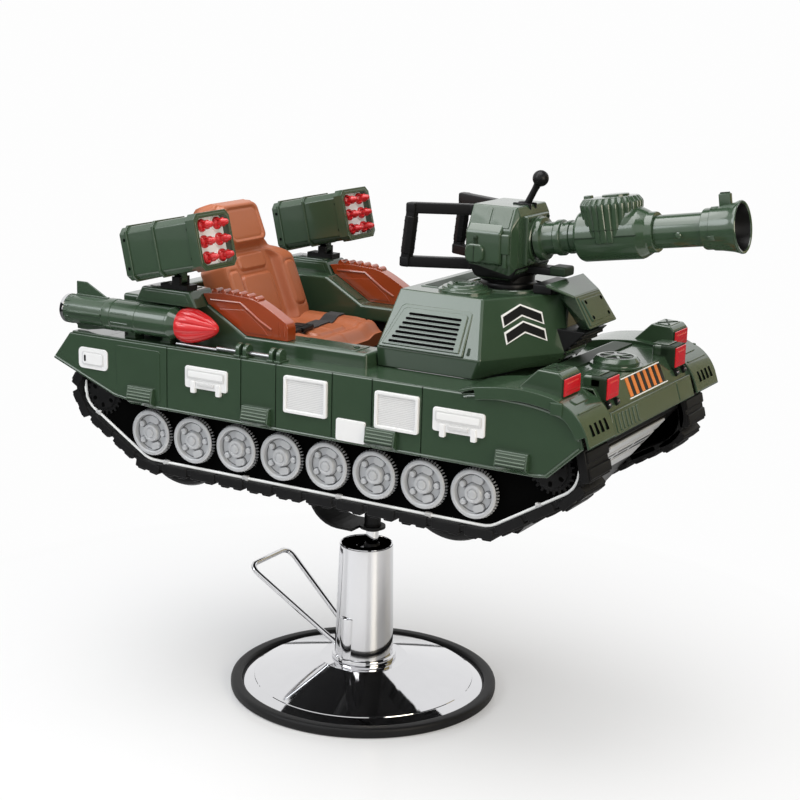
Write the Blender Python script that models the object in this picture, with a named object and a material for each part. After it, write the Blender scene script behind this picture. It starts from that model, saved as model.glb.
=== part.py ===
"""Kids tank barber chair: a moulded toy tank on a hydraulic salon base.

Metres, +Z up. +X is the tank's front, +Y its left side.
The origin is the centre of the base plate, on the floor.
"""
import math

import bmesh
import bpy
from mathutils import Matrix, Vector

# Shared clearances and counts
FIT = 0.0003
SMOOTH_ANGLE = math.radians(32)
ROUND_SIDES = 36
MEDIUM_SIDES = 24
SMALL_SIDES = 16
STUB_SIDES = 8
SIDES = {"right": -1.0, "left": 1.0}

# Hydraulic base
PLATE_RADIUS = 0.274
RING_WIDTH = 0.026
RING_RADIUS = PLATE_RADIUS + RING_WIDTH
RING_HEIGHT = 0.022
PLATE_THICK = 0.012
COVER_WALL = 0.002
COVER_RIM_WIDTH = 0.026
COVER_RIM_RADIUS = PLATE_RADIUS - COVER_RIM_WIDTH
COVER_RIM_TOP = 0.026
FLANGE_RADIUS = 0.101
FLANGE_TOP = 0.068
SHROUD_TOP = 0.337
SHROUD_TOP_RADIUS = 0.0596
SHROUD_FOOT_RADIUS = 0.0658
SHROUD_WALL = 0.002
COLLAR_RADIUS = 0.0725
COLLAR_HEIGHT = 0.010
PUMP_COVER_HEIGHT = 0.100
PUMP_COVER_PROUD = 0.005

# Pump and ram
RAM_X = 0.010
RAM_Y = 0.008
ROD_RADIUS = 0.0142
ROD_BOTTOM = 0.060
CYLINDER_RADIUS = 0.026
CYLINDER_TOP = 0.325
PUMP_FOOT_RADIUS = 0.0600
PUMP_FOOT_THICK = 0.012
SEAL_RADIUS = 0.0190
SEAL_HEIGHT = 0.011
SHAFT_X = -0.040
SHAFT_Z = 0.085
SHAFT_RADIUS = 0.007
PLUNGER_RADIUS = 0.004
PLUNGER_ARM = 0.0135
BARREL_RADIUS = 0.0072

# Foot pedal
PEDAL_ROD = 0.006
PEDAL_ROOT_HALF = 0.030
PEDAL_HALF = 0.078
PEDAL_REACH = 0.222
PEDAL_RISE = 0.166
PEDAL_CORNER = 0.030

# Socket and saddle under the hull
SOCKET_RADIUS = 0.020
SOCKET_BOTTOM = 0.366
SOCKET_TOP = 0.4553
SOCKET_ROOF = 0.015
SADDLE_HALF = 0.080
SADDLE_FRONT = 0.150
SADDLE_REAR = -0.130
SADDLE_THICK = 0.006
STRAP_HALF = 0.045
STRAP_BOTTOM = 0.371
STRAP_THICK = 0.006
STRAP_BEND = 0.080

# Hull
WALL = 0.004
BELLY_Z = 0.500
TUB_HALF = 0.205
DECK_Z = 0.800
DECK_THICK = 0.006
DECK_HALF = 0.325
DECK_REAR = -0.560
DECK_FRONT = 0.500
SILL_INSET = 0.060
SILL_WIDTH = 0.075
SILL_OUT = DECK_HALF - SILL_INSET
SILL_IN = SILL_OUT - SILL_WIDTH
SILL_REAR = -0.468
SILL_FRONT = 0.1485
SILL_HIGH = 0.885
SILL_LOW = 0.830
SILL_SLOPE_START = -0.240
SILL_SLOPE_END = -0.145
BRIDGE_FRONT = -0.425
PLATEAU_Z = 0.820
TURRET_WELL_FRONT = 0.400
PLATEAU_START = 0.474
GLACIS_TOP = 0.618
GLACIS_FRONT = 0.652
GLACIS_FOOT = 0.773
BUMPER_BOTTOM = 0.729
BUMPER_LEAN = 0.014
BUMPER_THICK = 0.007
FENDER_CLEARANCE = 0.010
FENDER_OVERHANG = 0.014
FENDER_IN = TUB_HALF + FENDER_CLEARANCE
FENDER_OUT = DECK_HALF + FENDER_OVERHANG
FENDER_THICK = 0.005
FENDER_LIP = 0.024
HATCH_X = 0.572
HATCH_RADIUS = 0.047
HATCH_RISE = 0.018
SEAT_SHELF_Z = 0.757
SEAT_SHELF_HALF = 0.090
SEAT_SHELF_REAR = -0.360
SEAT_SHELF_FRONT = -0.080

# Lamps
FENDER_LAMP_FRONT = 0.599
FENDER_LAMP_MID = (FENDER_IN + FENDER_OUT) / 2
FENDER_LAMP_HALF = 0.0385
FENDER_LAMP_TOP = 0.860
INNER_LAMP_FRONT = 0.638
INNER_LAMP_HALF = 0.0305
INNER_LAMP_GAP = 0.009
INNER_LAMP_MID = FENDER_IN - INNER_LAMP_GAP - INNER_LAMP_HALF
INNER_LAMP_TOP = 0.839
INNER_LAMP_BACK = 0.588
FENDER_LENS_Z = (0.8165, 0.8495)
INNER_LENS_Z = (0.7945, 0.836)
LENS_THICK = 0.004
LENS_BORDER = 0.003

# Skirts, tracks and wheels
SKIRT_THICK = 0.006
SKIRT_BOTTOM = 0.660
STEP_DEPTH = 0.016
STEP_STARTS = (-0.398, -0.102, 0.194, 0.479)
STEP_LENGTH = 0.068
STEP_HEIGHT = 0.042
STEP_NOSE = 0.012
STEP_TAPER = 0.6
TRACK_INSET = 0.025
TRACK_OUT = DECK_HALF - TRACK_INSET
WEB_INSET = 0.015
WEB_OUT = TRACK_OUT - WEB_INSET
WEB_THICK = 0.004
BELT_THICK = 0.012
LUG_HEIGHT = 0.010
LUG_COUNT = 48
LUG_SHARE = 0.76
LUG_SLOPE = 0.06
WHEEL_COUNT = 8
WHEEL_FIRST_X = -0.364
WHEEL_PITCH = 0.1117
WHEEL_Z = 0.597
WHEEL_RADIUS = 0.051
WHEEL_INSET = 0.016
WHEEL_OUT = DECK_HALF - WHEEL_INSET
STUB_RADIUS = 0.006
STUB_LENGTH = 0.016
SPROCKET_RADIUS = 0.041
SPROCKET_PROUD = 0.010
SPROCKET_DROP = 0.006
REAR_ARC = (-0.503, 0.668, 0.080)
REAR_FLOOR_ARC = (-0.365, 0.596, 0.090)
FRONT_FLOOR_ARC = (0.432, 0.596, 0.090)
FRONT_ARC = (0.574, 0.673, 0.083)
STRIP_RADIUS = 0.003
LOAD_WHEEL_X = (-0.292, 0.352)
LOAD_WHEEL_Z = 0.596
LOAD_WHEEL_RADIUS = 0.126
LOAD_WHEEL_WALL = 0.008
LOAD_WHEEL_INSET = 0.010
LOAD_WHEEL_WIDTH = 0.050

# Turret and gun
TURRET_REAR = 0.1503
TURRET_TOP = 0.952
TURRET_SKIRT_TOP = 0.840
TURRET_WALL = 0.005
TURRET_INSET = 0.094
TURRET_HALF = DECK_HALF - TURRET_INSET
MANTLET_HIGH = (0.500, 0.060, 0.957)
MANTLET_LOW = (0.540, 0.068, 0.897)
MANTLET_CHIN = (0.4935, 0.002, 0.877)
MANTLET_ROOT = (0.440, 0.013, 0.950)
VISOR_REAR = (0.450, 0.090, 0.980)
VISOR_THICK = 0.006
DOORWAY_FRAME = 0.081
DOORWAY_TOP = 0.915
CUPOLA_X = 0.284
CUPOLA_INSET = 0.119
CUPOLA_Y = CUPOLA_INSET - TURRET_HALF
CUPOLA_RADIUS = 0.054
CUPOLA_RISE = 0.015
GUN_X = 0.325
GUN_FOOT_RADIUS = 0.058
GUN_SPIGOT_RADIUS = 0.040
GUN_HEAD_BOTTOM = 0.975
GUN_HEAD_TOP = 1.122
GUN_HEAD_REAR = 0.272
GUN_HEAD_FRONT = 0.378
GUN_HEAD_HALF = 0.090
GUN_HEAD_BEVEL = 0.018
GUN_ROOF_DROP = 0.045
GUN_ROOF_INSET = 0.024
GUN_HOUSING_PROUD = 0.012
GUN_CAP_PROUD = 0.020
GUN_CAP_RADIUS = 0.020
GUN_FLANGE_HALF = 0.050
GUN_FLANGE_THICK = 0.010
BARREL_Z = 1.054
BARREL_TILT = math.radians(8.5)
HOUSING_START = 0.095
HOUSING_END = 0.245
HOUSING_RADIUS = 0.051
HOUSING_COLLAR = 0.013
DRUM_AT = 0.165
DRUM_RADIUS = 0.063
DRUM_FOOT_RADIUS = 0.051
DRUM_FOOT = -0.004
DRUM_TOP = 0.080
TUBE_RADIUS = 0.0345
BORE_RADIUS = 0.025
MUZZLE_START = 0.375
MUZZLE_END = 0.430
MUZZLE_RADIUS = 0.051
SPIGOT_RADIUS = 0.030
SPIGOT_START = 0.215
SIGHT_START = 0.386
SIGHT_END = 0.410
SIGHT_HALF = 0.007
SIGHT_TOP = 0.066
HANDLE_ROD = 0.011
HANDLE_GRIP = 0.0135
HANDLE_REAR = 0.152
HANDLE_ROOT_Y = 0.056
HANDLE_GRIP_Y = 0.112
HANDLE_TOP = 1.108
HANDLE_BOTTOM = 0.998
LEVER_X = 0.352
LEVER_Z = 1.108
LEVER_LENGTH = 0.076
LEVER_LEAN = math.radians(27)
LEVER_ROD = 0.0075
LEVER_BALL = 0.0165
LEVER_PIN = 0.004
LEVER_PIN_HALF = 0.0135
LEVER_SLOT_REAR = 0.0145
LEVER_SLOT_FRONT = 0.0225

# Missile pods
POD_INSET = 0.045
POD_Y = DECK_HALF - POD_INSET
POD_X = -0.310
POD_Z = 1.003
POD_LENGTH = 0.205
POD_HEIGHT = 0.112
POD_WIDTH = 0.116
POD_TILT = math.radians(13)
POD_WALL = 0.006
POD_CORNER = 0.012
POD_RACK_DEPTH = 0.014
POD_PIVOT_X = -0.300
POD_PIVOT_Z = 0.936
POD_LUG_HALF = 0.009
POD_LUG_RADIUS = 0.011
POD_PIN = 0.0045
PEDESTAL_INSET = 0.023
PEDESTAL_WIDTH = 0.0765
PEDESTAL_OUT = DECK_HALF - PEDESTAL_INSET
PEDESTAL_IN = PEDESTAL_OUT - PEDESTAL_WIDTH
PEDESTAL_TOP = 0.914
PEDESTAL_REAR = -0.405
PEDESTAL_FRONT = -0.243
PEDESTAL_SLOPE = 0.019
MISSILE_ROWS = 3
MISSILE_COLUMNS = 2
MISSILE_RADIUS = 0.0135
MISSILE_LENGTH = 0.036
MISSILE_SIDES = 10

# Side rockets
ROCKET_INSET = 0.022
ROCKET_Y = DECK_HALF - ROCKET_INSET
ROCKET_Z = 0.844
ROCKET_TAIL = -0.588
ROCKET_NOSE_START = -0.277
ROCKET_TIP = -0.187
ROCKET_RADIUS = 0.0335
ROCKET_NOSE_RADIUS = 0.0365
FIN_REACH = 0.062
FIN_LOW_REACH = 0.0425
FIN_SIDE_REACH = 0.036
FIN_FRONT = -0.478
FIN_REAR = -0.562
FIN_THICK = 0.004
ROCKET_BAND = -0.470
ROCKET_FEET = (-0.405, -0.312)

# Seat
SEAT_HALF = 0.145
SEAT_REAR = -0.300
SEAT_FRONT = -0.052
SEAT_TOP = 0.808
PAN_ACROSS = ((-1.0, -0.014), (-0.93, 0.004), (-0.72, 0.006), (-0.5, -0.004), (0.0, -0.004))
BACK_FOOT_X = -0.262
BACK_FOOT_Z = 0.790
BACK_LENGTH = 0.300
BACK_RECLINE = math.radians(22)
BACK_THICK = 0.055
BACK_HALF = 0.140
HEADREST_HALF = 0.078
HEADREST_START = 0.66
BOLSTER_RISE = 0.026
BELT_X = -0.165
BELT_WIDTH = 0.036
BELT_WEB_THICK = 0.003
ARMREST_INSET = 0.003
ARMREST_WIDTH = 0.030
ARMREST_OUT = SILL_OUT - ARMREST_INSET
ARMREST_IN = ARMREST_OUT - ARMREST_WIDTH
ARMREST_FRONT = -0.038
ARMREST_TOP = 0.920
ARMREST_FRONT_TOP = 0.874

# Colours: red, green, blue, roughness and metallic value
FINISHES = {
    "chrome": (0.80, 0.80, 0.82, 0.06, 1.0),
    "steel": (0.30, 0.30, 0.31, 0.40, 1.0),
    "black_steel": (0.012, 0.012, 0.013, 0.45, 0.0),
    "rubber": (0.012, 0.012, 0.012, 0.70, 0.0),
    "black_plastic": (0.013, 0.013, 0.014, 0.40, 0.0),
    "army_green": (0.045, 0.080, 0.042, 0.28, 0.0),
    "wheel_grey": (0.50, 0.51, 0.53, 0.35, 0.0),
    "light_tube": (0.90, 0.90, 0.88, 0.30, 0.0),
    "red_lens": (0.70, 0.02, 0.03, 0.15, 0.0),
    "missile_red": (0.72, 0.02, 0.03, 0.30, 0.0),
    "seat_tan": (0.45, 0.19, 0.10, 0.45, 0.0),
    "armrest_brown": (0.34, 0.075, 0.025, 0.22, 0.0),
}


def clear_scene():
    """Remove every object, so that the script starts from an empty scene."""
    for item in list(bpy.data.objects):
        bpy.data.objects.remove(item, do_unlink=True)


def finish_material(finish):
    """Return the material of one finish, made on first use."""
    material = bpy.data.materials.get(finish)
    if material:
        return material
    red, green, blue, roughness, metallic = FINISHES[finish]
    material = bpy.data.materials.new(finish)
    material.use_nodes = True
    shader = material.node_tree.nodes["Principled BSDF"]
    shader.inputs["Base Color"].default_value = (red, green, blue, 1.0)
    shader.inputs["Roughness"].default_value = roughness
    shader.inputs["Metallic"].default_value = metallic
    return material


def shape(bm):
    """Turn a bmesh into a scene object with clean outward faces."""
    bmesh.ops.remove_doubles(bm, verts=bm.verts, dist=1e-7)
    bmesh.ops.recalc_face_normals(bm, faces=bm.faces)
    mesh = bpy.data.meshes.new("shape")
    bm.to_mesh(mesh)
    bm.free()
    item = bpy.data.objects.new("shape", mesh)
    bpy.context.scene.collection.objects.link(item)
    return item


def prism(outline, low, high, axis="y"):
    """Extrude a flat outline along an axis. Points are (x, z), (x, y) for z, or (y, z) for x."""
    low, high = sorted((low, high))
    bm = bmesh.new()
    place = {
        "y": lambda u, v: (u, low, v),
        "z": lambda u, v: (u, v, low),
        "x": lambda u, v: (low, u, v),
    }[axis]
    face = bm.faces.new([bm.verts.new(place(u, v)) for u, v in outline])
    pulled = bmesh.ops.extrude_face_region(bm, geom=[face])
    moved = [item for item in pulled["geom"] if isinstance(item, bmesh.types.BMVert)]
    shift = {"x": (high - low, 0, 0), "y": (0, high - low, 0), "z": (0, 0, high - low)}[axis]
    bmesh.ops.translate(bm, verts=moved, vec=shift)
    return shape(bm)


def box(low, high):
    """A box between two corners."""
    (x0, y0, z0), (x1, y1, z1) = low, high
    return prism([(x0, z0), (x1, z0), (x1, z1), (x0, z1)], y0, y1)


def turned(profile, sides=ROUND_SIDES, matrix=Matrix()):
    """Spin a closed profile of (radius, height) points about Z, then place it by a matrix."""
    bm = bmesh.new()
    points = [bm.verts.new((radius, 0.0, height)) for radius, height in profile]
    loop = [bm.edges.new((points[i], points[(i + 1) % len(points)])) for i in range(len(points))]
    on_axis = [edge for edge in loop if all(abs(v.co.x) < 1e-9 for v in edge.verts)]
    bmesh.ops.delete(bm, geom=on_axis, context="EDGES")
    bmesh.ops.spin(
        bm, geom=bm.verts[:] + bm.edges[:], cent=(0, 0, 0), axis=(0, 0, 1), dvec=(0, 0, 0),
        angle=math.tau, steps=sides, use_merge=True, use_normal_flip=False, use_duplicate=False)
    bmesh.ops.remove_doubles(bm, verts=bm.verts, dist=1e-6)
    bmesh.ops.transform(bm, matrix=matrix, verts=bm.verts)
    return shape(bm)


def disc(radius, low, high, centre=(0.0, 0.0), sides=ROUND_SIDES):
    """A round bar along Z."""
    profile = [(0, low), (radius, low), (radius, high), (0, high)]
    return turned(profile, sides, Matrix.Translation((centre[0], centre[1], 0)))


def cross_pin(radius, x, z, y0, y1, sides=SMALL_SIDES):
    """A round bar along Y between two places."""
    low, high = sorted((y0, y1))
    turn = Matrix.Translation((x, low, z)) @ Matrix.Rotation(-math.pi / 2, 4, "X")
    return turned([(0, 0), (radius, 0), (radius, high - low), (0, high - low)], sides, turn)


def hull(points):
    """The convex solid round a few corner points."""
    bm = bmesh.new()
    for point in points:
        bm.verts.new(point)
    result = bmesh.ops.convex_hull(bm, input=bm.verts[:])
    spare = {item for item in result["geom_interior"] + result["geom_unused"] if item.is_valid}
    bmesh.ops.delete(bm, geom=[v for v in spare if isinstance(v, bmesh.types.BMVert)], context="VERTS")
    bmesh.ops.dissolve_limit(bm, angle_limit=0.001, verts=bm.verts[:], edges=bm.edges[:])
    return shape(bm)


def loft(rings):
    """A closed solid through rings of equally many points, with flat ends."""
    bm = bmesh.new()
    rows = [[bm.verts.new(point) for point in ring] for ring in rings]
    count = len(rows[0])
    for row, after in zip(rows, rows[1:]):
        for i in range(count):
            bm.faces.new((row[i], row[(i + 1) % count], after[(i + 1) % count], after[i]))
    bm.faces.new(rows[0][::-1])
    bm.faces.new(rows[-1])
    return shape(bm)


def bar(points, radius, resolution=2):
    """A round bar along a path, as a bevelled curve turned into a mesh."""
    curve = bpy.data.curves.new("path", "CURVE")
    curve.dimensions = "3D"
    curve.bevel_depth = radius
    curve.bevel_resolution = resolution
    curve.use_fill_caps = True
    spline = curve.splines.new("POLY")
    spline.points.add(len(points) - 1)
    for place, point in zip(spline.points, points):
        place.co = (*point, 1.0)
    path = bpy.data.objects.new("path", curve)
    bpy.context.scene.collection.objects.link(path)
    mesh = bpy.data.meshes.new_from_object(path.evaluated_get(bpy.context.evaluated_depsgraph_get()))
    bpy.data.objects.remove(path, do_unlink=True)
    bm = bmesh.new()
    bm.from_mesh(mesh)
    return shape(bm)


def combine(target, tools, operation):
    """Apply one Boolean with each tool in turn and remove the tools."""
    for tool in tools:
        step = target.modifiers.new("combine", "BOOLEAN")
        step.operation = operation
        step.solver = "EXACT"
        step.object = tool
        bpy.context.view_layer.update()
        depsgraph = bpy.context.evaluated_depsgraph_get()
        made = bpy.data.meshes.new_from_object(target.evaluated_get(depsgraph))
        target.modifiers.clear()
        target.data = made
        bpy.data.objects.remove(tool, do_unlink=True)
    return target


def join(target, *tools):
    """Fuse other shapes into the target."""
    return combine(target, tools, "UNION")


def cut(target, *tools):
    """Cut other shapes out of the target."""
    return combine(target, tools, "DIFFERENCE")


def node(name, item, finish, origin=(0.0, 0.0, 0.0)):
    """Name a finished piece, give it its material and put its origin on its axis."""
    item.name = name
    mesh = item.data
    mesh.name = name
    mesh.transform(Matrix.Translation(-Vector(origin)))
    item.location = origin
    mesh.materials.clear()
    mesh.materials.append(finish_material(finish))
    mesh.shade_smooth()
    mesh.set_sharp_from_angle(angle=SMOOTH_ANGLE)
    return item


def arc(centre, radius, start, end, steps):
    """Points on an arc, with angles in degrees."""
    angles = [math.radians(start + (end - start) * i / steps) for i in range(steps + 1)]
    return [(centre[0] + radius * math.cos(a), centre[1] + radius * math.sin(a)) for a in angles]


def offset_line(points, distance):
    """Shift an open line sideways, to the right of its direction, with mitred corners."""
    shifted = []
    for i, point in enumerate(points):
        here = Vector(point)
        before = (here - Vector(points[i - 1])).normalized() if i else None
        after = (Vector(points[i + 1]) - here).normalized() if i + 1 < len(points) else None
        before = before or after
        after = after or before
        middle = (before + after).normalized()
        reach = distance / max(middle.dot(after), 0.2)
        shifted.append((here.x + middle.y * reach, here.y - middle.x * reach))
    return shifted


def ribbon(points, thick):
    """The closed outline of a strip that follows a line, with its thickness to the right."""
    return list(points) + offset_line(points, thick)[::-1]


def inset(outline, distance):
    """Shrink a convex counter-clockwise outline by a distance."""
    count = len(outline)
    result = []
    for i in range(count):
        here = Vector(outline[i])
        before = (here - Vector(outline[i - 1])).normalized()
        after = (Vector(outline[(i + 1) % count]) - here).normalized()
        middle = (before + after).normalized()
        reach = distance / middle.dot(after)
        result.append((here.x - middle.y * reach, here.y + middle.x * reach))
    return result


# Base


def make_base():
    """The floor plate, its rubber edge, the chromed cover and the column."""
    node("base_plate", disc(PLATE_RADIUS, 0, PLATE_THICK), "black_steel")

    inner = PLATE_RADIUS + FIT
    round_edge = 0.006
    ring = [(inner, 0), (RING_RADIUS - round_edge / 2, 0), (RING_RADIUS, round_edge / 2)]
    ring += arc((RING_RADIUS - round_edge, RING_HEIGHT - round_edge), round_edge, 0, 90, 4)
    ring += [(inner, RING_HEIGHT)]
    node("trim_ring", turned(ring), "rubber")

    foot = PLATE_THICK + FIT
    lip = 0.004
    hole = SHROUD_FOOT_RADIUS - SHROUD_WALL
    outside = [(hole, FLANGE_TOP), (FLANGE_RADIUS, FLANGE_TOP - COVER_WALL),
               (COVER_RIM_RADIUS, COVER_RIM_TOP), (PLATE_RADIUS, foot + lip), (PLATE_RADIUS, foot)]
    edge = PLATE_RADIUS - COVER_WALL
    inside = [(edge, foot), (edge, foot + lip - COVER_WALL / 2),
              (COVER_RIM_RADIUS, COVER_RIM_TOP - COVER_WALL),
              (FLANGE_RADIUS, FLANGE_TOP - 2 * COVER_WALL), (hole, FLANGE_TOP - COVER_WALL)]
    node("base_cover", turned(outside + inside), "chrome")
    make_shroud()


def make_shroud():
    """The tapered column tube with its collar, recessed roof, pump cover and pedal slots."""
    bottom = FLANGE_TOP + FIT
    recess = 0.007
    roof_hole = CYLINDER_RADIUS + math.hypot(RAM_X, RAM_Y) + 0.002
    inner_top = SHROUD_TOP_RADIUS - SHROUD_WALL
    inner_foot = SHROUD_FOOT_RADIUS - SHROUD_WALL
    roof = SHROUD_TOP - recess
    profile = [(COLLAR_RADIUS, bottom), (COLLAR_RADIUS, bottom + COLLAR_HEIGHT - SHROUD_WALL),
               (COLLAR_RADIUS - SHROUD_WALL, bottom + COLLAR_HEIGHT),
               (SHROUD_FOOT_RADIUS, bottom + COLLAR_HEIGHT), (SHROUD_TOP_RADIUS, SHROUD_TOP),
               (inner_top, SHROUD_TOP), (inner_top, roof), (roof_hole, roof),
               (roof_hole, roof - SHROUD_WALL), (inner_top, roof - SHROUD_WALL), (inner_foot, bottom)]
    shroud = turned(profile)
    cover_foot = bottom + COLLAR_HEIGHT / 2
    cover_outline = arc((0, 0), SHROUD_FOOT_RADIUS + PUMP_COVER_PROUD, -118, -70, 8)
    cover_outline += arc((0, 0), inner_foot - SHROUD_WALL, -70, -118, 8)
    cover = prism(cover_outline, cover_foot, cover_foot + PUMP_COVER_HEIGHT, "z")
    slots = [slot_cutter(side) for side in SIDES.values()]
    node("column_shroud", cut(join(shroud, cover), *slots), "chrome")


def slot_cutter(side):
    """The slot through which one leg of the pedal leaves the column."""
    half = PEDAL_ROD + 0.003
    middle = side * (PEDAL_ROOT_HALF + 0.004)
    low = SHAFT_Z - 0.010
    return box((SHAFT_X - 0.045, middle - half, low), (SHAFT_X, middle + half, low + 0.044))


def make_pump():
    """The hydraulic cylinder with its foot, ears and small barrel, the seal and the rod."""
    low = PLATE_THICK + FIT
    high = low + PUMP_FOOT_THICK
    bore = ROD_RADIUS + 2 * FIT
    bore_floor = ROD_BOTTOM - 0.010
    at_ram = Matrix.Translation((RAM_X, RAM_Y, 0))
    profile = [(0, high - FIT), (CYLINDER_RADIUS, high - FIT), (CYLINDER_RADIUS, CYLINDER_TOP),
               (bore, CYLINDER_TOP), (bore, bore_floor), (0, bore_floor)]
    cylinder = turned(profile, MEDIUM_SIDES, at_ram)
    body = join(disc(PUMP_FOOT_RADIUS, low, high, sides=MEDIUM_SIDES), cylinder)
    plunger_x = SHAFT_X - PLUNGER_ARM
    barrel_top = SHAFT_Z - 0.025
    well = PLUNGER_RADIUS + FIT
    profile = [(0, low + FIT), (BARREL_RADIUS, low + FIT), (BARREL_RADIUS, barrel_top),
               (well, barrel_top), (well, high), (0, high)]
    body = join(body, turned(profile, SMALL_SIDES, Matrix.Translation((plunger_x, 0, 0))))
    ear_thick = 0.008
    ear_in = 0.014
    ear_reach = 0.012
    for side in SIDES.values():
        near, far = sorted((side * ear_in, side * (ear_in + ear_thick)))
        ear = box((SHAFT_X - ear_reach, near, low + FIT),
                  (SHAFT_X + ear_reach, far, SHAFT_Z + ear_reach))
        body = join(body, ear)
    through = SHROUD_TOP_RADIUS
    body = cut(body, cross_pin(SHAFT_RADIUS + FIT, SHAFT_X, SHAFT_Z, -through, through))
    node("pump_body", body, "steel")

    seal_low = CYLINDER_TOP + FIT
    seal_top = seal_low + SEAL_HEIGHT
    lip = 0.002
    seal = [(ROD_RADIUS + FIT, seal_low), (SEAL_RADIUS, seal_low),
            (SEAL_RADIUS, seal_low + SEAL_HEIGHT * 0.7), (ROD_RADIUS + lip, seal_top),
            (ROD_RADIUS + FIT, seal_top)]
    node("rod_seal", turned(seal, ROUND_SIDES, at_ram), "rubber")

    rod = disc(ROD_RADIUS, ROD_BOTTOM, SOCKET_TOP - SOCKET_ROOF, (RAM_X, RAM_Y), MEDIUM_SIDES)
    node("piston_rod", rod, "chrome", (RAM_X, RAM_Y, ROD_BOTTOM))

    arm_half = 0.004
    plunger_top = SHAFT_Z - arm_half - FIT
    plunger = disc(PLUNGER_RADIUS, high + 0.012, plunger_top, (plunger_x, 0), SMALL_SIDES)
    node("pump_plunger", plunger, "steel", (plunger_x, 0, plunger_top))


def make_pedal():
    """The bent pedal rod, its cross shaft and the arm that works the plunger."""
    reach_x = SHAFT_X - PEDAL_REACH
    top = SHAFT_Z + PEDAL_RISE
    along = Vector((-PEDAL_REACH, 0, PEDAL_RISE)).normalized()
    corner = []
    for i in range(6):
        angle = math.radians(90 * i / 5)
        back = PEDAL_CORNER * (1 - math.sin(angle))
        inwards = PEDAL_CORNER * (1 - math.cos(angle))
        place = Vector((reach_x, -(PEDAL_HALF - inwards), top)) - along * back
        corner.append(tuple(place))
    path = [(SHAFT_X, -PEDAL_ROOT_HALF, SHAFT_Z)] + corner
    path += [(x, -y, z) for x, y, z in path[::-1]]
    pedal = bar(path, PEDAL_ROD)
    shaft_half = PEDAL_ROOT_HALF + PEDAL_ROD
    arm_half = 0.004
    pedal = join(pedal, cross_pin(SHAFT_RADIUS, SHAFT_X, SHAFT_Z, -shaft_half, shaft_half))
    arm = box((SHAFT_X - PLUNGER_ARM, -arm_half, SHAFT_Z - arm_half),
              (SHAFT_X, arm_half, SHAFT_Z + arm_half))
    node("foot_pedal", join(pedal, arm), "chrome", (SHAFT_X, 0, SHAFT_Z))


def make_carrier():
    """The socket on the ram and the saddle with its bent strap under the hull."""
    origin = (RAM_X, RAM_Y, SOCKET_BOTTOM)
    bore = ROD_RADIUS + FIT
    roof = SOCKET_TOP - SOCKET_ROOF + FIT
    at_ram = Matrix.Translation((RAM_X, RAM_Y, 0))
    profile = [(bore, SOCKET_BOTTOM), (SOCKET_RADIUS, SOCKET_BOTTOM), (SOCKET_RADIUS, SOCKET_TOP),
               (0, SOCKET_TOP), (0, roof), (bore, roof)]
    node("swivel_socket", turned(profile, MEDIUM_SIDES, at_ram), "black_plastic", origin)

    plate_low = SOCKET_TOP + FIT
    plate_high = plate_low + SADDLE_THICK
    rail_top = BELLY_Z - FIT
    rail_thick = 0.015
    saddle = box((SADDLE_REAR, -SADDLE_HALF, plate_low), (SADDLE_FRONT, SADDLE_HALF, plate_high))
    for side in SIDES.values():
        near, far = sorted((side * (SADDLE_HALF - rail_thick), side * SADDLE_HALF))
        saddle = join(saddle, box((SADDLE_REAR, near, plate_high - FIT), (SADDLE_FRONT, far, rail_top)))
    bend_x = SADDLE_REAR + STRAP_BEND
    clamp_in = SOCKET_RADIUS + FIT
    clamp_out = SOCKET_RADIUS + 0.009
    strap_top = STRAP_BOTTOM + STRAP_THICK
    line = [(RAM_X - SOCKET_RADIUS - 0.002, STRAP_BOTTOM)]
    line += arc((bend_x, STRAP_BOTTOM + STRAP_BEND), STRAP_BEND, -90, -180, 8)
    line += [(SADDLE_REAR, plate_high - FIT)]
    strap = prism(ribbon(line, STRAP_THICK), -STRAP_HALF, STRAP_HALF)
    ring = [(clamp_in, STRAP_BOTTOM), (clamp_out, STRAP_BOTTOM), (clamp_out, strap_top),
            (clamp_in, strap_top)]
    clamp = turned(ring, MEDIUM_SIDES, at_ram)
    hole = disc(clamp_in, STRAP_BOTTOM - STRAP_THICK, strap_top + STRAP_THICK, (RAM_X, RAM_Y), MEDIUM_SIDES)
    strap = cut(join(strap, clamp), hole)
    node("hull_saddle", join(saddle, strap), "black_steel", (RAM_X, RAM_Y, plate_low))


# Hull


def tub_outline():
    """Side view of the black tub, counter-clockwise from its rear lower corner."""
    rim = DECK_Z - DECK_THICK - FIT
    return [(-0.430, BELLY_Z), (0.470, BELLY_Z), (0.632, 0.700), (0.632, 0.740), (0.600, rim),
            (-0.550, rim), (-0.550, 0.690)]


def make_lower_hull():
    """The open black tub."""
    outline = tub_outline()
    rim = DECK_Z - DECK_THICK - FIT
    hollow = inset(outline, WALL)
    hollow = [(x, z if z < rim - 2 * WALL else rim + 0.05) for x, z in hollow]
    tub = prism(outline, -TUB_HALF, TUB_HALF)
    tub = cut(tub, prism(hollow, -TUB_HALF + WALL, TUB_HALF - WALL))
    node("lower_hull", tub, "black_plastic", (RAM_X, RAM_Y, BELLY_Z))


def make_seat_riser():
    """The channel that stands on the tub's floor and carries the seat."""
    floor = BELLY_Z + WALL + FIT
    riser = box((SEAT_SHELF_REAR, -SEAT_SHELF_HALF, SEAT_SHELF_Z - WALL),
                (SEAT_SHELF_FRONT, SEAT_SHELF_HALF, SEAT_SHELF_Z))
    for side in SIDES.values():
        near, far = sorted((side * (SEAT_SHELF_HALF - WALL), side * SEAT_SHELF_HALF))
        rib = box((SEAT_SHELF_REAR, near, floor), (SEAT_SHELF_FRONT, far, SEAT_SHELF_Z - WALL / 2))
        riser = join(riser, rib)
    node("seat_riser", riser, "black_plastic", ((SEAT_SHELF_REAR + SEAT_SHELF_FRONT) / 2, 0, floor))


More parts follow.
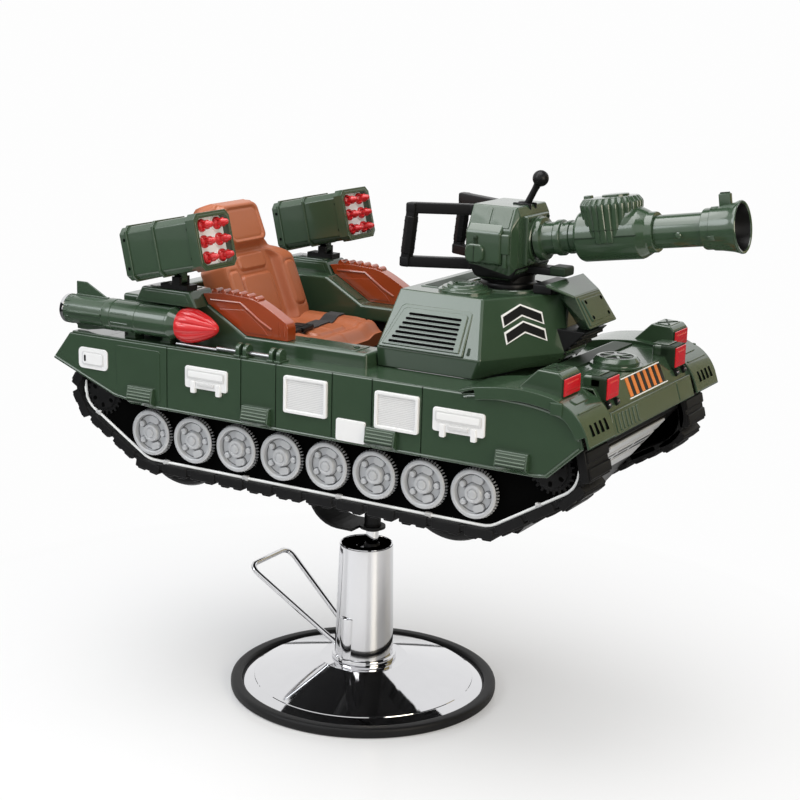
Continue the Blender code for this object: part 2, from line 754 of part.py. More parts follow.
def sill_outline():
    """Side view of a cockpit sill above the deck."""
    foot = DECK_Z - DECK_THICK
    return [(SILL_REAR, foot), (SILL_FRONT, foot), (SILL_FRONT, SILL_LOW), (SILL_SLOPE_END, SILL_LOW),
            (SILL_SLOPE_START, SILL_HIGH), (SILL_REAR, SILL_HIGH)]


def sill_hollow():
    """The hollow under a sill, open below."""
    foot = DECK_Z - DECK_THICK - 0.05
    return [(SILL_REAR + WALL, foot), (SILL_FRONT - WALL, foot), (SILL_FRONT - WALL, SILL_LOW - WALL),
            (SILL_SLOPE_END, SILL_LOW - WALL), (SILL_SLOPE_START, SILL_HIGH - WALL),
            (SILL_REAR + WALL, SILL_HIGH - WALL)]


def fender_line():
    """Side view of the top of a front fender, from back to front."""
    return [(0.395, 0.8065), (0.440, 0.818), (0.520, 0.826), (0.580, 0.820), (0.602, 0.813),
            (0.626, 0.802), (0.646, 0.784), (0.660, 0.761), (0.670, 0.733)]


def glacis_line():
    """Side view of the front deck: riser, plateau, slope and the flange behind the bumper."""
    drop = GLACIS_FOOT - BUMPER_BOTTOM
    behind = (BUMPER_THICK + FIT) * math.hypot(drop, BUMPER_LEAN) / drop
    flange = GLACIS_FRONT - behind
    return [(PLATEAU_START, DECK_Z - DECK_THICK / 2), (PLATEAU_START, PLATEAU_Z),
            (GLACIS_TOP, PLATEAU_Z - WALL), (flange, GLACIS_FOOT), (flange + BUMPER_LEAN, BUMPER_BOTTOM)]


def make_upper_hull():
    """The green deck with sills, rear bridge, front plates, fenders, lamps and pod pedestals."""
    foot = DECK_Z - DECK_THICK
    deck = box((DECK_REAR, -DECK_HALF, foot), (DECK_FRONT, DECK_HALF, DECK_Z))
    well_half = SILL_OUT - 3 * WALL
    below = foot - DECK_THICK
    above = DECK_Z + DECK_THICK
    cockpit = box((SILL_REAR + WALL, -well_half, below), (SILL_FRONT - WALL, well_half, above))
    turret_well = box((SILL_FRONT - 2 * WALL, -SILL_IN, below), (TURRET_WELL_FRONT, SILL_IN, above))
    upper = cut(deck, cockpit, turret_well)
    for side in SIDES.values():
        sill = prism(sill_outline(), side * SILL_IN, side * SILL_OUT)
        sill = cut(sill, prism(sill_hollow(), side * (SILL_IN + WALL), side * (SILL_OUT - WALL)))
        upper = join(upper, sill)
    bridge_half = SILL_IN + WALL / 2
    bridge = box((SILL_REAR, -bridge_half, foot), (BRIDGE_FRONT, bridge_half, SILL_HIGH))
    bridge_hollow = box((SILL_REAR + WALL, -SILL_IN, below), (BRIDGE_FRONT - WALL, SILL_IN, SILL_HIGH - WALL))
    upper = join(upper, cut(bridge, bridge_hollow))
    front = prism(ribbon(glacis_line(), WALL), -FENDER_IN - WALL / 2, FENDER_IN + WALL / 2)
    upper = join(upper, front)
    for side in SIDES.values():
        upper = join(upper, fender(side))
        upper = join(upper, fender_lamp(side), inner_lamp(side), pedestal(side))
    node("upper_hull", join(upper, front_hatch()), "army_green", (RAM_X, RAM_Y, DECK_Z))


def front_hatch():
    """The round bevelled hatch on the front plateau."""
    step = HATCH_RISE / 2
    low = PLATEAU_Z - WALL / 2
    top = PLATEAU_Z + HATCH_RISE
    profile = [(0, low), (HATCH_RADIUS, low), (HATCH_RADIUS, PLATEAU_Z + step),
               (HATCH_RADIUS - step, top), (0, top)]
    return turned(profile, MEDIUM_SIDES, Matrix.Translation((HATCH_X, 0, 0)))


def fender(side):
    """One front fender with its outer lip and the wall that ties it to the deck."""
    line = fender_line()
    plate = prism(ribbon(line, FENDER_THICK), side * FENDER_IN, side * FENDER_OUT)
    low = offset_line(line, FENDER_THICK / 2)
    bead = FENDER_OUT + FENDER_THICK / 5
    lip = prism(ribbon(low[1:-1], FENDER_LIP), side * (bead - FENDER_THICK), side * bead)
    wall_front = [point for point in low if point[0] < GLACIS_FRONT]
    outline = [(low[0][0], DECK_Z - DECK_THICK / 2)] + wall_front
    outline += [(GLACIS_FRONT - 0.004, BUMPER_BOTTOM + 0.010), (0.600, 0.790)]
    wall = prism(outline, side * FENDER_IN, side * (FENDER_IN + FENDER_THICK))
    return join(plate, lip, wall)


def fender_lamp(side):
    """The peaked lamp housing on a fender."""
    foot = 0.821
    outline = [(0.506, foot), (FENDER_LAMP_FRONT, foot - 0.012), (FENDER_LAMP_FRONT, FENDER_LAMP_TOP - 0.008),
               (0.591, FENDER_LAMP_TOP), (0.548, FENDER_LAMP_TOP + 0.002)]
    near = side * (FENDER_LAMP_MID - FENDER_LAMP_HALF)
    far = side * (FENDER_LAMP_MID + FENDER_LAMP_HALF)
    return prism(outline, near, far)


def inner_lamp(side):
    """The square lamp housing on the front slope."""
    outline = [(INNER_LAMP_BACK, PLATEAU_Z - 0.003), (GLACIS_TOP, PLATEAU_Z - 0.007),
               (INNER_LAMP_FRONT, GLACIS_FOOT + 0.008), (INNER_LAMP_FRONT, INNER_LAMP_TOP),
               (INNER_LAMP_BACK + 0.008, INNER_LAMP_TOP)]
    near = side * (INNER_LAMP_MID - INNER_LAMP_HALF)
    far = side * (INNER_LAMP_MID + INNER_LAMP_HALF)
    return prism(outline, near, far)


def pedestal(side):
    """The raised seat of a missile pod on the sill's shoulder."""
    foot = SILL_HIGH - WALL / 2
    outline = [(PEDESTAL_REAR, foot), (PEDESTAL_FRONT, foot),
               (PEDESTAL_FRONT - PEDESTAL_SLOPE, PEDESTAL_TOP),
               (PEDESTAL_REAR + PEDESTAL_SLOPE, PEDESTAL_TOP)]
    return prism(outline, side * PEDESTAL_IN, side * PEDESTAL_OUT)


def make_front():
    """The front panel and the four red lenses."""
    line = [(GLACIS_FRONT, GLACIS_FOOT), (GLACIS_FRONT + BUMPER_LEAN, BUMPER_BOTTOM)]
    half = FENDER_IN - 2 * WALL
    bumper = prism(ribbon(line, BUMPER_THICK), -half, half)
    node("front_bumper", bumper, "army_green", (RAM_X, RAM_Y, GLACIS_FOOT))
    for name, side in SIDES.items():
        outer = lamp_lens(FENDER_LAMP_FRONT, side * FENDER_LAMP_MID, FENDER_LAMP_HALF, FENDER_LENS_Z)
        node("fender_lens_" + name, outer, "red_lens", (RAM_X, RAM_Y, FENDER_LAMP_TOP))
        inner = lamp_lens(INNER_LAMP_FRONT, side * INNER_LAMP_MID, INNER_LAMP_HALF, INNER_LENS_Z)
        node("inner_lens_" + name, inner, "red_lens", (RAM_X, RAM_Y, INNER_LAMP_TOP))


def lamp_lens(front, middle, lamp_half, heights):
    """The flat red lens on the front of one lamp housing."""
    half = lamp_half - LENS_BORDER
    low, high = heights
    x = front + FIT
    return box((x, middle - half, low), (x + LENS_THICK, middle + half, high))


# Running gear


def skirt_outline():
    """Side view of a side skirt."""
    top = DECK_Z - FIT
    return [(-0.610, 0.735), (-0.440, 0.672), (-0.344, SKIRT_BOTTOM), (0.560, SKIRT_BOTTOM),
            (0.584, 0.663), (0.654, 0.729), (0.648, 0.752), (0.634, 0.774), (0.612, 0.789),
            (0.540, 0.803), (0.440, 0.806), (0.400, top), (-0.562, top - 0.003)]


def make_skirt(name, side):
    """One side skirt with its four steps."""
    near = DECK_HALF + FIT
    skirt = prism(skirt_outline(), side * near, side * (near + SKIRT_THICK))
    out = near + SKIRT_THICK
    root = side * (out - SKIRT_THICK / 6)
    low = SKIRT_BOTTOM + 0.002
    top = low + STEP_HEIGHT
    profile = [(root, low), (side * (out + STEP_DEPTH), low + STEP_NOSE),
               (side * (out + STEP_DEPTH * STEP_TAPER), top), (root, top)]
    for start in STEP_STARTS:
        skirt = join(skirt, prism(profile, start, start + STEP_LENGTH, "x"))
    node("side_skirt_" + name, skirt, "army_green", (RAM_X, RAM_Y, DECK_Z))


def track_line(offset, spacing):
    """Points round the track's path, drawn in by an offset, from the upper rear round below to the front."""
    arcs = [REAR_ARC, REAR_FLOOR_ARC, FRONT_FLOOR_ARC, FRONT_ARC]
    points = []
    for i, (x, z, radius) in enumerate(arcs):
        before = tangent_angle(arcs[i - 1], arcs[i])
        after = tangent_angle(arcs[i], arcs[(i + 1) % len(arcs)])
        while after < before:
            after += math.tau
        steps = max(2, round(radius * (after - before) / spacing))
        for k in range(steps + 1):
            angle = before + (after - before) * k / steps
            reach = radius - offset
            points.append((x + reach * math.cos(angle), z + reach * math.sin(angle)))
    return points


def tangent_angle(first, second):
    """Direction from the arc centres to their shared outer tangent, on the outside of the loop."""
    (x0, z0, r0), (x1, z1, r1) = first, second
    along = math.atan2(z1 - z0, x1 - x0)
    return along - math.pi / 2 + math.asin((r0 - r1) / math.hypot(x1 - x0, z1 - z0)) * -1.0


def even_points(line, count):
    """Equally spaced points round a closed line, with the outward direction at each."""
    closed = [Vector(p) for p in line] + [Vector(line[0])]
    lengths = [0.0]
    for a, b in zip(closed, closed[1:]):
        lengths.append(lengths[-1] + (b - a).length)
    result = []
    leg = 0
    for i in range(count):
        at = lengths[-1] * i / count
        while lengths[leg + 1] < at:
            leg += 1
        a, b = closed[leg], closed[leg + 1]
        share = (at - lengths[leg]) / max(lengths[leg + 1] - lengths[leg], 1e-9)
        along = (b - a).normalized()
        result.append((a.lerp(b, share), Vector((along.y, -along.x))))
    return result


def tread_outline():
    """Outer outline of the lugged belt: each lug is a raised block."""
    corners = 4
    shares = (0.0, LUG_SLOPE, LUG_SHARE, LUG_SHARE + LUG_SLOPE)
    heights = (0.0, LUG_HEIGHT, LUG_HEIGHT, 0.0)
    steps = 100
    fine = even_points(track_line(LUG_HEIGHT, 0.01), LUG_COUNT * steps)
    outline = []
    for lug in range(LUG_COUNT):
        for k in range(corners):
            place, out = fine[lug * steps + round(shares[k] * steps)]
            outline.append(tuple(place + out * heights[k]))
    return outline


def make_track(name, side):
    """One moulded track: lugged belt, web, sprocket and idler relief, and stub axles."""
    inner = TUB_HALF + FIT
    belt = prism(tread_outline(), side * inner, side * TRACK_OUT)
    space = track_line(LUG_HEIGHT + BELT_THICK, 0.03)
    belt = cut(belt, prism(space, side * (inner - WALL), side * (WEB_OUT - WEB_THICK)))
    belt = cut(belt, prism(space, side * WEB_OUT, side * (TRACK_OUT + WALL)))
    web_back = side * (WEB_OUT - WEB_THICK / 2)
    for x, z, radius in (REAR_ARC, FRONT_ARC):
        front = side * (WEB_OUT + SPROCKET_PROUD)
        belt = join(belt, cross_pin(SPROCKET_RADIUS, x, z - SPROCKET_DROP, web_back, front))
    for i in range(WHEEL_COUNT):
        x = WHEEL_FIRST_X + i * WHEEL_PITCH
        tip = side * (WEB_OUT + STUB_LENGTH)
        belt = join(belt, cross_pin(STUB_RADIUS, x, WHEEL_Z, web_back, tip, STUB_SIDES))
    for x in LOAD_WHEEL_X:
        belt = join(belt, load_wheel(x, side))
    node("track_" + name, belt, "rubber", (RAM_X, RAM_Y, WHEEL_Z))


def load_wheel(x, side):
    """The large wheel moulded behind the track, seen below it as a shallow bulge."""
    out = WEB_OUT - LOAD_WHEEL_INSET
    near = out - LOAD_WHEEL_WIDTH
    tread = LOAD_WHEEL_RADIUS - LOAD_WHEEL_WALL
    profile = [(0, out - WEB_THICK), (tread, out - WEB_THICK), (tread, near), (LOAD_WHEEL_RADIUS, near),
               (LOAD_WHEEL_RADIUS, out), (0, out)]
    turn = Matrix.Translation((x, 0, LOAD_WHEEL_Z)) @ Matrix.Rotation(-side * math.pi / 2, 4, "X")
    return turned(profile, MEDIUM_SIDES, turn)


def make_wheel(name, side, index):
    """One road wheel with its rim, dished face, hub and blind bore."""
    x = WHEEL_FIRST_X + index * WHEEL_PITCH
    depth = WHEEL_OUT - WEB_OUT - FIT
    bore = STUB_RADIUS + FIT
    bore_depth = STUB_LENGTH + FIT
    rim = WHEEL_RADIUS - 0.010
    rim_top = depth - 0.003
    face = 0.014
    hub = 0.017
    slope = 0.003
    profile = [(bore, 0), (WHEEL_RADIUS, 0), (WHEEL_RADIUS, rim_top), (rim, rim_top), (rim - slope, face),
               (hub, face), (hub - slope, depth), (0, depth), (0, bore_depth), (bore, bore_depth)]
    place = Matrix.Translation((x, side * (WEB_OUT + FIT), WHEEL_Z))
    wheel = turned(profile, SMALL_SIDES, place @ Matrix.Rotation(-side * math.pi / 2, 4, "X"))
    node("road_wheel_%s_%d" % (name, index + 1), wheel, "wheel_grey", (x, side * WEB_OUT, WHEEL_Z))


def strip_path(side):
    """The light tube's route along the inside of the belt, from the rear end to the front end."""
    gap = LUG_HEIGHT + BELT_THICK + STRIP_RADIUS + 0.002
    line = even_points(track_line(gap, 0.01), 110)
    lowest = [place for place, out in line if out.y < 0.35 and place.y < 0.700]
    lowest.sort(key=lambda place: place.x)
    return [(place.x, side * (WEB_OUT + STRIP_RADIUS + FIT), place.y) for place in lowest]


def make_running_gear():
    """Skirts, tracks, wheels and light tubes of both sides."""
    for name, side in SIDES.items():
        make_skirt(name, side)
        make_track(name, side)
        for index in range(WHEEL_COUNT):
            make_wheel(name, side, index)
        strip = bar(strip_path(side), STRIP_RADIUS, 1)
        node("light_strip_" + name, strip, "light_tube", (RAM_X, RAM_Y, WHEEL_Z))


# Turret and gun


def both(points):
    """The given points and their mirror images across the middle plane."""
    return list(points) + [(x, -y, z) for x, y, z in points]


def turret_body(shrink, foot):
    """The sloped main body of the turret, drawn in by a wall where it is the hollow."""
    s = shrink
    low = TURRET_SKIRT_TOP + s
    high = TURRET_TOP - s
    wide = TURRET_HALF - s
    narrow = wide - 0.006
    top_rear = wide - 0.059
    top_front = wide - 0.053
    return hull(both([
        (TURRET_REAR + s, wide, low), (0.383 - s, wide, low), (0.487 - s, 0.041 - s / 2, low),
        (0.168 + s, top_rear, high), (0.358 - s, top_front, high), (0.450 - s, 0.013, high),
        (TURRET_REAR + s, narrow, foot), (0.365 - s, narrow, foot), (0.452 - s, 0.045 - s / 2, foot)]))


def mantlet():
    """The block on the turret's front ridge that carries the tilted front plate."""
    return hull(both([MANTLET_HIGH, MANTLET_LOW, MANTLET_CHIN, MANTLET_ROOT]))


def visor():
    """The thin plate that rises from the front plate's upper edge towards the gun."""
    upper = [MANTLET_HIGH, VISOR_REAR]
    return hull(both(upper + [(x, y, z - VISOR_THICK) for x, y, z in upper]))


def make_turret():
    """The turret shell, open below and at the rear for the child's legs, with its round hatch."""
    foot = DECK_Z + FIT
    below = foot - 4 * TURRET_WALL
    turret = join(turret_body(0.0, foot), mantlet(), visor())
    turret = cut(turret, turret_body(TURRET_WALL, below))
    door_half = TURRET_HALF - DOORWAY_FRAME
    doorway = box((TURRET_REAR - TURRET_WALL, -door_half, below),
                  (TURRET_REAR + 6 * TURRET_WALL, door_half, DOORWAY_TOP))
    running_radius = (GUN_SPIGOT_RADIUS + FIT) / math.cos(math.pi / MEDIUM_SIDES)
    top = TURRET_TOP + CUPOLA_RISE
    socket = disc(running_radius, TURRET_TOP - 2 * TURRET_WALL, top, (GUN_X, 0), MEDIUM_SIDES)
    turret = cut(turret, doorway, socket)
    low = TURRET_TOP - TURRET_WALL / 2
    middle = TURRET_TOP + CUPOLA_RISE / 2
    cupola = [(0, low), (CUPOLA_RADIUS, low), (CUPOLA_RADIUS, middle), (CUPOLA_RADIUS * 0.78, middle),
              (CUPOLA_RADIUS * 0.74, top), (0, top)]
    turret = join(turret, turned(cupola, MEDIUM_SIDES, Matrix.Translation((CUPOLA_X, CUPOLA_Y, 0))))
    node("turret", turret, "army_green", (RAM_X, RAM_Y, TURRET_TOP))


def gun_head_body():
    """The solid gun head: sloped roof sides, bevelled ends, and housings with round caps at its sides."""
    rear, front, half = GUN_HEAD_REAR, GUN_HEAD_FRONT, GUN_HEAD_HALF
    low, high = GUN_HEAD_BOTTOM, GUN_HEAD_TOP
    bevel = GUN_HEAD_BEVEL
    eave = high - GUN_ROOF_DROP
    ridge = half - GUN_ROOF_INSET
    brow = front - bevel / 2
    head = hull(both([
        (rear + bevel, half - bevel, low), (front - bevel, half - bevel, low),
        (rear, half, low + 2 * bevel), (brow, half, low + 2 * bevel), (front, half - bevel, low + bevel),
        (rear, half, eave), (brow, half, eave), (front, half - bevel, eave),
        (front, ridge, high - bevel), (rear, ridge, high), (brow, ridge, high)]))
    for side in SIDES.values():
        near, far = sorted((side * (half - GUN_ROOF_INSET), side * (half + GUN_HOUSING_PROUD)))
        housing = box((rear + WALL / 2, near, low + 0.026), (front - 0.026, far, high - 0.022))
        cap_face = half + GUN_CAP_PROUD
        cap = cross_pin(GUN_CAP_RADIUS, rear + 0.024, low + 0.054, side * half, side * cap_face, MEDIUM_SIDES)
        head = join(head, housing, cap)
    return head


def make_gun_head():
    """The hollow gun head with its round foot, side housings, front flange and lever ears."""
    foot = TURRET_TOP + FIT
    spigot = GUN_SPIGOT_RADIUS
    throat_radius = spigot - 0.006
    spigot_foot = foot - 0.010
    rear, front, half = GUN_HEAD_REAR, GUN_HEAD_FRONT, GUN_HEAD_HALF
    low, high = GUN_HEAD_BOTTOM, GUN_HEAD_TOP
    flange = box((front - GUN_FLANGE_THICK, -GUN_FLANGE_HALF, BARREL_Z - GUN_FLANGE_HALF),
                 (front + GUN_FLANGE_THICK, GUN_FLANGE_HALF, BARREL_Z + GUN_FLANGE_HALF))
    rest = box((front - 0.02, -0.022, low + 0.008), (front + 0.084, 0.022, low + 0.031))
    head = join(gun_head_body(), flange, rest)
    wide = half - GUN_HEAD_BEVEL
    narrow = half - GUN_ROOF_INSET - WALL
    section = [(-wide, low + WALL), (wide, low + WALL), (wide, high - GUN_ROOF_DROP / 2),
               (narrow, high - WALL), (-narrow, high - WALL), (-wide, high - GUN_ROOF_DROP / 2)]
    hollow = prism(section, rear + WALL, front - GUN_FLANGE_THICK, "x")
    profile = [(throat_radius, spigot_foot), (spigot, spigot_foot), (spigot, foot), (GUN_FOOT_RADIUS, foot),
               (GUN_FOOT_RADIUS, low + WALL), (throat_radius, low + WALL)]
    base = turned(profile, MEDIUM_SIDES, Matrix.Translation((GUN_X, 0, 0)))
    head = join(cut(head, hollow), base)
    throat = disc(throat_radius, spigot_foot - WALL, low + 2 * WALL, (GUN_X, 0), MEDIUM_SIDES)
    node("gun_head", lever_ears(cut(head, throat)), "army_green", (GUN_X, 0, TURRET_TOP))


def lever_ears(head):
    """Cut the lever's slot and add the two ears that hold its pin."""
    slot_half = LEVER_ROD + 0.0014
    ear_thick = 0.006
    reach = 0.010
    above = GUN_HEAD_TOP + WALL
    slot = box((LEVER_X - LEVER_SLOT_REAR, -slot_half, LEVER_Z),
               (LEVER_X + LEVER_SLOT_FRONT, slot_half, above))
    head = cut(head, slot)
    for side in SIDES.values():
        near, far = sorted((side * slot_half, side * (slot_half + ear_thick)))
        ear = box((LEVER_X - reach, near, LEVER_Z - reach), (LEVER_X + reach, far, GUN_HEAD_TOP - WALL / 2))
        head = join(head, ear)
    through = 2 * LEVER_PIN_HALF
    return cut(head, cross_pin(LEVER_PIN + FIT, LEVER_X, LEVER_Z, -through, through))


def make_lever():
    """The ball-topped lever with its pivot pin."""
    lean = Vector((math.sin(LEVER_LEAN), 0, math.cos(LEVER_LEAN)))
    root = Vector((LEVER_X, 0, LEVER_Z))
    tip = root + lean * LEVER_LENGTH
    lever = bar([tuple(root), tuple(root.lerp(tip, 0.5)), tuple(tip)], LEVER_ROD)
    lever = join(lever, cross_pin(LEVER_PIN, LEVER_X, LEVER_Z, -LEVER_PIN_HALF, LEVER_PIN_HALF))
    ball = arc((0, 0), LEVER_BALL, -90, 90, 8)
    ball[0] = (0.0, -LEVER_BALL)
    ball[-1] = (0.0, LEVER_BALL)
    knob = turned(ball, SMALL_SIDES, Matrix.Translation(tip))
    node("control_lever", join(lever, knob), "black_plastic", (LEVER_X, 0, LEVER_Z))


def make_handle(name, side):
    """One D-shaped handle behind the gun head."""
    root_x = GUN_HEAD_REAR - FIT
    bend_x = root_x - 0.012
    root_y = side * HANDLE_ROOT_Y
    grip_y = side * HANDLE_GRIP_Y
    lean = 0.006
    path = [(root_x, root_y, HANDLE_TOP), (bend_x, root_y, HANDLE_TOP),
            (HANDLE_REAR + lean, grip_y, HANDLE_TOP), (HANDLE_REAR - lean, grip_y, HANDLE_BOTTOM),
            (bend_x, root_y, HANDLE_BOTTOM), (root_x, root_y, HANDLE_BOTTOM)]
    handle = bar(path, HANDLE_ROD, 1)
    grip_end = 0.018
    grip = bar([(HANDLE_REAR + lean, grip_y, HANDLE_TOP - grip_end),
                (HANDLE_REAR - lean, grip_y, HANDLE_BOTTOM + grip_end)], HANDLE_GRIP, 1)
    node("handle_" + name, join(handle, grip), "black_plastic", (GUN_X, 0, HANDLE_TOP))


def along_barrel():
    """Matrix from the barrel's own frame, axis along +Z, to its tilted place on the gun head."""
    root = Matrix.Translation((GUN_HEAD_FRONT + GUN_FLANGE_THICK, 0, BARREL_Z))
    return root @ Matrix.Rotation(math.pi / 2 - BARREL_TILT, 4, "Y")


def make_barrel():
    """The barrel housing with its ribbed drum, and the front tube."""
    place = along_barrel()
    upright = place @ Matrix.Translation((0, 0, DRUM_AT)) @ Matrix.Rotation(-math.pi / 2, 4, "Y")
    drum_edge = DRUM_TOP - 0.014
    drum_lid = DRUM_RADIUS - 0.010
    drum = turned([(0, DRUM_FOOT), (DRUM_FOOT_RADIUS, DRUM_FOOT), (DRUM_RADIUS, drum_edge),
                   (drum_lid, DRUM_TOP), (0, DRUM_TOP)], MEDIUM_SIDES, upright)
    housing = join(barrel_stub(place), housing_shell(place), drum)
    wall = TURRET_WALL
    hollow_start = HOUSING_START + 3 * wall
    hollow_end = HOUSING_END - 5 * wall
    running = SPIGOT_RADIUS + FIT
    beyond = HOUSING_END + HOUSING_COLLAR + wall
    inside = HOUSING_RADIUS - wall
    hollow = turned([(0, hollow_start), (inside, hollow_start), (inside, hollow_end),
                     (running, hollow_end + 2 * wall), (running, beyond), (0, beyond)], MEDIUM_SIDES, place)
    lid_under = DRUM_TOP - wall
    drum_hollow = turned([(0, 0.002), (DRUM_FOOT_RADIUS - wall, 0.002),
                          (DRUM_RADIUS - wall, drum_edge - wall), (drum_lid - wall, lid_under),
                          (0, lid_under)], SMALL_SIDES, upright)
    node("barrel_housing", cut(housing, hollow, drum_hollow), "army_green", (GUN_X, 0, BARREL_Z))

    face = HOUSING_END + HOUSING_COLLAR + FIT
    throat = MUZZLE_END - 0.035
    lip = 0.006
    tube = turned([(BORE_RADIUS, SPIGOT_START), (SPIGOT_RADIUS, SPIGOT_START), (SPIGOT_RADIUS, face),
                   (TUBE_RADIUS, face), (TUBE_RADIUS, MUZZLE_START), (TUBE_RADIUS + lip / 2, MUZZLE_START),
                   (MUZZLE_RADIUS, MUZZLE_END - lip), (MUZZLE_RADIUS, MUZZLE_END),
                   (MUZZLE_RADIUS - lip / 2, MUZZLE_END), (BORE_RADIUS + lip, throat + lip),
                   (BORE_RADIUS, throat)], MEDIUM_SIDES, place)
    corners = []
    for across in (-SIGHT_HALF, SIGHT_HALF):
        for along in (SIGHT_START, SIGHT_END):
            corners.append((-TUBE_RADIUS, across, along))
            corners.append((-SIGHT_TOP, across, along))
    sight = hull([tuple(place @ Vector(corner)) for corner in corners])
    node("gun_barrel", join(tube, sight), "army_green", (GUN_X, 0, BARREL_Z))


def barrel_stub(place):
    """The stepped tube between the gun head's flange and the housing."""
    collar = 0.044
    neck = 0.0327
    ring = 0.036
    tail = 0.031
    start = collar * math.tan(BARREL_TILT) + FIT
    inside = HOUSING_START + 0.01
    profile = [(0, start), (collar, start), (collar, start + 0.012), (neck, start + 0.014), (neck, 0.045),
               (ring, 0.045), (ring, 0.060), (tail, 0.060), (tail, inside), (0, inside)]
    return turned(profile, MEDIUM_SIDES, place)


def housing_shell(place):
    """The rounded housing with the collar that takes the front tube."""
    collar = 0.040
    end = HOUSING_END + HOUSING_COLLAR
    profile = [(0, HOUSING_START), (HOUSING_RADIUS - 0.006, HOUSING_START),
               (HOUSING_RADIUS, HOUSING_START + 0.01), (HOUSING_RADIUS, HOUSING_END - 0.020),
               (collar, HOUSING_END), (collar, end), (0, end)]
    return turned(profile, MEDIUM_SIDES, place)


# Missile pods and rockets


def pod_place(side):
    """Matrix from a pod's own level frame, centred on it, to its tilted place."""
    return Matrix.Translation((POD_X, side * POD_Y, POD_Z)) @ Matrix.Rotation(-POD_TILT, 4, "Y")


def placed(item, matrix):
    """Move a shape's mesh by a matrix."""
    item.data.transform(matrix)
    return item


def pod_section(length_low, length_high, shrink):
    """An eight-sided bar along X, shrunk on all sides: the pod's body or its hollow."""
    half_y = POD_WIDTH / 2 - shrink
    half_z = POD_HEIGHT / 2 - shrink
    corner = POD_CORNER
    outline = [(half_y - corner, -half_z), (half_y, -half_z + corner), (half_y, half_z - corner),
               (half_y - corner, half_z), (-half_y + corner, half_z), (-half_y, half_z - corner),
               (-half_y, -half_z + corner), (-half_y + corner, -half_z)]
    return prism(outline, length_low, length_high, "x")


def make_pod(name, side):
    """One missile pod, its white rack with missiles, and the black bracket that holds it."""
    place = pod_place(side)
    half = POD_LENGTH / 2
    pivot = (POD_PIVOT_X, side * POD_Y, POD_PIVOT_Z)
    pod = pod_section(-half, half, 0.0)
    pod = cut(pod, pod_section(-half + POD_WALL, half + POD_WALL, POD_WALL))
    pod = placed(pod, place)
    lug_y = side * POD_Y
    lug = cross_pin(POD_LUG_RADIUS, POD_PIVOT_X, POD_PIVOT_Z, lug_y - POD_LUG_HALF, lug_y + POD_LUG_HALF)
    neck = box((POD_PIVOT_X - POD_LUG_RADIUS, lug_y - POD_LUG_HALF, POD_PIVOT_Z),
               (POD_PIVOT_X + POD_LUG_RADIUS, lug_y + POD_LUG_HALF, POD_Z - POD_HEIGHT / 2 + POD_WALL))
    pod = join(pod, lug, neck)
    through = 2 * POD_LUG_HALF
    hole = cross_pin(POD_PIN + FIT, POD_PIVOT_X, POD_PIVOT_Z, lug_y - through, lug_y + through)
    node("missile_pod_" + name, cut(pod, hole), "army_green", pivot)

    node("missile_rack_" + name, placed(missile_rack(half - POD_RACK_DEPTH), place), "missile_red", pivot)
    node("pod_bracket_" + name, pod_bracket(lug_y), "black_plastic", (RAM_X, RAM_Y, PEDESTAL_TOP))


def missile_rack(front):
    """The plate near the pod's mouth with its rows of missiles."""
    plate = 0.004
    rack = pod_section(front - plate, front, POD_WALL + FIT)
    row_pitch = (POD_HEIGHT - 2 * POD_WALL) / MISSILE_ROWS
    column_pitch = (POD_WIDTH - 2 * POD_WALL) / MISSILE_COLUMNS
    profile = [(0, 0), (MISSILE_RADIUS, 0), (MISSILE_RADIUS, MISSILE_LENGTH / 3),
               (MISSILE_RADIUS * 0.52, MISSILE_LENGTH * 2 / 3),
               (MISSILE_RADIUS * 0.44, MISSILE_LENGTH - plate), (0, MISSILE_LENGTH)]
    for row in range(MISSILE_ROWS):
        for column in range(MISSILE_COLUMNS):
            y = (column - (MISSILE_COLUMNS - 1) / 2) * column_pitch
            z = (row - (MISSILE_ROWS - 1) / 2) * row_pitch
            turn = Matrix.Translation((front - plate / 2, y, z)) @ Matrix.Rotation(math.pi / 2, 4, "Y")
            rack = join(rack, turned(profile, MISSILE_SIDES, turn))
    return rack


def pod_bracket(lug_y):
    """The black bracket whose two cheeks hold a pod's lug on a pin."""
    foot = PEDESTAL_TOP + FIT
    cheek_in = POD_LUG_HALF + FIT
    cheek_out = cheek_in + 0.008
    bracket = box((POD_PIVOT_X - 0.040, lug_y - cheek_out, foot),
                  (POD_PIVOT_X + 0.030, lug_y + cheek_out, POD_PIVOT_Z - POD_LUG_RADIUS - FIT))
    cheek_half = 0.010
    for way in SIDES.values():
        near, far = sorted((lug_y + way * cheek_in, lug_y + way * cheek_out))
        cheek = box((POD_PIVOT_X - cheek_half, near, foot + WALL / 2),
                    (POD_PIVOT_X + cheek_half, far, POD_PIVOT_Z + cheek_half / 2))
        bracket = join(bracket, cheek)
    pin_end = cheek_out - WALL / 2
    return join(bracket, cross_pin(POD_PIN, POD_PIVOT_X, POD_PIVOT_Z, lug_y - pin_end, lug_y + pin_end))


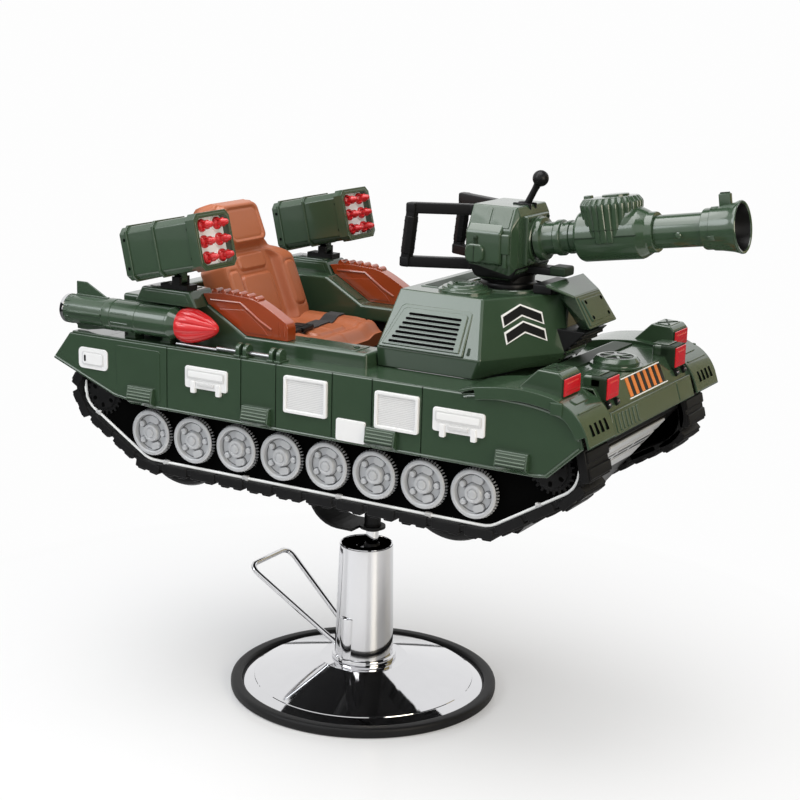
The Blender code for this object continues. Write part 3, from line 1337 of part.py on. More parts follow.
def rocket_body(turn):
    """The turned body with its hollow tail, raised band and ribbed nose."""
    r = ROCKET_RADIUS
    nose = ROCKET_NOSE_RADIUS
    tail_bore = 0.021
    band = 0.001
    tail = [(0, ROCKET_TAIL + 0.014), (tail_bore - 0.003, ROCKET_TAIL + 0.012), (tail_bore, ROCKET_TAIL)]
    body = [(r - 0.003, ROCKET_TAIL), (r - 0.002, ROCKET_BAND), (r + band, ROCKET_BAND + 0.005),
            (r + band, ROCKET_BAND + 0.020), (r, ROCKET_BAND + 0.022), (r, ROCKET_NOSE_START - 0.022),
            (r - 0.006, ROCKET_NOSE_START)]
    cone = ROCKET_TIP - ROCKET_NOSE_START
    front = [(nose - 0.004, ROCKET_NOSE_START), (nose, ROCKET_NOSE_START + cone * 0.12),
             (nose, ROCKET_NOSE_START + cone * 0.32), (nose * 0.7, ROCKET_NOSE_START + cone * 0.66),
             (nose * 0.2, ROCKET_TIP - 0.004), (0, ROCKET_TIP)]
    return turned(tail + body + front, SMALL_SIDES, turn)


def make_rocket(name, side):
    """One side rocket with its four fins and two feet on the deck."""
    axis = Matrix.Translation((0, side * ROCKET_Y, ROCKET_Z))
    rocket = rocket_body(axis @ Matrix.Rotation(math.pi / 2, 4, "Y"))
    reaches = (FIN_REACH, FIN_SIDE_REACH, FIN_LOW_REACH, FIN_SIDE_REACH)
    for quarter, reach in enumerate(reaches):
        fin = prism(fin_outline(reach), -FIN_THICK / 2, FIN_THICK / 2)
        rocket = join(rocket, placed(fin, axis @ Matrix.Rotation(quarter * math.pi / 2, 4, "X")))
    foot_long = 0.010
    foot_half = 0.012
    for x in ROCKET_FEET:
        foot = box((x - foot_long, side * ROCKET_Y - foot_half, DECK_Z + FIT),
                   (x + foot_long, side * ROCKET_Y + foot_half, ROCKET_Z - ROCKET_RADIUS / 2))
        rocket = join(rocket, foot)
    node("side_rocket_" + name, rocket, "army_green", (RAM_X, RAM_Y, ROCKET_Z))


def fin_outline(reach):
    """Side view of a fin above the rocket's axis."""
    root = ROCKET_RADIUS * 0.5
    tip = FIN_REAR + (FIN_FRONT - FIN_REAR) / 3
    return [(FIN_REAR, root), (FIN_FRONT, root), (FIN_FRONT, ROCKET_RADIUS), (tip, reach), (FIN_REAR, reach)]


# Seat


def seat_ring(half, depth, rise, groove):
    """Half-round cross section of the seat: (across, forward) points with raised sides."""
    front = [(-1.0, 0.30), (-0.94, 0.80), (-0.80, 1.0), (-0.66, 0.92), (-0.56, 0.35), (-0.30, groove),
             (0.0, groove)]
    points = [(u * half, max(v, 0.0) * rise) for u, v in front]
    points += [(-u, v) for u, v in points[-2::-1]]
    back = [(0.92, -0.75), (0.70, -1.0), (-0.70, -1.0), (-0.92, -0.75)]
    return points + [(u * half, v * depth) for u, v in back]


def back_half(t):
    """Half width of the seat back at a share of its height."""
    if t < 0.55:
        return BACK_HALF - 0.012 * abs(t - 0.45)
    if t < HEADREST_START:
        return BACK_HALF + (HEADREST_HALF - BACK_HALF) * (t - 0.55) / (HEADREST_START - 0.55)
    return HEADREST_HALF


def make_seat():
    """The one-piece bucket seat: crowned pan with rolled edge, bolstered back and headrest pad."""
    up = Vector((-math.sin(BACK_RECLINE), 0, math.cos(BACK_RECLINE)))
    out = Vector((math.cos(BACK_RECLINE), 0, math.sin(BACK_RECLINE)))
    foot = Vector((BACK_FOOT_X, 0, BACK_FOOT_Z))
    shares = [0.0, 0.04, 0.15, 0.30, 0.45, 0.55, 0.62, HEADREST_START, 0.70, 0.80, 0.90, 0.96, 1.0]
    rings = []
    for t in shares:
        on_head = t >= HEADREST_START
        half = back_half(t)
        rise = BOLSTER_RISE * (1 - 0.55 * max(0.0, t - 0.45) / 0.2) if not on_head else 0.018
        groove = 1.0 if on_head and 0.68 < t < 0.97 else 0.12
        end = 1 - 0.35 * (t < 0.02) - 0.30 * (t > 0.98) - 0.08 * (0.93 < t < 0.98)
        ring = seat_ring(half * end, BACK_THICK * (0.6 + 0.4 * end) * (1 - 0.3 * t), max(rise, 0.008), groove)
        centre = foot + up * (BACK_LENGTH * t)
        rings.append([tuple(centre + out * v + Vector((0, u, 0))) for u, v in ring])
    back = loft(rings)
    seat = join(back, seat_pan())
    node("seat", seat, "seat_tan", (RAM_X, RAM_Y, SEAT_TOP))


def seat_pan():
    """The seat pan: crowned across, raised at its sides and rolled down at its front edge."""
    bottom = SEAT_SHELF_Z + FIT
    shares = [0.0, 0.06, 0.3, 0.6, 0.85, 0.95, 1.0]
    drops = [0.006, 0.0, 0.0, 0.0, 0.003, 0.010, 0.026]
    rings = []
    for t, drop in zip(shares, drops):
        x = SEAT_REAR + (SEAT_FRONT - SEAT_REAR) * t
        half = SEAT_HALF * (1 - 0.04 * (t > 0.9) - 0.05 * (t > 0.97))
        top = SEAT_TOP - drop
        points = [(u * half, top + v) for u, v in PAN_ACROSS]
        points += [(-u, v) for u, v in points[-2::-1]]
        points += [(half * 0.96, bottom + 0.006), (half * 0.90, bottom), (-half * 0.90, bottom),
                   (-half * 0.96, bottom + 0.006)]
        rings.append([(x, u, v) for u, v in points])
    return loft(rings)


def make_belt():
    """The lap belt's webbing, lying across the seat pan."""
    hem = 0.020
    over = [(u * SEAT_HALF, SEAT_TOP + v + 2 * FIT) for u, v in PAN_ACROSS]
    edge = -SEAT_HALF - 2 * FIT
    line = [(edge, over[0][1] - hem), (edge, over[0][1])] + over[1:]
    line += [(-u, v) for u, v in line[-2::-1]]
    half = BELT_WIDTH / 2
    strap = prism(ribbon(line, -BELT_WEB_THICK), BELT_X - half, BELT_X + half, "x")
    node("lap_belt", strap, "black_plastic", (RAM_X, RAM_Y, SEAT_TOP))


def make_armrest(name, side):
    """One armrest standing on the sill."""
    low = SILL_LOW + FIT
    high = SILL_HIGH + FIT
    rear = PEDESTAL_FRONT + 0.001
    nose = 0.010
    outline = [(rear, high), (SILL_SLOPE_START + FIT, high), (SILL_SLOPE_END + FIT, low),
               (ARMREST_FRONT, low), (ARMREST_FRONT, ARMREST_FRONT_TOP - nose),
               (ARMREST_FRONT - nose, ARMREST_FRONT_TOP),
               (-0.090, ARMREST_TOP - 0.023), (-0.128, ARMREST_TOP - 0.006), (-0.165, ARMREST_TOP - 0.002),
               (-0.210, ARMREST_TOP), (rear - PEDESTAL_SLOPE * 0.85, ARMREST_TOP - 0.009)]
    rest = prism(outline, side * ARMREST_IN, side * ARMREST_OUT)
    node("armrest_" + name, rest, "armrest_brown", (RAM_X, RAM_Y, ARMREST_TOP))


def build():
    """Make every piece of the chair."""
    clear_scene()
    make_base()
    make_pump()
    make_pedal()
    make_carrier()
    make_lower_hull()
    make_seat_riser()
    make_upper_hull()
    make_front()
    make_running_gear()
    make_turret()
    make_gun_head()
    make_lever()
    make_barrel()
    make_seat()
    make_belt()
    for name, side in SIDES.items():
        make_handle(name, side)
        make_pod(name, side)
        make_rocket(name, side)
        make_armrest(name, side)


build()
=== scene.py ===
"""Looks of the kids tank barber chair: chrome base, moulded tank body, gun, pods, rockets and seat.

Metres, +Z up, +X is the tank's front. Every piece is made in place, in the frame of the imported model.
"""
import math

import bmesh
import bpy
from mathutils import Matrix, Vector


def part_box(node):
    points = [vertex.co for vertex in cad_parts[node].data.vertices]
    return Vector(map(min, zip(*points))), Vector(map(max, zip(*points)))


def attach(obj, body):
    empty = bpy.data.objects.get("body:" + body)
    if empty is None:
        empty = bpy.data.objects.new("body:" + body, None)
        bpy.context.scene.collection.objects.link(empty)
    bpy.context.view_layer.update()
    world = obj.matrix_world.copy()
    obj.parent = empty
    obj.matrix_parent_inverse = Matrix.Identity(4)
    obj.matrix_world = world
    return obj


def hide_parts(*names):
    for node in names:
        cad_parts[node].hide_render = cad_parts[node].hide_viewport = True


bl_info = {
    "name": "Kids tank barber chair",
    "version": (1, 0, 0),
    "blender": (4, 5, 0),
    "location": "3D View > Sidebar > Tank chair",
    "description": "Builds the pieces, materials and studio of a kids tank barber chair",
    "category": "Object",
}

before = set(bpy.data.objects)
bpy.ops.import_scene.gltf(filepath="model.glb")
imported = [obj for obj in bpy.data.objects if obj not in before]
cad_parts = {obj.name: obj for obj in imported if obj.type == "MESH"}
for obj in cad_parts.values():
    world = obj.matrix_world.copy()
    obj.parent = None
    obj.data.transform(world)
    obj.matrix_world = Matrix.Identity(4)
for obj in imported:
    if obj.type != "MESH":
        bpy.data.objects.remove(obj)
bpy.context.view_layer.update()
SIDES = {"right": -1.0, "left": 1.0}
MERGE_DISTANCE = 1e-6


# Settings


def colour(name, description, red, green, blue):
    """A colour setting."""
    return bpy.props.FloatVectorProperty(name=name, description=description, subtype="COLOR", size=3,
                                         min=0.0, max=1.0, default=(red, green, blue))


def length(name, description, metres):
    """A length setting."""
    return bpy.props.FloatProperty(
        name=name, description=description, subtype="DISTANCE", unit="LENGTH", default=metres, precision=4)


def count(name, description, number):
    """A count setting."""
    return bpy.props.IntProperty(name=name, description=description, default=number, min=1)


class TankColours(bpy.types.PropertyGroup):
    """Colours of the finishes."""
    green: colour("Army green", "Moulded body panels", 0.033, 0.064, 0.034)
    black: colour("Black plastic", "Tub, handles, swivel foot", 0.006, 0.006, 0.0065)
    rubber: colour("Track black", "Tracks and base edge", 0.006, 0.006, 0.0065)
    wheel: colour("Wheel grey", "Road wheels", 0.55, 0.56, 0.575)
    plate: colour("White plate", "Plates on the skirts and missile racks", 0.86, 0.86, 0.86)
    red: colour("Missile red", "Missiles and rocket noses", 0.62, 0.018, 0.022)
    lens: colour("Lens red", "Lamp lenses", 0.66, 0.012, 0.022)
    tan: colour("Seat tan", "Seat and headrest", 0.42, 0.122, 0.047)
    brown: colour("Armrest brown", "Glossy armrests", 0.32, 0.050, 0.011)
    chrome: colour("Chrome", "Base, column and pedal", 0.70, 0.70, 0.715)
    tube: colour("Light tube", "Milky light tubes in the tracks", 0.86, 0.87, 0.86)
    hazard: colour("Hazard orange", "Bars on the front slope", 0.72, 0.20, 0.03)
    floor: colour("Floor", "Studio floor", 0.86, 0.86, 0.865)


class TankSizes(bpy.types.PropertyGroup):
    """Sizes of the details."""
    groove: length("Panel groove", "Gap between the skirt panels", 0.0026)
    pad_count: count("Track pads", "Pads round one track", 36)
    lug_height: length("Lug height", "Height of a track lug", 0.0105)
    wheel_teeth: count("Wheel teeth", "Teeth round a road wheel", 46)
    drum_ribs: count("Drum ribs", "Ribs round the barrel's drum", 26)
    nose_flutes: count("Nose flutes", "Flutes round a rocket nose", 10)
    vent_slots: count("Vent slots", "Slots in each turret vent", 7)
    tube_radius: length("Light tube", "Radius of the light tubes", 0.003)
    belt_width: length("Belt width", "Width of the lap belt", 0.036)


def sizes():
    """The size settings of the scene."""
    return bpy.context.scene.tank_sizes


def colours():
    """The colour settings of the scene."""
    return bpy.context.scene.tank_colours


# Mesh helpers: each gives a closed bmesh of its own


def soften(bm, width, segments=2, angle=28.0):
    """Round every edge that is sharper than the angle, in degrees."""
    if width <= 0.0:
        return bm
    limit = math.radians(angle)
    sharp = [edge for edge in bm.edges if len(edge.link_faces) == 2 and edge.calc_face_angle(0.0) > limit]
    bmesh.ops.bevel(bm, geom=sharp, offset=width, offset_type="OFFSET", segments=segments, profile=0.5,
                    affect="EDGES", clamp_overlap=True, loop_slide=True, material=-1)
    return bm


def block(low, high, bevel=0.002, segments=2):
    """A box with rounded edges between two corners."""
    bm = bmesh.new()
    bmesh.ops.create_cube(bm, size=1.0)
    low, high = Vector(low), Vector(high)
    size = Vector([abs(value) for value in high - low])
    bmesh.ops.scale(bm, vec=size, verts=bm.verts)
    bmesh.ops.translate(bm, vec=(low + high) / 2, verts=bm.verts)
    return soften(bm, min(bevel, min(size) * 0.45), segments)


def plate(outline, low, high, axis="y", bevel=0.002, segments=2):
    """A flat outline with thickness. Points are (x, z), (x, y) for axis z, or (y, z) for axis x."""
    bm = bmesh.new()
    place = {"y": lambda u, v: (u, low, v),
             "z": lambda u, v: (u, v, low),
             "x": lambda u, v: (low, u, v)}[axis]
    face = bm.faces.new([bm.verts.new(place(u, v)) for u, v in outline])
    made = bmesh.ops.extrude_face_region(bm, geom=[face])
    far = [item for item in made["geom"] if isinstance(item, bmesh.types.BMVert)]
    step = {"y": (0, high - low, 0), "z": (0, 0, high - low), "x": (high - low, 0, 0)}[axis]
    bmesh.ops.translate(bm, vec=step, verts=far)
    bmesh.ops.recalc_face_normals(bm, faces=bm.faces)
    return soften(bm, bevel, segments)


def spun(profile, steps=64):
    """Turn a profile of (radius, height) points round Z. A profile off the axis is closed on itself."""
    bm = bmesh.new()
    verts = [bm.verts.new((radius, 0, height)) for radius, height in profile]
    pairs = list(zip(verts, verts[1:]))
    if min(profile[0][0], profile[-1][0]) > MERGE_DISTANCE:
        pairs.append((verts[-1], verts[0]))
    edges = [bm.edges.new(pair) for pair in pairs]
    bmesh.ops.spin(bm, geom=verts + edges, axis=(0, 0, 1), cent=(0, 0, 0), angle=math.tau, steps=steps,
                   use_merge=True)
    bmesh.ops.remove_doubles(bm, verts=bm.verts, dist=MERGE_DISTANCE)
    bmesh.ops.recalc_face_normals(bm, faces=bm.faces)
    return bm


def hull(points, bevel=0.003, segments=2):
    """The closed convex form round a few corners, with rounded edges."""
    bm = bmesh.new()
    verts = [bm.verts.new(point) for point in points]
    made = bmesh.ops.convex_hull(bm, input=verts)
    spare = [item for item in made["geom_interior"] if isinstance(item, bmesh.types.BMVert)]
    bmesh.ops.delete(bm, geom=spare, context="VERTS")
    bmesh.ops.dissolve_limit(bm, angle_limit=math.radians(1.0), verts=bm.verts, edges=bm.edges)
    bmesh.ops.recalc_face_normals(bm, faces=bm.faces)
    return soften(bm, bevel, segments, 12.0)


def tube(path, radius, sides=16):
    """A round rod along a path of points, with closed ends."""
    curve = bpy.data.curves.new("path", "CURVE")
    curve.dimensions = "3D"
    curve.bevel_depth = radius
    curve.bevel_resolution = max(0, sides // 4 - 1)
    curve.use_fill_caps = True
    spline = curve.splines.new("POLY")
    spline.points.add(len(path) - 1)
    for point, place in zip(spline.points, path):
        point.co = (*place, 1.0)
    item = bpy.data.objects.new("path", curve)
    mesh = bpy.data.meshes.new_from_object(item)
    bm = bmesh.new()
    bm.from_mesh(mesh)
    bpy.data.objects.remove(item)
    bpy.data.curves.remove(curve)
    bpy.data.meshes.remove(mesh)
    bmesh.ops.remove_doubles(bm, verts=bm.verts, dist=MERGE_DISTANCE)
    bmesh.ops.recalc_face_normals(bm, faces=bm.faces)
    return bm


def beam(start, end, wide, high, bevel=0.002, upright=(0, 0, 1)):
    """A straight bar of rectangular section between two points."""
    start, end = Vector(start), Vector(end)
    run = end - start
    along = run.normalized()
    across = Vector(upright).cross(along).normalized()
    over = along.cross(across)
    turn = Matrix((across, along, over)).transposed().to_4x4()
    bar = block((-wide / 2, 0, -high / 2), (wide / 2, run.length, high / 2), bevel)
    return moved(bar, Matrix.Translation(start) @ turn)


def ball(centre, radius, rings=16):
    """A round ball."""
    bm = bmesh.new()
    bmesh.ops.create_uvsphere(bm, u_segments=2 * rings, v_segments=rings, radius=radius)
    bmesh.ops.translate(bm, vec=centre, verts=bm.verts)
    return bm


def moved(bm, matrix):
    """The same shape, turned and placed by a matrix."""
    bmesh.ops.transform(bm, matrix=matrix, verts=bm.verts)
    return bm


def carved(bm, *cutters):
    """The shape with the cutters' space taken out of it."""
    items = [bpy.data.objects.new("carve", to_mesh(shape)) for shape in (bm, *cutters)]
    for item in items:
        bpy.context.scene.collection.objects.link(item)
    for cutter in items[1:]:
        modifier = items[0].modifiers.new("cut", "BOOLEAN")
        modifier.operation = "DIFFERENCE"
        modifier.solver = "EXACT"
        modifier.object = cutter
    graph = bpy.context.evaluated_depsgraph_get()
    mesh = bpy.data.meshes.new_from_object(items[0].evaluated_get(graph))
    result = bmesh.new()
    result.from_mesh(mesh)
    for item in items:
        spare = item.data
        bpy.data.objects.remove(item, do_unlink=True)
        bpy.data.meshes.remove(spare)
    bpy.data.meshes.remove(mesh)
    return result


def to_mesh(bm):
    """Write a bmesh to a new mesh and free it."""
    mesh = bpy.data.meshes.new("shape")
    bm.to_mesh(mesh)
    bm.free()
    return mesh


def outward(x, side, y, z):
    """Matrix that takes a shape turned round Z to one whose axis points out of the tank's side."""
    return Matrix.Translation((x, side * y, z)) @ Matrix.Rotation(-side * math.pi / 2, 4, "X")


def forward(x, y, z):
    """Matrix that takes a shape turned round Z to one whose axis points along +X."""
    return Matrix.Translation((x, y, z)) @ Matrix.Rotation(math.pi / 2, 4, "Y")


def on_plane(origin, along, up):
    """Matrix to a slanted plane: local X along it, local Y up it, local Z out of it."""
    along = Vector(along).normalized()
    up = Vector(up)
    up = (up - along * up.dot(along)).normalized()
    out = along.cross(up)
    return Matrix.Translation(origin) @ Matrix((along, up, out)).transposed().to_4x4()


def arc(centre, radius, start, end, steps):
    """Points on an arc, angles in degrees."""
    points = []
    for i in range(steps + 1):
        angle = math.radians(start + (end - start) * i / steps)
        points.append((centre[0] + radius * math.cos(angle), centre[1] + radius * math.sin(angle)))
    return points


def rounded_box(low_u, low_v, high_u, high_v, radius, steps=5):
    """Outline of a rectangle with round corners."""
    corners = ((high_u - radius, low_v + radius, -90), (high_u - radius, high_v - radius, 0),
               (low_u + radius, high_v - radius, 90), (low_u + radius, low_v + radius, 180))
    points = []
    for u, v, start in corners:
        points += arc((u, v), radius, start, start + 90, steps)
    return points


def eased(points, radius, steps=6):
    """A path with its inner corners rounded."""
    path = [Vector(points[0])]
    for before, corner, after in zip(points, points[1:], points[2:]):
        corner = Vector(corner)
        first = corner + (Vector(before) - corner).normalized() * radius
        last = corner + (Vector(after) - corner).normalized() * radius
        for i in range(steps + 1):
            t = i / steps
            path.append(first * (1 - t) ** 2 + corner * (2 * t * (1 - t)) + last * t ** 2)
    path.append(Vector(points[-1]))
    return path


def smooth_line(points, per=6):
    """A smooth curve through flat points."""
    ends = [points[0]] + list(points) + [points[-1]]
    line = []
    for i in range(1, len(ends) - 2):
        p0, p1, p2, p3 = (Vector(ends[i + k]) for k in (-1, 0, 1, 2))
        for k in range(per):
            t = k / per
            line.append(tuple(0.5 * (2 * p1 + (p2 - p0) * t + (2 * p0 - 5 * p1 + 4 * p2 - p3) * t ** 2
                                     + (3 * p1 - p0 - 3 * p2 + p3) * t ** 3)))
    line.append(tuple(points[-1]))
    return line


def ribbon(line, thick):
    """Closed outline of a line with thickness below it."""
    points = [Vector(p) for p in line]
    below = []
    for i, point in enumerate(points):
        along = (points[min(i + 1, len(points) - 1)] - points[max(i - 1, 0)]).normalized()
        below.append(tuple(point + Vector((along.y, -along.x)) * thick))
    return [tuple(p) for p in points] + below[::-1]


class Piece:
    """One object in the making. Each shape that is added takes one of the piece's finishes."""

    def __init__(self, *finishes):
        self.bm = bmesh.new()
        self.finishes = finishes
        self.materials = [make() for make in finishes]

    def add(self, shape, finish=None, at=None):
        """Add a closed shape in a finish, or else in the first one, placed by a matrix if one is given."""
        if at is not None:
            moved(shape, at)
        number = self.finishes.index(finish) if finish else 0
        for face in shape.faces:
            face.material_index = number
        mesh = to_mesh(shape)
        self.bm.from_mesh(mesh)
        bpy.data.meshes.remove(mesh)

    def panel(self, at, box, corner, low, high, bevel, finish=None):
        """Add a rounded rectangle that stands on a plane between two heights."""
        self.add(plate(rounded_box(*box, corner), low, high, "z", bevel), finish, at)

    def disc(self, at, radius, low, high, finish=None, steps=24):
        """Add a plain round disc between two heights above a place."""
        self.add(spun([(0, low), (radius, low), (radius, high), (0, high)], steps), finish, at)

    def around(self, number, shape, at, finish=None, start=0.0):
        """Add equal copies of a shape, turned round the Z axis of a place from a start angle on."""
        for i in range(number):
            self.add(shape.copy(), finish, at @ Matrix.Rotation(start + math.tau * i / number, 4, "Z"))
        shape.free()

    def finish(self, name, body, slot, replaced=(), smooth=40.0):
        """Make the object, let it ride on its body and stand for the CAD nodes it replaces."""
        mesh = bpy.data.meshes.new(name)
        self.bm.to_mesh(mesh)
        self.bm.free()
        for material in self.materials:
            mesh.materials.append(material)
        mesh.shade_smooth()
        mesh.set_sharp_from_angle(angle=math.radians(smooth))
        item = bpy.data.objects.new(name, mesh)
        bpy.context.scene.collection.objects.link(item)
        even = item.modifiers.new("even_normals", "WEIGHTED_NORMAL")
        even.keep_sharp = True
        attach(item, body)
        if replaced:
            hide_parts(*replaced)
        return item


# Materials


def connect(tree, item, inputs):
    """Set a node's inputs, by name or number, to values or to the outputs of other nodes."""
    for name, value in inputs.items():
        if isinstance(value, bpy.types.NodeSocket):
            tree.links.new(value, item.inputs[name])
        else:
            item.inputs[name].default_value = value
    return item


def node(tree, kind, inputs, **settings):
    """Add a node with its settings and inputs."""
    item = tree.nodes.new(kind)
    for name, value in settings.items():
        setattr(item, name, value)
    return connect(tree, item, inputs)


def group_of(name, given, results):
    """A new node group with its inputs, given with their usual values, and its outputs."""
    group = bpy.data.node_groups.new(name, "ShaderNodeTree")
    for title, value in given.items():
        kind = "NodeSocketFloat" if isinstance(value, float) else "NodeSocketColor"
        group.interface.new_socket(name=title, in_out="INPUT", socket_type=kind).default_value = value
    for title, kind in results.items():
        group.interface.new_socket(name=title, in_out="OUTPUT", socket_type=kind)
    return group


def object_place(tree):
    """The object coordinates of the shaded point."""
    return node(tree, "ShaderNodeTexCoord", {}).outputs["Object"]


def surface_group():
    """Node group: slow tone changes and uneven gloss."""
    group = bpy.data.node_groups.get("surface_change")
    if group:
        return group
    group = group_of("surface_change", {"Color": (0.5, 0.5, 0.5, 1.0), "Scale": 14.0, "Tone": 0.1,
                                        "Roughness": 0.35, "Unevenness": 0.1},
                     {"Color": "NodeSocketColor", "Roughness": "NodeSocketFloat"})
    given = group.nodes.new("NodeGroupInput").outputs
    noise = node(group, "ShaderNodeTexNoise",
                 {"Vector": object_place(group), "Scale": given["Scale"], "Detail": 5.0})
    swing = node(group, "ShaderNodeMath", {0: noise.outputs["Fac"], 1: 0.5},
                 operation="SUBTRACT").outputs[0]
    tone = node(group, "ShaderNodeMath", {0: swing, 1: given["Tone"], 2: 1.0}, operation="MULTIPLY_ADD")
    shade = node(group, "ShaderNodeVectorMath", {0: given["Color"], "Scale": tone.outputs[0]},
                 operation="SCALE")
    gloss = node(group, "ShaderNodeMath", {0: swing, 1: given["Unevenness"], 2: given["Roughness"]},
                 operation="MULTIPLY_ADD", use_clamp=True)
    node(group, "NodeGroupOutput", {"Color": shade.outputs["Vector"], "Roughness": gloss.outputs[0]})
    return group


def grain_group():
    """Node group: a fine pebbled or speckled height."""
    group = bpy.data.node_groups.get("fine_grain")
    if group:
        return group
    group = group_of("fine_grain", {"Scale": 600.0, "Pebble": 0.0}, {"Height": "NodeSocketFloat"})
    given = group.nodes.new("NodeGroupInput").outputs
    where = {"Vector": object_place(group), "Scale": given["Scale"]}
    noise = node(group, "ShaderNodeTexNoise", {**where, "Detail": 3.0})
    cells = node(group, "ShaderNodeTexVoronoi", where)
    mix = node(group, "ShaderNodeMix",
               {"Factor": given["Pebble"], "A": noise.outputs["Fac"], "B": cells.outputs["Distance"]})
    node(group, "NodeGroupOutput", {"Height": mix.outputs["Result"]})
    return group


PLAIN_PLASTIC = {"scale": 14.0, "tone": 0.16, "uneven": 0.1, "grain_scale": 700.0, "pebble": 0.0,
                 "bump": 0.06, "metallic": 0.0, "coat": 0.0, "coat_roughness": 0.06, "sheen": 0.0,
                 "specular": 0.5}
GRAIN_DEPTH = 0.0006


def finish(name, base, roughness, **looks):
    """A material with tone changes, uneven gloss and fine grain. Looks say what isn't plain plastic."""
    material = bpy.data.materials.get("tank_" + name)
    if material:
        return material
    material = bpy.data.materials.new("tank_" + name)
    material.use_nodes = True
    tree = material.node_tree
    look = {**PLAIN_PLASTIC, **looks}
    change = node(tree, "ShaderNodeGroup", {}, node_tree=surface_group())
    connect(tree, change, {"Color": (*base, 1.0), "Scale": look["scale"], "Tone": look["tone"],
                           "Roughness": roughness, "Unevenness": look["uneven"]})
    grain = node(tree, "ShaderNodeGroup", {}, node_tree=grain_group())
    connect(tree, grain, {"Scale": look["grain_scale"], "Pebble": look["pebble"]})
    bump = node(tree, "ShaderNodeBump",
                {"Strength": look["bump"], "Distance": GRAIN_DEPTH, "Height": grain.outputs["Height"]})
    connect(tree, tree.nodes["Principled BSDF"], {
        "Base Color": change.outputs["Color"], "Roughness": change.outputs["Roughness"],
        "Normal": bump.outputs["Normal"], "Metallic": look["metallic"], "Coat Weight": look["coat"],
        "Coat Roughness": look["coat_roughness"], "Sheen Weight": look["sheen"],
        "Specular IOR Level": look["specular"]})
    return material


def shaded(setting, share):
    """A darker step of a colour setting."""
    return [value * share for value in setting]


def green():
    """Glossy moulded army green."""
    return finish("army_green", colours().green, 0.20, tone=0.16, coat=0.50, coat_roughness=0.035,
                  specular=0.58)


def deep_green():
    """The same green where panels stand in the shade of grooves."""
    return finish("deep_green", shaded(colours().green, 0.45), 0.45, tone=0.15, specular=0.2)


def painted_highlight_green():
    """Painted highlight: paler green along the top edges of the skirts' step rungs."""
    pale = [0.16 + 2.0 * value for value in colours().green]
    return finish("painted_highlight_green", pale, 0.30, tone=0.10)


def black():
    """Satin black plastic."""
    return finish("black_plastic", colours().black, 0.36, tone=0.3, specular=0.22)


def painted_shade_black():
    """Painted shade: dead black put in slots, holes and the space behind the wheels, where only shade
    falls.
    """
    return finish("painted_shade_black", (0.003, 0.003, 0.003), 0.9, tone=0.0, bump=0.0, specular=0.0)


def black_steel():
    """Powder-coated black steel."""
    return finish("black_steel", colours().black, 0.48, grain_scale=1400.0, bump=0.15, specular=0.25)


def track_black():
    """Dull black moulded track."""
    return finish("track_black", colours().rubber, 0.50, scale=40.0, tone=0.5, bump=0.12, specular=0.22)


def edge_rubber():
    """Soft dark rubber of the base edge and seals."""
    return finish("edge_rubber", colours().rubber, 0.50, tone=0.4, bump=0.12, specular=0.25)


def grey():
    """Silver-grey wheel plastic."""
    return finish("wheel_grey", colours().wheel, 0.33, tone=0.10, metallic=0.15)


def dark_grey():
    """Shaded grey between the wheel's teeth and in its dish."""
    return finish("wheel_shade", shaded(colours().wheel, 0.30), 0.45, tone=0.15)


def white():
    """Clean white plates."""
    return finish("white_plate", colours().plate, 0.34, tone=0.04)


def off_white():
    """Slightly grey relief on the white plates."""
    return finish("plate_relief", shaded(colours().plate, 0.78), 0.42, tone=0.05)


def missile_red():
    """Bright red plastic."""
    return finish("missile_red", colours().red, 0.24, tone=0.12, coat=0.4)


def lens_red():
    """Ribbed red lens."""
    return finish("lens_red", colours().lens, 0.12, tone=0.06, coat=0.8, bump=0.35, grain_scale=330.0,
                  pebble=1.0)


def leather():
    """Tan leather-look seat skin with a fine pebble."""
    return finish("seat_leather", colours().tan, 0.37, scale=9.0, tone=0.22, bump=0.22, grain_scale=620.0,
                  pebble=1.0, specular=0.60)


def armrest_brown():
    """Glossy red-brown armrest."""
    return finish("armrest_brown", colours().brown, 0.20, scale=7.0, tone=0.25, coat=0.85, specular=0.6)


def chrome():
    """Polished chrome with faint cloudiness."""
    return finish("chrome", colours().chrome, 0.045, scale=30.0, tone=0.05, uneven=0.05, bump=0.012,
                  metallic=1.0)


def steel():
    """Plain machined steel."""
    return finish("steel", (0.36, 0.36, 0.37), 0.32, metallic=1.0, bump=0.05)


def milky_tube():
    """Milky light tube with a weak painted glow that stands in for the light it catches."""
    material = finish("milky_tube", colours().tube, 0.28, tone=0.06)
    tree = material.node_tree
    # Painted light: a weak emission brightens the unlit tube.
    connect(tree, tree.nodes["Principled BSDF"],
            {"Emission Color": (*colours().tube, 1.0), "Emission Strength": 0.30})
    return material


def webbing():
    """Woven black belt."""
    material = finish("webbing", colours().black, 0.7, tone=0.4, sheen=0.2)
    tree = material.node_tree
    weave = node(tree, "ShaderNodeTexWave", {"Vector": object_place(tree), "Scale": 380.0},
                 wave_type="BANDS", bands_direction="DIAGONAL")
    bump = next(item for item in tree.nodes if item.type == "BUMP")
    connect(tree, bump, {"Height": weave.outputs["Fac"], "Strength": 0.5})
    return material


def hazard():
    """Orange bars of the front slope."""
    return finish("hazard_orange", colours().hazard, 0.35, tone=0.10)


# Base, column and pedal


COVER_FLANGE, COVER_EDGE = 0.101, 0.026
COLUMN_WIDE, COLUMN_NARROW = 0.0658, 0.0596
PUMP_RADIUS, PUMP_HEIGHT, PUMP_REACH, PUMP_TURN = 0.0235, 0.106, 0.0470, math.radians(-101)
ROD_HOLE = 0.021
PEDAL_SLOTS, SLOT_HALF_TURN = (-150.0, 150.0), 11


def build_base():
    """Rubber edge, chrome cover, column with its pump cover, ram rod and seal."""
    base_edge()
    base_cover()
    base_column()
    ram_and_seal()
    restyle("base_plate", black_steel())
    restyle("pump_body", steel())
    restyle("pump_plunger", steel())


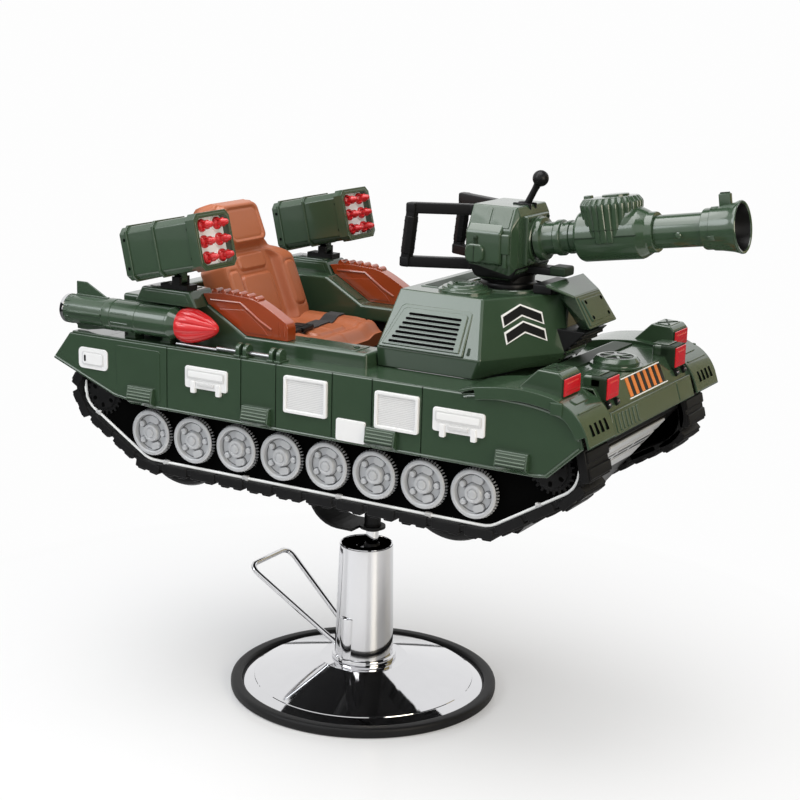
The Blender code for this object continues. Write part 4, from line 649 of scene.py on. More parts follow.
def base_edge():
    """Rubber ring round the base plate."""
    outer, _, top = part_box("trim_ring")[1]
    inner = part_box("base_plate")[1][0] + 0.0005
    edge = Piece(edge_rubber)
    edge.add(spun([(inner, 0.0008), (outer - 0.004, 0.0008), (outer - 0.001, 0.003), (outer, 0.007),
                   (outer, top - 0.007), (outer - 0.0015, top - 0.0025), (outer - 0.005, top - 0.0003),
                   (outer - 0.010, top), (inner + 0.005, top), (inner + 0.0015, top - 0.001),
                   (inner, top - 0.003)], 160))
    edge.finish("rubber_edge", "base", "rubber", ["trim_ring"])


def base_cover():
    """Chromed dish with a flat flange round the column and a rolled edge."""
    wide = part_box("base_plate")[1][0]
    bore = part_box("column_shroud")[1][1] - 0.006
    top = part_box("base_cover")[1][2]
    flange = COVER_FLANGE
    rim = wide - COVER_EDGE
    cover = Piece(chrome)
    cover.add(spun([(bore, top), (flange - 0.003, top), (flange - 0.001, top - 0.0004),
                    (flange + 0.001, top - 0.0014), (rim - 0.0015, 0.0264), (rim - 0.0008, 0.0250),
                    (rim + 0.0006, 0.0249), (wide - 0.0025, 0.0148), (wide - 0.0008, 0.0136),
                    (wide - 0.0006, 0.0126), (wide - 0.003, 0.0126), (rim - 0.001, 0.0236),
                    (flange - 0.001, top - 0.0035), (bore, top - 0.0025)], 192))
    cover.finish("chrome_cover", "base", "chrome", ["base_cover"])


def base_column():
    """Tapered column with its collar, recessed cap, pedal slots and the pump cover on its side."""
    low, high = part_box("column_shroud")
    collar, foot, top = high[1], low[2], high[2]
    wide, narrow = COLUMN_WIDE, COLUMN_NARROW
    column = Piece(chrome, painted_shade_black)
    column.add(spun([(wide - 0.0025, foot), (collar - 0.001, foot), (collar, foot + 0.001),
                     (collar, foot + 0.006), (collar - 0.0015, foot + 0.009), (collar - 0.004, foot + 0.01),
                     (wide + 0.0006, foot + 0.0105), (wide, foot + 0.012), (narrow + 0.0003, top - 0.004),
                     (narrow - 0.0005, top - 0.001), (narrow - 0.002, top), (narrow - 0.0035, top - 0.0008),
                     (narrow - 0.004, top - 0.003), (narrow - 0.0042, top - 0.007), (ROD_HOLE, top - 0.007),
                     (ROD_HOLE, top - 0.009), (narrow - 0.005, top - 0.009), (wide - 0.003, foot + 0.012)],
                    144))
    # The cap's floor is a dead black ring: painted shade in the recess.
    cap_in, cap_out = ROD_HOLE + 0.0005, narrow - 0.0045
    column.add(spun([(cap_in, top - 0.0068), (cap_out, top - 0.0068), (cap_out, top - 0.0062),
                     (cap_in, top - 0.0062)], 96), painted_shade_black)
    side = Matrix.Translation(Vector((math.cos(PUMP_TURN), math.sin(PUMP_TURN), 0)) * PUMP_REACH)
    bulge = PUMP_RADIUS
    pump_foot = foot + 0.0006
    pump_top = pump_foot + PUMP_HEIGHT
    column.add(spun([(0, pump_foot), (bulge + 0.002, pump_foot), (bulge + 0.002, pump_foot + 0.008),
                     (bulge, pump_foot + 0.01), (bulge, pump_top - 0.003),
                     (bulge - 0.001, pump_top - 0.001), (bulge - 0.003, pump_top), (0, pump_top)], 64),
               at=side)
    # Dead black disc on the pump cover's top: painted shade in its recess.
    column.disc(side, bulge - 0.0045, pump_top - 0.0008, pump_top + 0.0002, painted_shade_black, 48)
    # The pedal slots are dead black patches on the column's face: painted shade, not openings.
    face = wide - 0.0005
    for middle in PEDAL_SLOTS:
        start, end = middle - SLOT_HALF_TURN, middle + SLOT_HALF_TURN
        curve = arc((0, 0), face + 0.0006, start, end, 8) + arc((0, 0), face - 0.003, end, start, 8)
        column.add(plate(curve, foot + 0.010, foot + 0.052, "z", 0.0), painted_shade_black)
    column.finish("chrome_column", "base", "chrome", ["column_shroud"])


def axis_of(node_name):
    """Upright axis of a round CAD node, as a matrix, with its radius, foot and top."""
    low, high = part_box(node_name)
    at = Matrix.Translation(((low[0] + high[0]) / 2, (low[1] + high[1]) / 2, 0))
    return at, (high[0] - low[0]) / 2, low[2], high[2]


def ram_and_seal():
    """Chromed ram and the black wiper round it."""
    at, radius, foot, top = axis_of("piston_rod")
    rod = Piece(chrome)
    rod.add(spun([(0, foot), (radius - 0.001, foot), (radius, foot + 0.001), (radius, top - 0.002),
                  (radius - 0.002, top), (0, top)], 64), at=at)
    rod.finish("ram_rod", "ram", "chrome", ["piston_rod"])
    _, wide, foot, lip = axis_of("rod_seal")
    bore = radius + 0.0003
    seal = Piece(edge_rubber)
    seal.add(spun([(bore, foot), (wide, foot), (wide, foot + 0.004), (wide - 0.001, foot + 0.005),
                   (wide - 0.002, lip - 0.001), (radius + 0.002, lip), (bore, lip - 0.001)], 48), at=at)
    seal.finish("rod_wiper", "base", "rubber", ["rod_seal"])


def restyle(name, material):
    """Give a CAD node that stays in view its procedural material."""
    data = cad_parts[name].data
    data.materials.clear()
    data.materials.append(material)


def build_pedal():
    """Chrome pedal loop with its pivot bolts."""
    rod, bend = 0.006, 0.030
    hinge_x, hinge_z = -0.040, 0.085
    end_x, end_z = -0.262, 0.251
    root, half = 0.030, 0.078
    path = [(hinge_x, -root, hinge_z), (end_x, -half, end_z), (end_x, half, end_z),
            (hinge_x, root, hinge_z)]
    loop = Piece(chrome)
    loop.add(tube(eased(path, bend, 12), rod, 24))
    bolt = [(0, -0.004), (0.011, -0.004), (0.011, 0.004), (0.0095, 0.006), (0, 0.0062)]
    for side in SIDES.values():
        loop.add(spun(bolt, 24), at=outward(hinge_x, side, root + 0.004, hinge_z))
    loop.finish("pedal_loop", "pedal", "chrome", ["foot_pedal"])


def build_carrier():
    """Swivel socket with its collar, and the steel saddle under the hull."""
    at, radius, foot, top = axis_of("swivel_socket")
    bore, roof = 0.0145, top - 0.0148
    neck = radius - 0.0015
    item = Piece(black_steel)
    item.add(spun([(bore, foot), (radius - 0.002, foot), (radius, foot + 0.002), (radius, foot + 0.012),
                   (neck, foot + 0.014), (neck, top - 0.008), (radius, top - 0.006), (radius, top),
                   (0, top), (0, roof), (bore, roof)], 48), at=at)
    item.finish("swivel_socket_cup", "tank", "black_steel", ["swivel_socket"])
    restyle("hull_saddle", black_steel())


# Tracks, wheels and light tubes

TRACK_ARCS = ((-0.503, 0.668, 0.080), (-0.365, 0.596, 0.090), (0.432, 0.596, 0.090), (0.574, 0.673, 0.083))
TRACK_IN, TRACK_OUT = 0.2053, 0.300
WEB_OUT = 0.285
BELT_THICK = 0.012
TUBE_CLIPS = (0.06, 0.22, 0.38, 0.55, 0.71, 0.90)


def tangent(first, second):
    """Direction from two arc centres to their shared outer tangent."""
    (x0, z0, r0), (x1, z1, r1) = first, second
    run = math.atan2(z1 - z0, x1 - x0)
    return run - math.pi / 2 - math.asin((r0 - r1) / math.hypot(x1 - x0, z1 - z0))


def track_line(offset, spacing=0.006):
    """Closed side view of the track, drawn in by an offset, from the upper rear round below."""
    points = []
    for i, (x, z, radius) in enumerate(TRACK_ARCS):
        start = tangent(TRACK_ARCS[i - 1], TRACK_ARCS[i])
        end = tangent(TRACK_ARCS[i], TRACK_ARCS[(i + 1) % len(TRACK_ARCS)])
        while end < start:
            end += math.tau
        steps = max(2, round(radius * (end - start) / spacing))
        points += arc((x, z), radius - offset, math.degrees(start), math.degrees(end), steps)
    return points


def evenly(line, number):
    """Equally spaced points round a closed line, each with its outward direction."""
    closed = [Vector(p) for p in line] + [Vector(line[0])]
    lengths = [0.0]
    for a, b in zip(closed, closed[1:]):
        lengths.append(lengths[-1] + (b - a).length)
    result = []
    leg = 0
    for i in range(number):
        at = lengths[-1] * i / number
        while lengths[leg + 1] < at:
            leg += 1
        a, b = closed[leg], closed[leg + 1]
        run = (b - a).normalized()
        result.append((a.lerp(b, (at - lengths[leg]) / (lengths[leg + 1] - lengths[leg])),
                       Vector((run.y, -run.x))))
    return result


def ring_plate(outer, inner, low, high):
    """A flat ring between two outlines of the same number of points, with thickness along Y."""
    bm = bmesh.new()
    edges = []
    for line in (outer, inner):
        verts = [bm.verts.new((u, low, v)) for u, v in line]
        edges += [bm.edges.new((a, b)) for a, b in zip(verts, verts[1:] + verts[:1])]
    faces = bmesh.ops.bridge_loops(bm, edges=edges)["faces"]
    made = bmesh.ops.extrude_face_region(bm, geom=faces)
    bmesh.ops.translate(bm, vec=(0, high - low, 0),
                        verts=[item for item in made["geom"] if isinstance(item, bmesh.types.BMVert)])
    bmesh.ops.recalc_face_normals(bm, faces=bm.faces)
    return bm


def along_track(place, out, side, y):
    """Matrix to a spot on the track: local X runs along it, local Y out of the side, local Z outwards."""
    run = Vector((out.y, 0, -out.x))
    turn = Matrix((run * side, Vector((0, side, 0)), Vector((out.x, 0, out.y)))).transposed().to_4x4()
    return Matrix.Translation((place.x, side * y, place.y)) @ turn


PAD_HALF, PAD_FOOT, PAD_TREAD, PAD_EXTRA = 0.0315, 0.0135, 0.0042, 0.0026
LUG_PLACES, LUG_TOP, LUG_FOOT = (-0.0160, 0.0160), 0.0095, 0.0125
HIDDEN_WHEELS, HIDDEN_WHEEL_Z = (-0.305, 0.352), 0.596
HIDDEN_TYRE = [(0, 0), (0.101, 0), (0.111, 0.004), (0.115, 0.012), (0.115, 0.038), (0.111, 0.046),
               (0.101, 0.05), (0, 0.05)]


def build_tracks():
    """Lugged tracks with their webs, end sprockets and the wheels hidden behind them."""
    lug = sizes().lug_height
    wide = TRACK_OUT - TRACK_IN
    tread = lug - PAD_TREAD
    for name, side in SIDES.items():
        item = Piece(track_black, painted_shade_black, black)
        spots = evenly(track_line(lug), 224)
        outer = [tuple(place) for place, out in spots]
        inner = [tuple(place - out * BELT_THICK) for place, out in spots]
        item.add(soften(ring_plate(outer, inner, side * TRACK_IN, side * TRACK_OUT), 0.0012, 1, 60.0))
        for place, out in evenly(track_line(lug), sizes().pad_count):
            at = along_track(place, out, side, TRACK_IN)
            item.add(block((-PAD_HALF, 0.0, -PAD_FOOT), (PAD_HALF, wide + PAD_EXTRA, tread), 0.0016, 1),
                     at=at)
            for middle in LUG_PLACES:
                section = ((-LUG_FOOT, tread - 0.002), (LUG_FOOT, tread - 0.002), (LUG_TOP, lug),
                           (-LUG_TOP, lug))
                corners = [(middle + x, y, z) for y in (0.0, wide) for x, z in section]
                item.add(hull(corners, 0.0012, 1), at=at)
        # The web is a dead black sheet inside the track: painted shade behind the wheels.
        web = track_line(lug + BELT_THICK - 0.001, 0.012)
        item.add(plate(web, side * (WEB_OUT - 0.004), side * WEB_OUT, "y", 0), painted_shade_black)
        for x, z, _ in (TRACK_ARCS[0], TRACK_ARCS[-1]):
            sprocket(item, x, z - 0.006, side)
        for x in HIDDEN_WHEELS:
            item.add(spun(HIDDEN_TYRE, 72), black, outward(x, side, WEB_OUT - 0.060, HIDDEN_WHEEL_Z))
        item.finish("track_" + name + "_belt", "tank", "track_black", ["track_" + name])


def sprocket(item, x, z, side):
    """Dark toothed end wheel with oval windows."""
    at = outward(x, side, WEB_OUT, z)
    radius, teeth, windows = 0.041, 22, 6
    item.add(spun([(0, 0), (radius, 0), (radius, 0.003), (radius - 0.006, 0.004), (radius - 0.008, 0.0085),
                   (0.017, 0.0085), (0.015, 0.0095), (0.008, 0.010), (0, 0.010)], 48), at=at)
    item.around(teeth, block((radius - 0.003, -0.0028, 0.0), (radius + 0.006, 0.0028, 0.0045), 0.001, 1),
                at)
    # The oval windows are dead black plates on the wheel's face: painted shade, not openings.
    window = plate(rounded_box(0.020, -0.0042, 0.031, 0.0042, 0.004), 0.0078, 0.0090, "z", 0.0005, 1)
    item.around(windows, window, at, painted_shade_black, math.pi / windows)


def build_wheels():
    """Sixteen toothed road wheels, each on its own axle and turned a little differently."""
    for name, side in SIDES.items():
        for index in range(1, 9):
            node_name = "road_wheel_%s_%d" % (name, index)
            wheel_name = "wheel_%s_%d" % (name, index)
            low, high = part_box(node_name)
            radius = (high[2] - low[2]) / 2
            near, far = sorted((abs(low[1]), abs(high[1])))
            at = outward((low[0] + high[0]) / 2, side, near, (low[2] + high[2]) / 2)
            at = at @ Matrix.Rotation(math.radians(4 * math.sin(index)), 4, "Z")
            item = Piece(grey, dark_grey, painted_shade_black)
            road_wheel(item, at, radius, far - near)
            item.finish(wheel_name, wheel_name, "wheel_grey", [node_name], 32.0)


def road_wheel(item, at, radius, deep):
    """Flat rim, dished disc, hub and its five lugs, with a dead black ring of painted shade and a row of
    teeth behind the rim.
    """
    teeth = sizes().wheel_teeth
    root = radius - 0.0016
    inner = root - 0.0098
    floor = deep - 0.0128
    crown = deep - 0.0058
    back = deep - 0.0078
    under, shade_top = floor - 0.001, floor + 0.0007
    tooth = [(root - 0.004, -0.0016), (radius, -0.0011), (radius, 0.0011), (root - 0.004, 0.0016)]
    item.around(teeth, plate(tooth, deep - 0.0172, deep - 0.0120, "z", 0.0), at)
    # Dead black ring behind the rim: painted shade.
    item.add(spun([(inner + 0.001, 0.0004), (root - 0.006, 0.0004), (root - 0.003, 0.003),
                   (root - 0.003, back + 0.001), (inner + 0.001, back + 0.001)], 56), painted_shade_black, at)
    item.add(spun([(0.0066, floor - 0.002), (inner + 0.002, floor - 0.002), (inner + 0.003, back),
                   (root - 0.0008, back), (root, back + 0.001), (root - 0.0002, deep - 0.0052),
                   (root - 0.002, deep - 0.0034), (root - 0.0036, deep - 0.0029),
                   (inner + 0.0026, deep - 0.0031), (inner + 0.0008, deep - 0.0042),
                   (inner - 0.0004, floor + 0.001), (inner - 0.0014, floor), (0.0215, floor),
                   (0.0204, floor + 0.0008), (0.0198, floor + 0.003), (0.0188, deep - 0.0046),
                   (0.0172, deep - 0.0028), (0.0125, deep - 0.0019), (0.0106, deep - 0.0036),
                   (0.0094, deep - 0.0036), (0.0084, deep - 0.0008), (0.0066, deep), (0, deep), (0, floor),
                   (0.0066, floor)], 56), at=at)
    # Darker grey rings at the dish's edges and darker grey patches round each lug: painted shade.
    for near, far in ((0.0206, 0.0224), (inner - 0.0032, inner - 0.0010)):
        item.add(spun([(near, under), (far, under), (far, floor + 0.0006), (near, floor + 0.0006)], 56),
                 dark_grey, at)
    middle = (inner + 0.0200) / 2
    lugs, wide_lugs = 5, (1, 4)
    for i in range(lugs):
        turn = at @ Matrix.Rotation(math.tau * i / lugs, 4, "Z")
        if i in wide_lugs:
            item.panel(turn, (middle - 0.0088, -0.0136, middle + 0.0086, 0.0136), 0.0076, under, shade_top, 0.0,
                       dark_grey)
            item.panel(turn, (middle - 0.0078, -0.0124, middle + 0.0078, 0.0124), 0.0068, under, crown,
                       0.0022)
        else:
            spot = turn @ Matrix.Translation((middle, 0, 0))
            item.disc(spot, 0.0082, under, shade_top, dark_grey)
            item.add(spun([(0, under), (0.0066, under), (0.0062, crown - 0.0012), (0.0048, crown),
                           (0.0030, crown - 0.0004), (0, crown - 0.0010)], 20), at=spot)


def build_light_tubes():
    """Milky light tubes clipped along the inside of the tracks."""
    radius = sizes().tube_radius
    for name, side in SIDES.items():
        gap = 0.012 + BELT_THICK + radius
        line = [place for place, out in evenly(track_line(gap), 220) if out.y < 0.35 and place.y < 0.700]
        line.sort(key=lambda place: place.x)
        y = side * (WEB_OUT + radius + 0.0003)
        path = [(place.x, y, place.y) for place in line]
        item = Piece(milky_tube, white)
        item.add(tube(path, radius, 16))
        for share in TUBE_CLIPS:
            x, y, z = path[round(share * (len(path) - 1))]
            item.add(block((x - 0.0075, y - 0.0036, z - 0.0062), (x + 0.0075, y + 0.0046, z + 0.005),
                           0.0018), white)
        item.finish("light_tube_" + name, "tank", "light_tube", ["light_strip_" + name])


# Skirts

SKIRT_IN, SKIRT_OUT = 0.3253, 0.3313
SKIRT_LINE = [(-0.61, 0.735), (-0.44, 0.672), (-0.344, 0.66), (0.56, 0.66), (0.584, 0.663), (0.654, 0.729),
              (0.648, 0.752), (0.634, 0.774), (0.612, 0.789), (0.54, 0.803), (0.44, 0.806), (0.4, 0.7997),
              (-0.562, 0.7967)]
PANEL_CUTS = (-0.298, -0.109, -0.023, 0.111, 0.203, 0.315)
STEP_STARTS = (-0.398, -0.102, 0.194, 0.479)
# Each rung: a green bar, a deep green bar below it painted as shade, and a pale strip on top painted as
# highlight.
RUNG_BARS = ((0.004, 0.0, 0.0, 0.0056, 0.0038, 0.0012, green),
             (0.003, 0.0, -0.0036, 0.0040, 0.0026, 0.0, deep_green),
             (0.004, 0.0024, 0.0012, 0.0014, 0.0014, 0.0, painted_highlight_green))


def build_skirts():
    """Panelled green skirts with their steps and white plates."""
    for name, side in SIDES.items():
        item = Piece(green, deep_green, white, off_white, black, painted_highlight_green)
        item.add(plate(SKIRT_LINE, side * SKIRT_IN, side * (SKIRT_OUT - 0.0025), "y", 0.0015), deep_green)
        full = plate(SKIRT_LINE, side * (SKIRT_IN + 0.0005), side * SKIRT_OUT, "y", 0.0038, 3)
        bounds = (-1.0,) + PANEL_CUTS + (1.0,)
        for start, end in zip(bounds, bounds[1:]):
            item.add(sliced(full.copy(), start + sizes().groove / 2, end - sizes().groove / 2))
        full.free()
        door = rounded_box(-0.432, 0.676, -0.316, 0.786, 0.006)
        item.add(plate(door, side * (SKIRT_OUT - 0.002), side * (SKIRT_OUT + 0.0016), "y", 0.0012))
        rim = [(-0.604, 0.739), (-0.44, 0.6775), (-0.344, 0.6655), (0.56, 0.6655), (0.581, 0.668),
               (0.646, 0.73)]
        item.add(tube([(x, side * SKIRT_OUT, z) for x, z in rim], 0.0022, 12))
        crest = [(0.645, 0.744), (0.631, 0.768), (0.609, 0.783), (0.54, 0.796), (0.44, 0.799),
                 (0.405, 0.7935)]
        item.add(tube([(x, side * SKIRT_OUT, z) for x, z in smooth_line(crest, 5)], 0.0026, 12))
        for start in STEP_STARTS:
            skirt_step(item, side, start)
        skirt_plates(item, side)
        item.finish("skirt_" + name, "tank", "army_green", ["side_skirt_" + name])


def sliced(bm, start, end):
    """The part of a shape between two cuts across X, with the cut ends closed."""
    for at, way in ((start, -1.0), (end, 1.0)):
        geometry = list(bm.verts) + list(bm.edges) + list(bm.faces)
        bmesh.ops.bisect_plane(bm, geom=geometry, plane_co=(at, 0, 0), plane_no=(way, 0, 0),
                               clear_outer=True)
        bmesh.ops.holes_fill(bm, edges=[edge for edge in bm.edges if edge.is_boundary], sides=0)
    bmesh.ops.recalc_face_normals(bm, faces=bm.faces)
    return bm


def skirt_step(item, side, start):
    """Folded step with four rungs at the foot of the skirt."""
    long, low, high, deep = 0.068, 0.662, 0.704, 0.0155
    near = SKIRT_OUT - 0.001
    section = ((near, low), (near + deep, low + 0.012), (near + deep * 0.6, high), (near, high))
    item.add(hull([(x, side * y, z) for y, z in section for x in (start, start + long)], 0.0016))
    rungs = 4
    for i in range(rungs):
        share = (i + 0.5) / rungs
        z = low + 0.013 + (high - low - 0.016) * share
        y = near + deep - deep * 0.4 * share - 0.0012
        for inset, out, lift, wide, tall, bevel, tint in RUNG_BARS:
            ends = [(x, side * (y + out), z + lift) for x in (start + inset, start + long - inset)]
            item.add(beam(*ends, wide, tall, bevel), tint)


def skirt_plates(item, side):
    """White framed plates, boxes and mesh panels along one skirt."""
    framed_plate(item, side, (-0.535, 0.724, -0.456, 0.770), 0.010)
    boxed_plate(item, side, (-0.248, 0.721, -0.141, 0.767))
    mesh_plate(item, side, (-0.001, 0.704, 0.101, 0.780))
    raised(item, side, (0.124, 0.666, 0.192, 0.711), 0.005, 0.0, 0.006, 0.0022, white)
    mesh_plate(item, side, (0.212, 0.704, 0.310, 0.779))
    boxed_plate(item, side, (0.341, 0.719, 0.453, 0.766))


def raised(item, side, box, corner, low, high, bevel, tint):
    """A rounded rectangle standing on the skirt between two heights above it."""
    outline = rounded_box(*box, corner)
    item.add(plate(outline, side * (SKIRT_OUT + low), side * (SKIRT_OUT + high), "y", bevel), tint)


def drawn_in(box, across, up):
    """A box drawn in on both sides and on top and bottom."""
    x0, z0, x1, z1 = box
    return x0 + across, z0 + up, x1 - across, z1 - up


def framed_plate(item, side, box, corner):
    """Rounded white frame with a plain sunk panel and a small slot."""
    raised(item, side, box, corner, -0.001, 0.003, 0.0012, white)
    raised(item, side, drawn_in(box, 0.010, 0.008), corner * 0.6, 0.002, 0.0044, 0.001, off_white)
    raised(item, side, drawn_in(box, 0.013, 0.011), corner * 0.5, 0.002, 0.0052, 0.001, white)
    x0, z0, _, z1 = box
    raised(item, side, (x0 + 0.017, z0 + 0.016, x0 + 0.022, z1 - 0.016), 0.002, 0.004, 0.0058, 0.0004,
           black)


def boxed_plate(item, side, box):
    """White box with a raised lid, a handle bar and two feet."""
    x0, z0, x1, z1 = box
    wide = x1 - x0
    raised(item, side, box, 0.006, -0.001, 0.005, 0.002, white)
    raised(item, side, (x0 + 0.006, z0 + 0.02, x1 - 0.006, z1 - 0.005), 0.004, 0.004, 0.0072, 0.0014,
           off_white)
    raised(item, side, (x0 + 0.01, z0 + 0.024, x1 - 0.01, z1 - 0.009), 0.003, 0.004, 0.008, 0.0014, white)
    handle = (x0 + 0.3 * wide, z0 + 0.007, x1 - 0.3 * wide, z0 + 0.015)
    raised(item, side, handle, 0.003, 0.004, 0.0085, 0.0014, off_white)
    for share in (0.2, 0.8):
        x = x0 + wide * share
        raised(item, side, (x - 0.006, z0 - 0.01, x + 0.006, z0 + 0.016), 0.003, -0.001, 0.0075, 0.0016,
               white)


def mesh_plate(item, side, box):
    """Thin white frame round a plate of fine level lines."""
    x0, z0, x1, z1 = box
    raised(item, side, box, 0.005, -0.001, 0.0026, 0.0010, white)
    inner = rounded_box(*drawn_in(box, 0.0065, 0.0065), 0.003)
    edge = ring_plate(rounded_box(*box, 0.005), inner, side * SKIRT_OUT, side * (SKIRT_OUT + 0.0066))
    item.add(soften(edge, 0.0014, 2, 60.0), white)
    rows, margin = 17, 0.0095
    near, far = side * (SKIRT_OUT + 0.002), side * (SKIRT_OUT + 0.0032)
    for i in range(rows):
        z = z0 + margin + (z1 - z0 - 2 * margin) * i / (rows - 1)
        wire = rounded_box(x0 + 0.006, z - 0.0006, x1 - 0.006, z + 0.0006, 0.0004, 1)
        item.add(plate(wire, near, far, "y", 0.0), off_white)


# Hull, front plates and lamps

DECK_Z = 0.800
SILL_IN, SILL_OUT = 0.190, 0.265
SILL_LINE = [(-0.468, 0.794), (0.1485, 0.794), (0.1485, 0.83), (-0.145, 0.83), (-0.24, 0.885),
             (-0.468, 0.885)]
FENDER_IN, FENDER_OUT = 0.215, 0.339
FENDER_LINE = [(0.395, 0.8065), (0.44, 0.818), (0.52, 0.826), (0.58, 0.82), (0.602, 0.813), (0.626, 0.802),
               (0.646, 0.784), (0.66, 0.761), (0.67, 0.733)]
GLACIS_LINE = [(0.474, 0.797), (0.474, 0.820), (0.618, 0.816), (0.6447, 0.773), (0.6587, 0.729)]
HATCH_X = 0.572


def both(points):
    """The given points and their mirror images across the middle plane."""
    return list(points) + [(x, -y, z) for x, y, z in points]


def build_hull():
    """Green deck with sills, rear bridge, pod pedestals, front plates, fenders and lamp housings."""
    item = Piece(green, deep_green, black, steel, painted_shade_black)
    low = DECK_Z - 0.006
    item.add(block((-0.560, -0.325, low), (-0.462, 0.325, DECK_Z), 0.002))
    item.add(block((0.396, -0.325, low), (0.500, 0.325, DECK_Z), 0.002))
    for side in SIDES.values():
        item.add(block((-0.464, side * 0.253, low), (0.398, side * 0.325, DECK_Z), 0.002))
        item.add(block((0.1405, side * SILL_IN, low), (0.398, side * 0.256, DECK_Z), 0.001))
        item.add(plate(SILL_LINE, side * SILL_IN, side * SILL_OUT, "y", 0.0065, 3))
        sill_relief(item, side)
        pod_pedestal(item, side)
        deck_rails(item, side)
        front_fender(item, side)
        lamp_housings(item, side)
    item.add(block((-0.468, -SILL_IN - 0.002, low), (-0.425, SILL_IN + 0.002, 0.885), 0.006, 3))
    item.add(block((-0.471, -0.150, 0.812), (-0.466, 0.150, 0.868), 0.0022))
    front_plates(item)
    item.finish("hull_top", "tank", "army_green", ["upper_hull"])
    restyle("lower_hull", black())
    restyle("seat_riser", black())


def sill_relief(item, side):
    """Raised panel on the sloping sill and a flat one ahead of it."""
    slope = on_plane((-0.1925, side * 0.2105, 0.8575), (0, -1, 0), (-0.095, 0, 0.055))
    item.panel(slope, (-0.013, -0.04, 0.013, 0.04), 0.004, -0.002, 0.0022, 0.0014)
    item.panel(slope, (-0.008, -0.034, 0.008, 0.034), 0.003, 0.0, 0.0034, 0.001)
    item.add(block((-0.030, side * 0.2005, 0.828), (0.118, side * 0.2560, 0.8316), 0.0012))
    for x in (-0.016, 0.104):
        item.add(spun([(0, 0.829), (0.0062, 0.829), (0.0062, 0.8326), (0.005, 0.8336), (0, 0.8336)], 24),
                 deep_green, Matrix.Translation((x, side * 0.228, 0)))


def pod_pedestal(item, side):
    """Sloped pedestal of a missile pod with a raised trapezoid line on its faces."""
    line = [(-0.405, 0.880), (-0.243, 0.880), (-0.262, 0.914), (-0.386, 0.914)]
    item.add(plate(line, side * 0.2255, side * 0.302, "y", 0.004, 3))
    small = [(-0.388, 0.889), (-0.262, 0.889), (-0.271, 0.907), (-0.377, 0.907)]
    item.add(plate(small, side * 0.2243, side * 0.3032, "y", 0.0012))
    item.add(block((-0.372, side * 0.236, 0.912), (-0.276, side * 0.292, 0.9156), 0.0014))


def deck_rails(item, side):
    """Pale grab rails and the hooks that hold them beside the cockpit."""
    y, z = 0.314, 0.8075
    for start, end in ((-0.180, -0.122), (-0.104, -0.040)):
        item.add(tube([(start, side * y, z), (end, side * y, z)], 0.0045, 16), steel)
    item.add(tube([(-0.285, side * y, z - 0.003), (-0.180, side * y, z - 0.003)], 0.0036, 16), steel)
    tall, half = 0.027, 0.013
    for x in (-0.122, -0.104, -0.040, -0.022):
        crown = arc((side * y, DECK_Z + tall - half), half, 0, 180, 12)
        outline = [(side * y - half, DECK_Z - 0.001), (side * y + half, DECK_Z - 0.001)] + crown
        item.add(plate(outline, x - 0.0050, x + 0.0050, "x", 0.0018))
        low, high = ((x - 0.008, side * y - 0.016, DECK_Z - 0.001),
                     (x + 0.008, side * y + 0.016, DECK_Z + 0.004))
        item.add(block(low, high, 0.0015))


def front_fender(item, side):
    """Curved front fender with its inner wall, ribs and four slots."""
    line = smooth_line(FENDER_LINE, 5)
    item.add(plate(ribbon(line, 0.005), side * FENDER_IN, side * FENDER_OUT, "y", 0.0020))
    item.add(plate(ribbon(line[4:-4], 0.024), side * (FENDER_OUT - 0.004), side * (FENDER_OUT + 0.001), "y",
                   0.0018))
    wall = [(0.395, 0.797)] + [(x, z - 0.003) for x, z in line if x < 0.652] + [(0.648, 0.739), (0.6, 0.79)]
    item.add(plate(wall, side * FENDER_IN, side * (FENDER_IN + 0.005), "y", 0.0008))
    item.add(block((0.588, side * (FENDER_OUT - 0.004), 0.787),
                   (0.613, side * (FENDER_OUT + 0.004), 0.8115), 0.0025))
    nose = on_plane((0.6595, side * 0.277, 0.7625), (0, 1, 0), (-0.0135, 0, 0.0255))
    # Four dead black slots on the fender's nose: painted shade.
    for i in range(4):
        u = (i - 1.5) * 0.0215
        slot = plate(rounded_box(u - 0.0042, -0.012, u + 0.0042, 0.0105, 0.0018), -0.004, 0.0006, "z",
                     0.0003, 1)
        item.add(slot, painted_shade_black, nose)
    rib = on_plane((0.6385, side * 0.277, 0.7925), (0, 1, 0), (-0.020, 0, 0.018))
    item.panel(rib, (-0.05, -0.0016, 0.05, 0.0016), 0.0015, -0.002, 0.002, 0.0008)
    brow = on_plane((0.6165, side * 0.277, 0.8075), (0, 1, 0), (-0.022, 0, 0.010))
    item.panel(brow, (-0.03, -0.008, 0.03, 0.008), 0.005, -0.004, 0.0022, 0.0014)


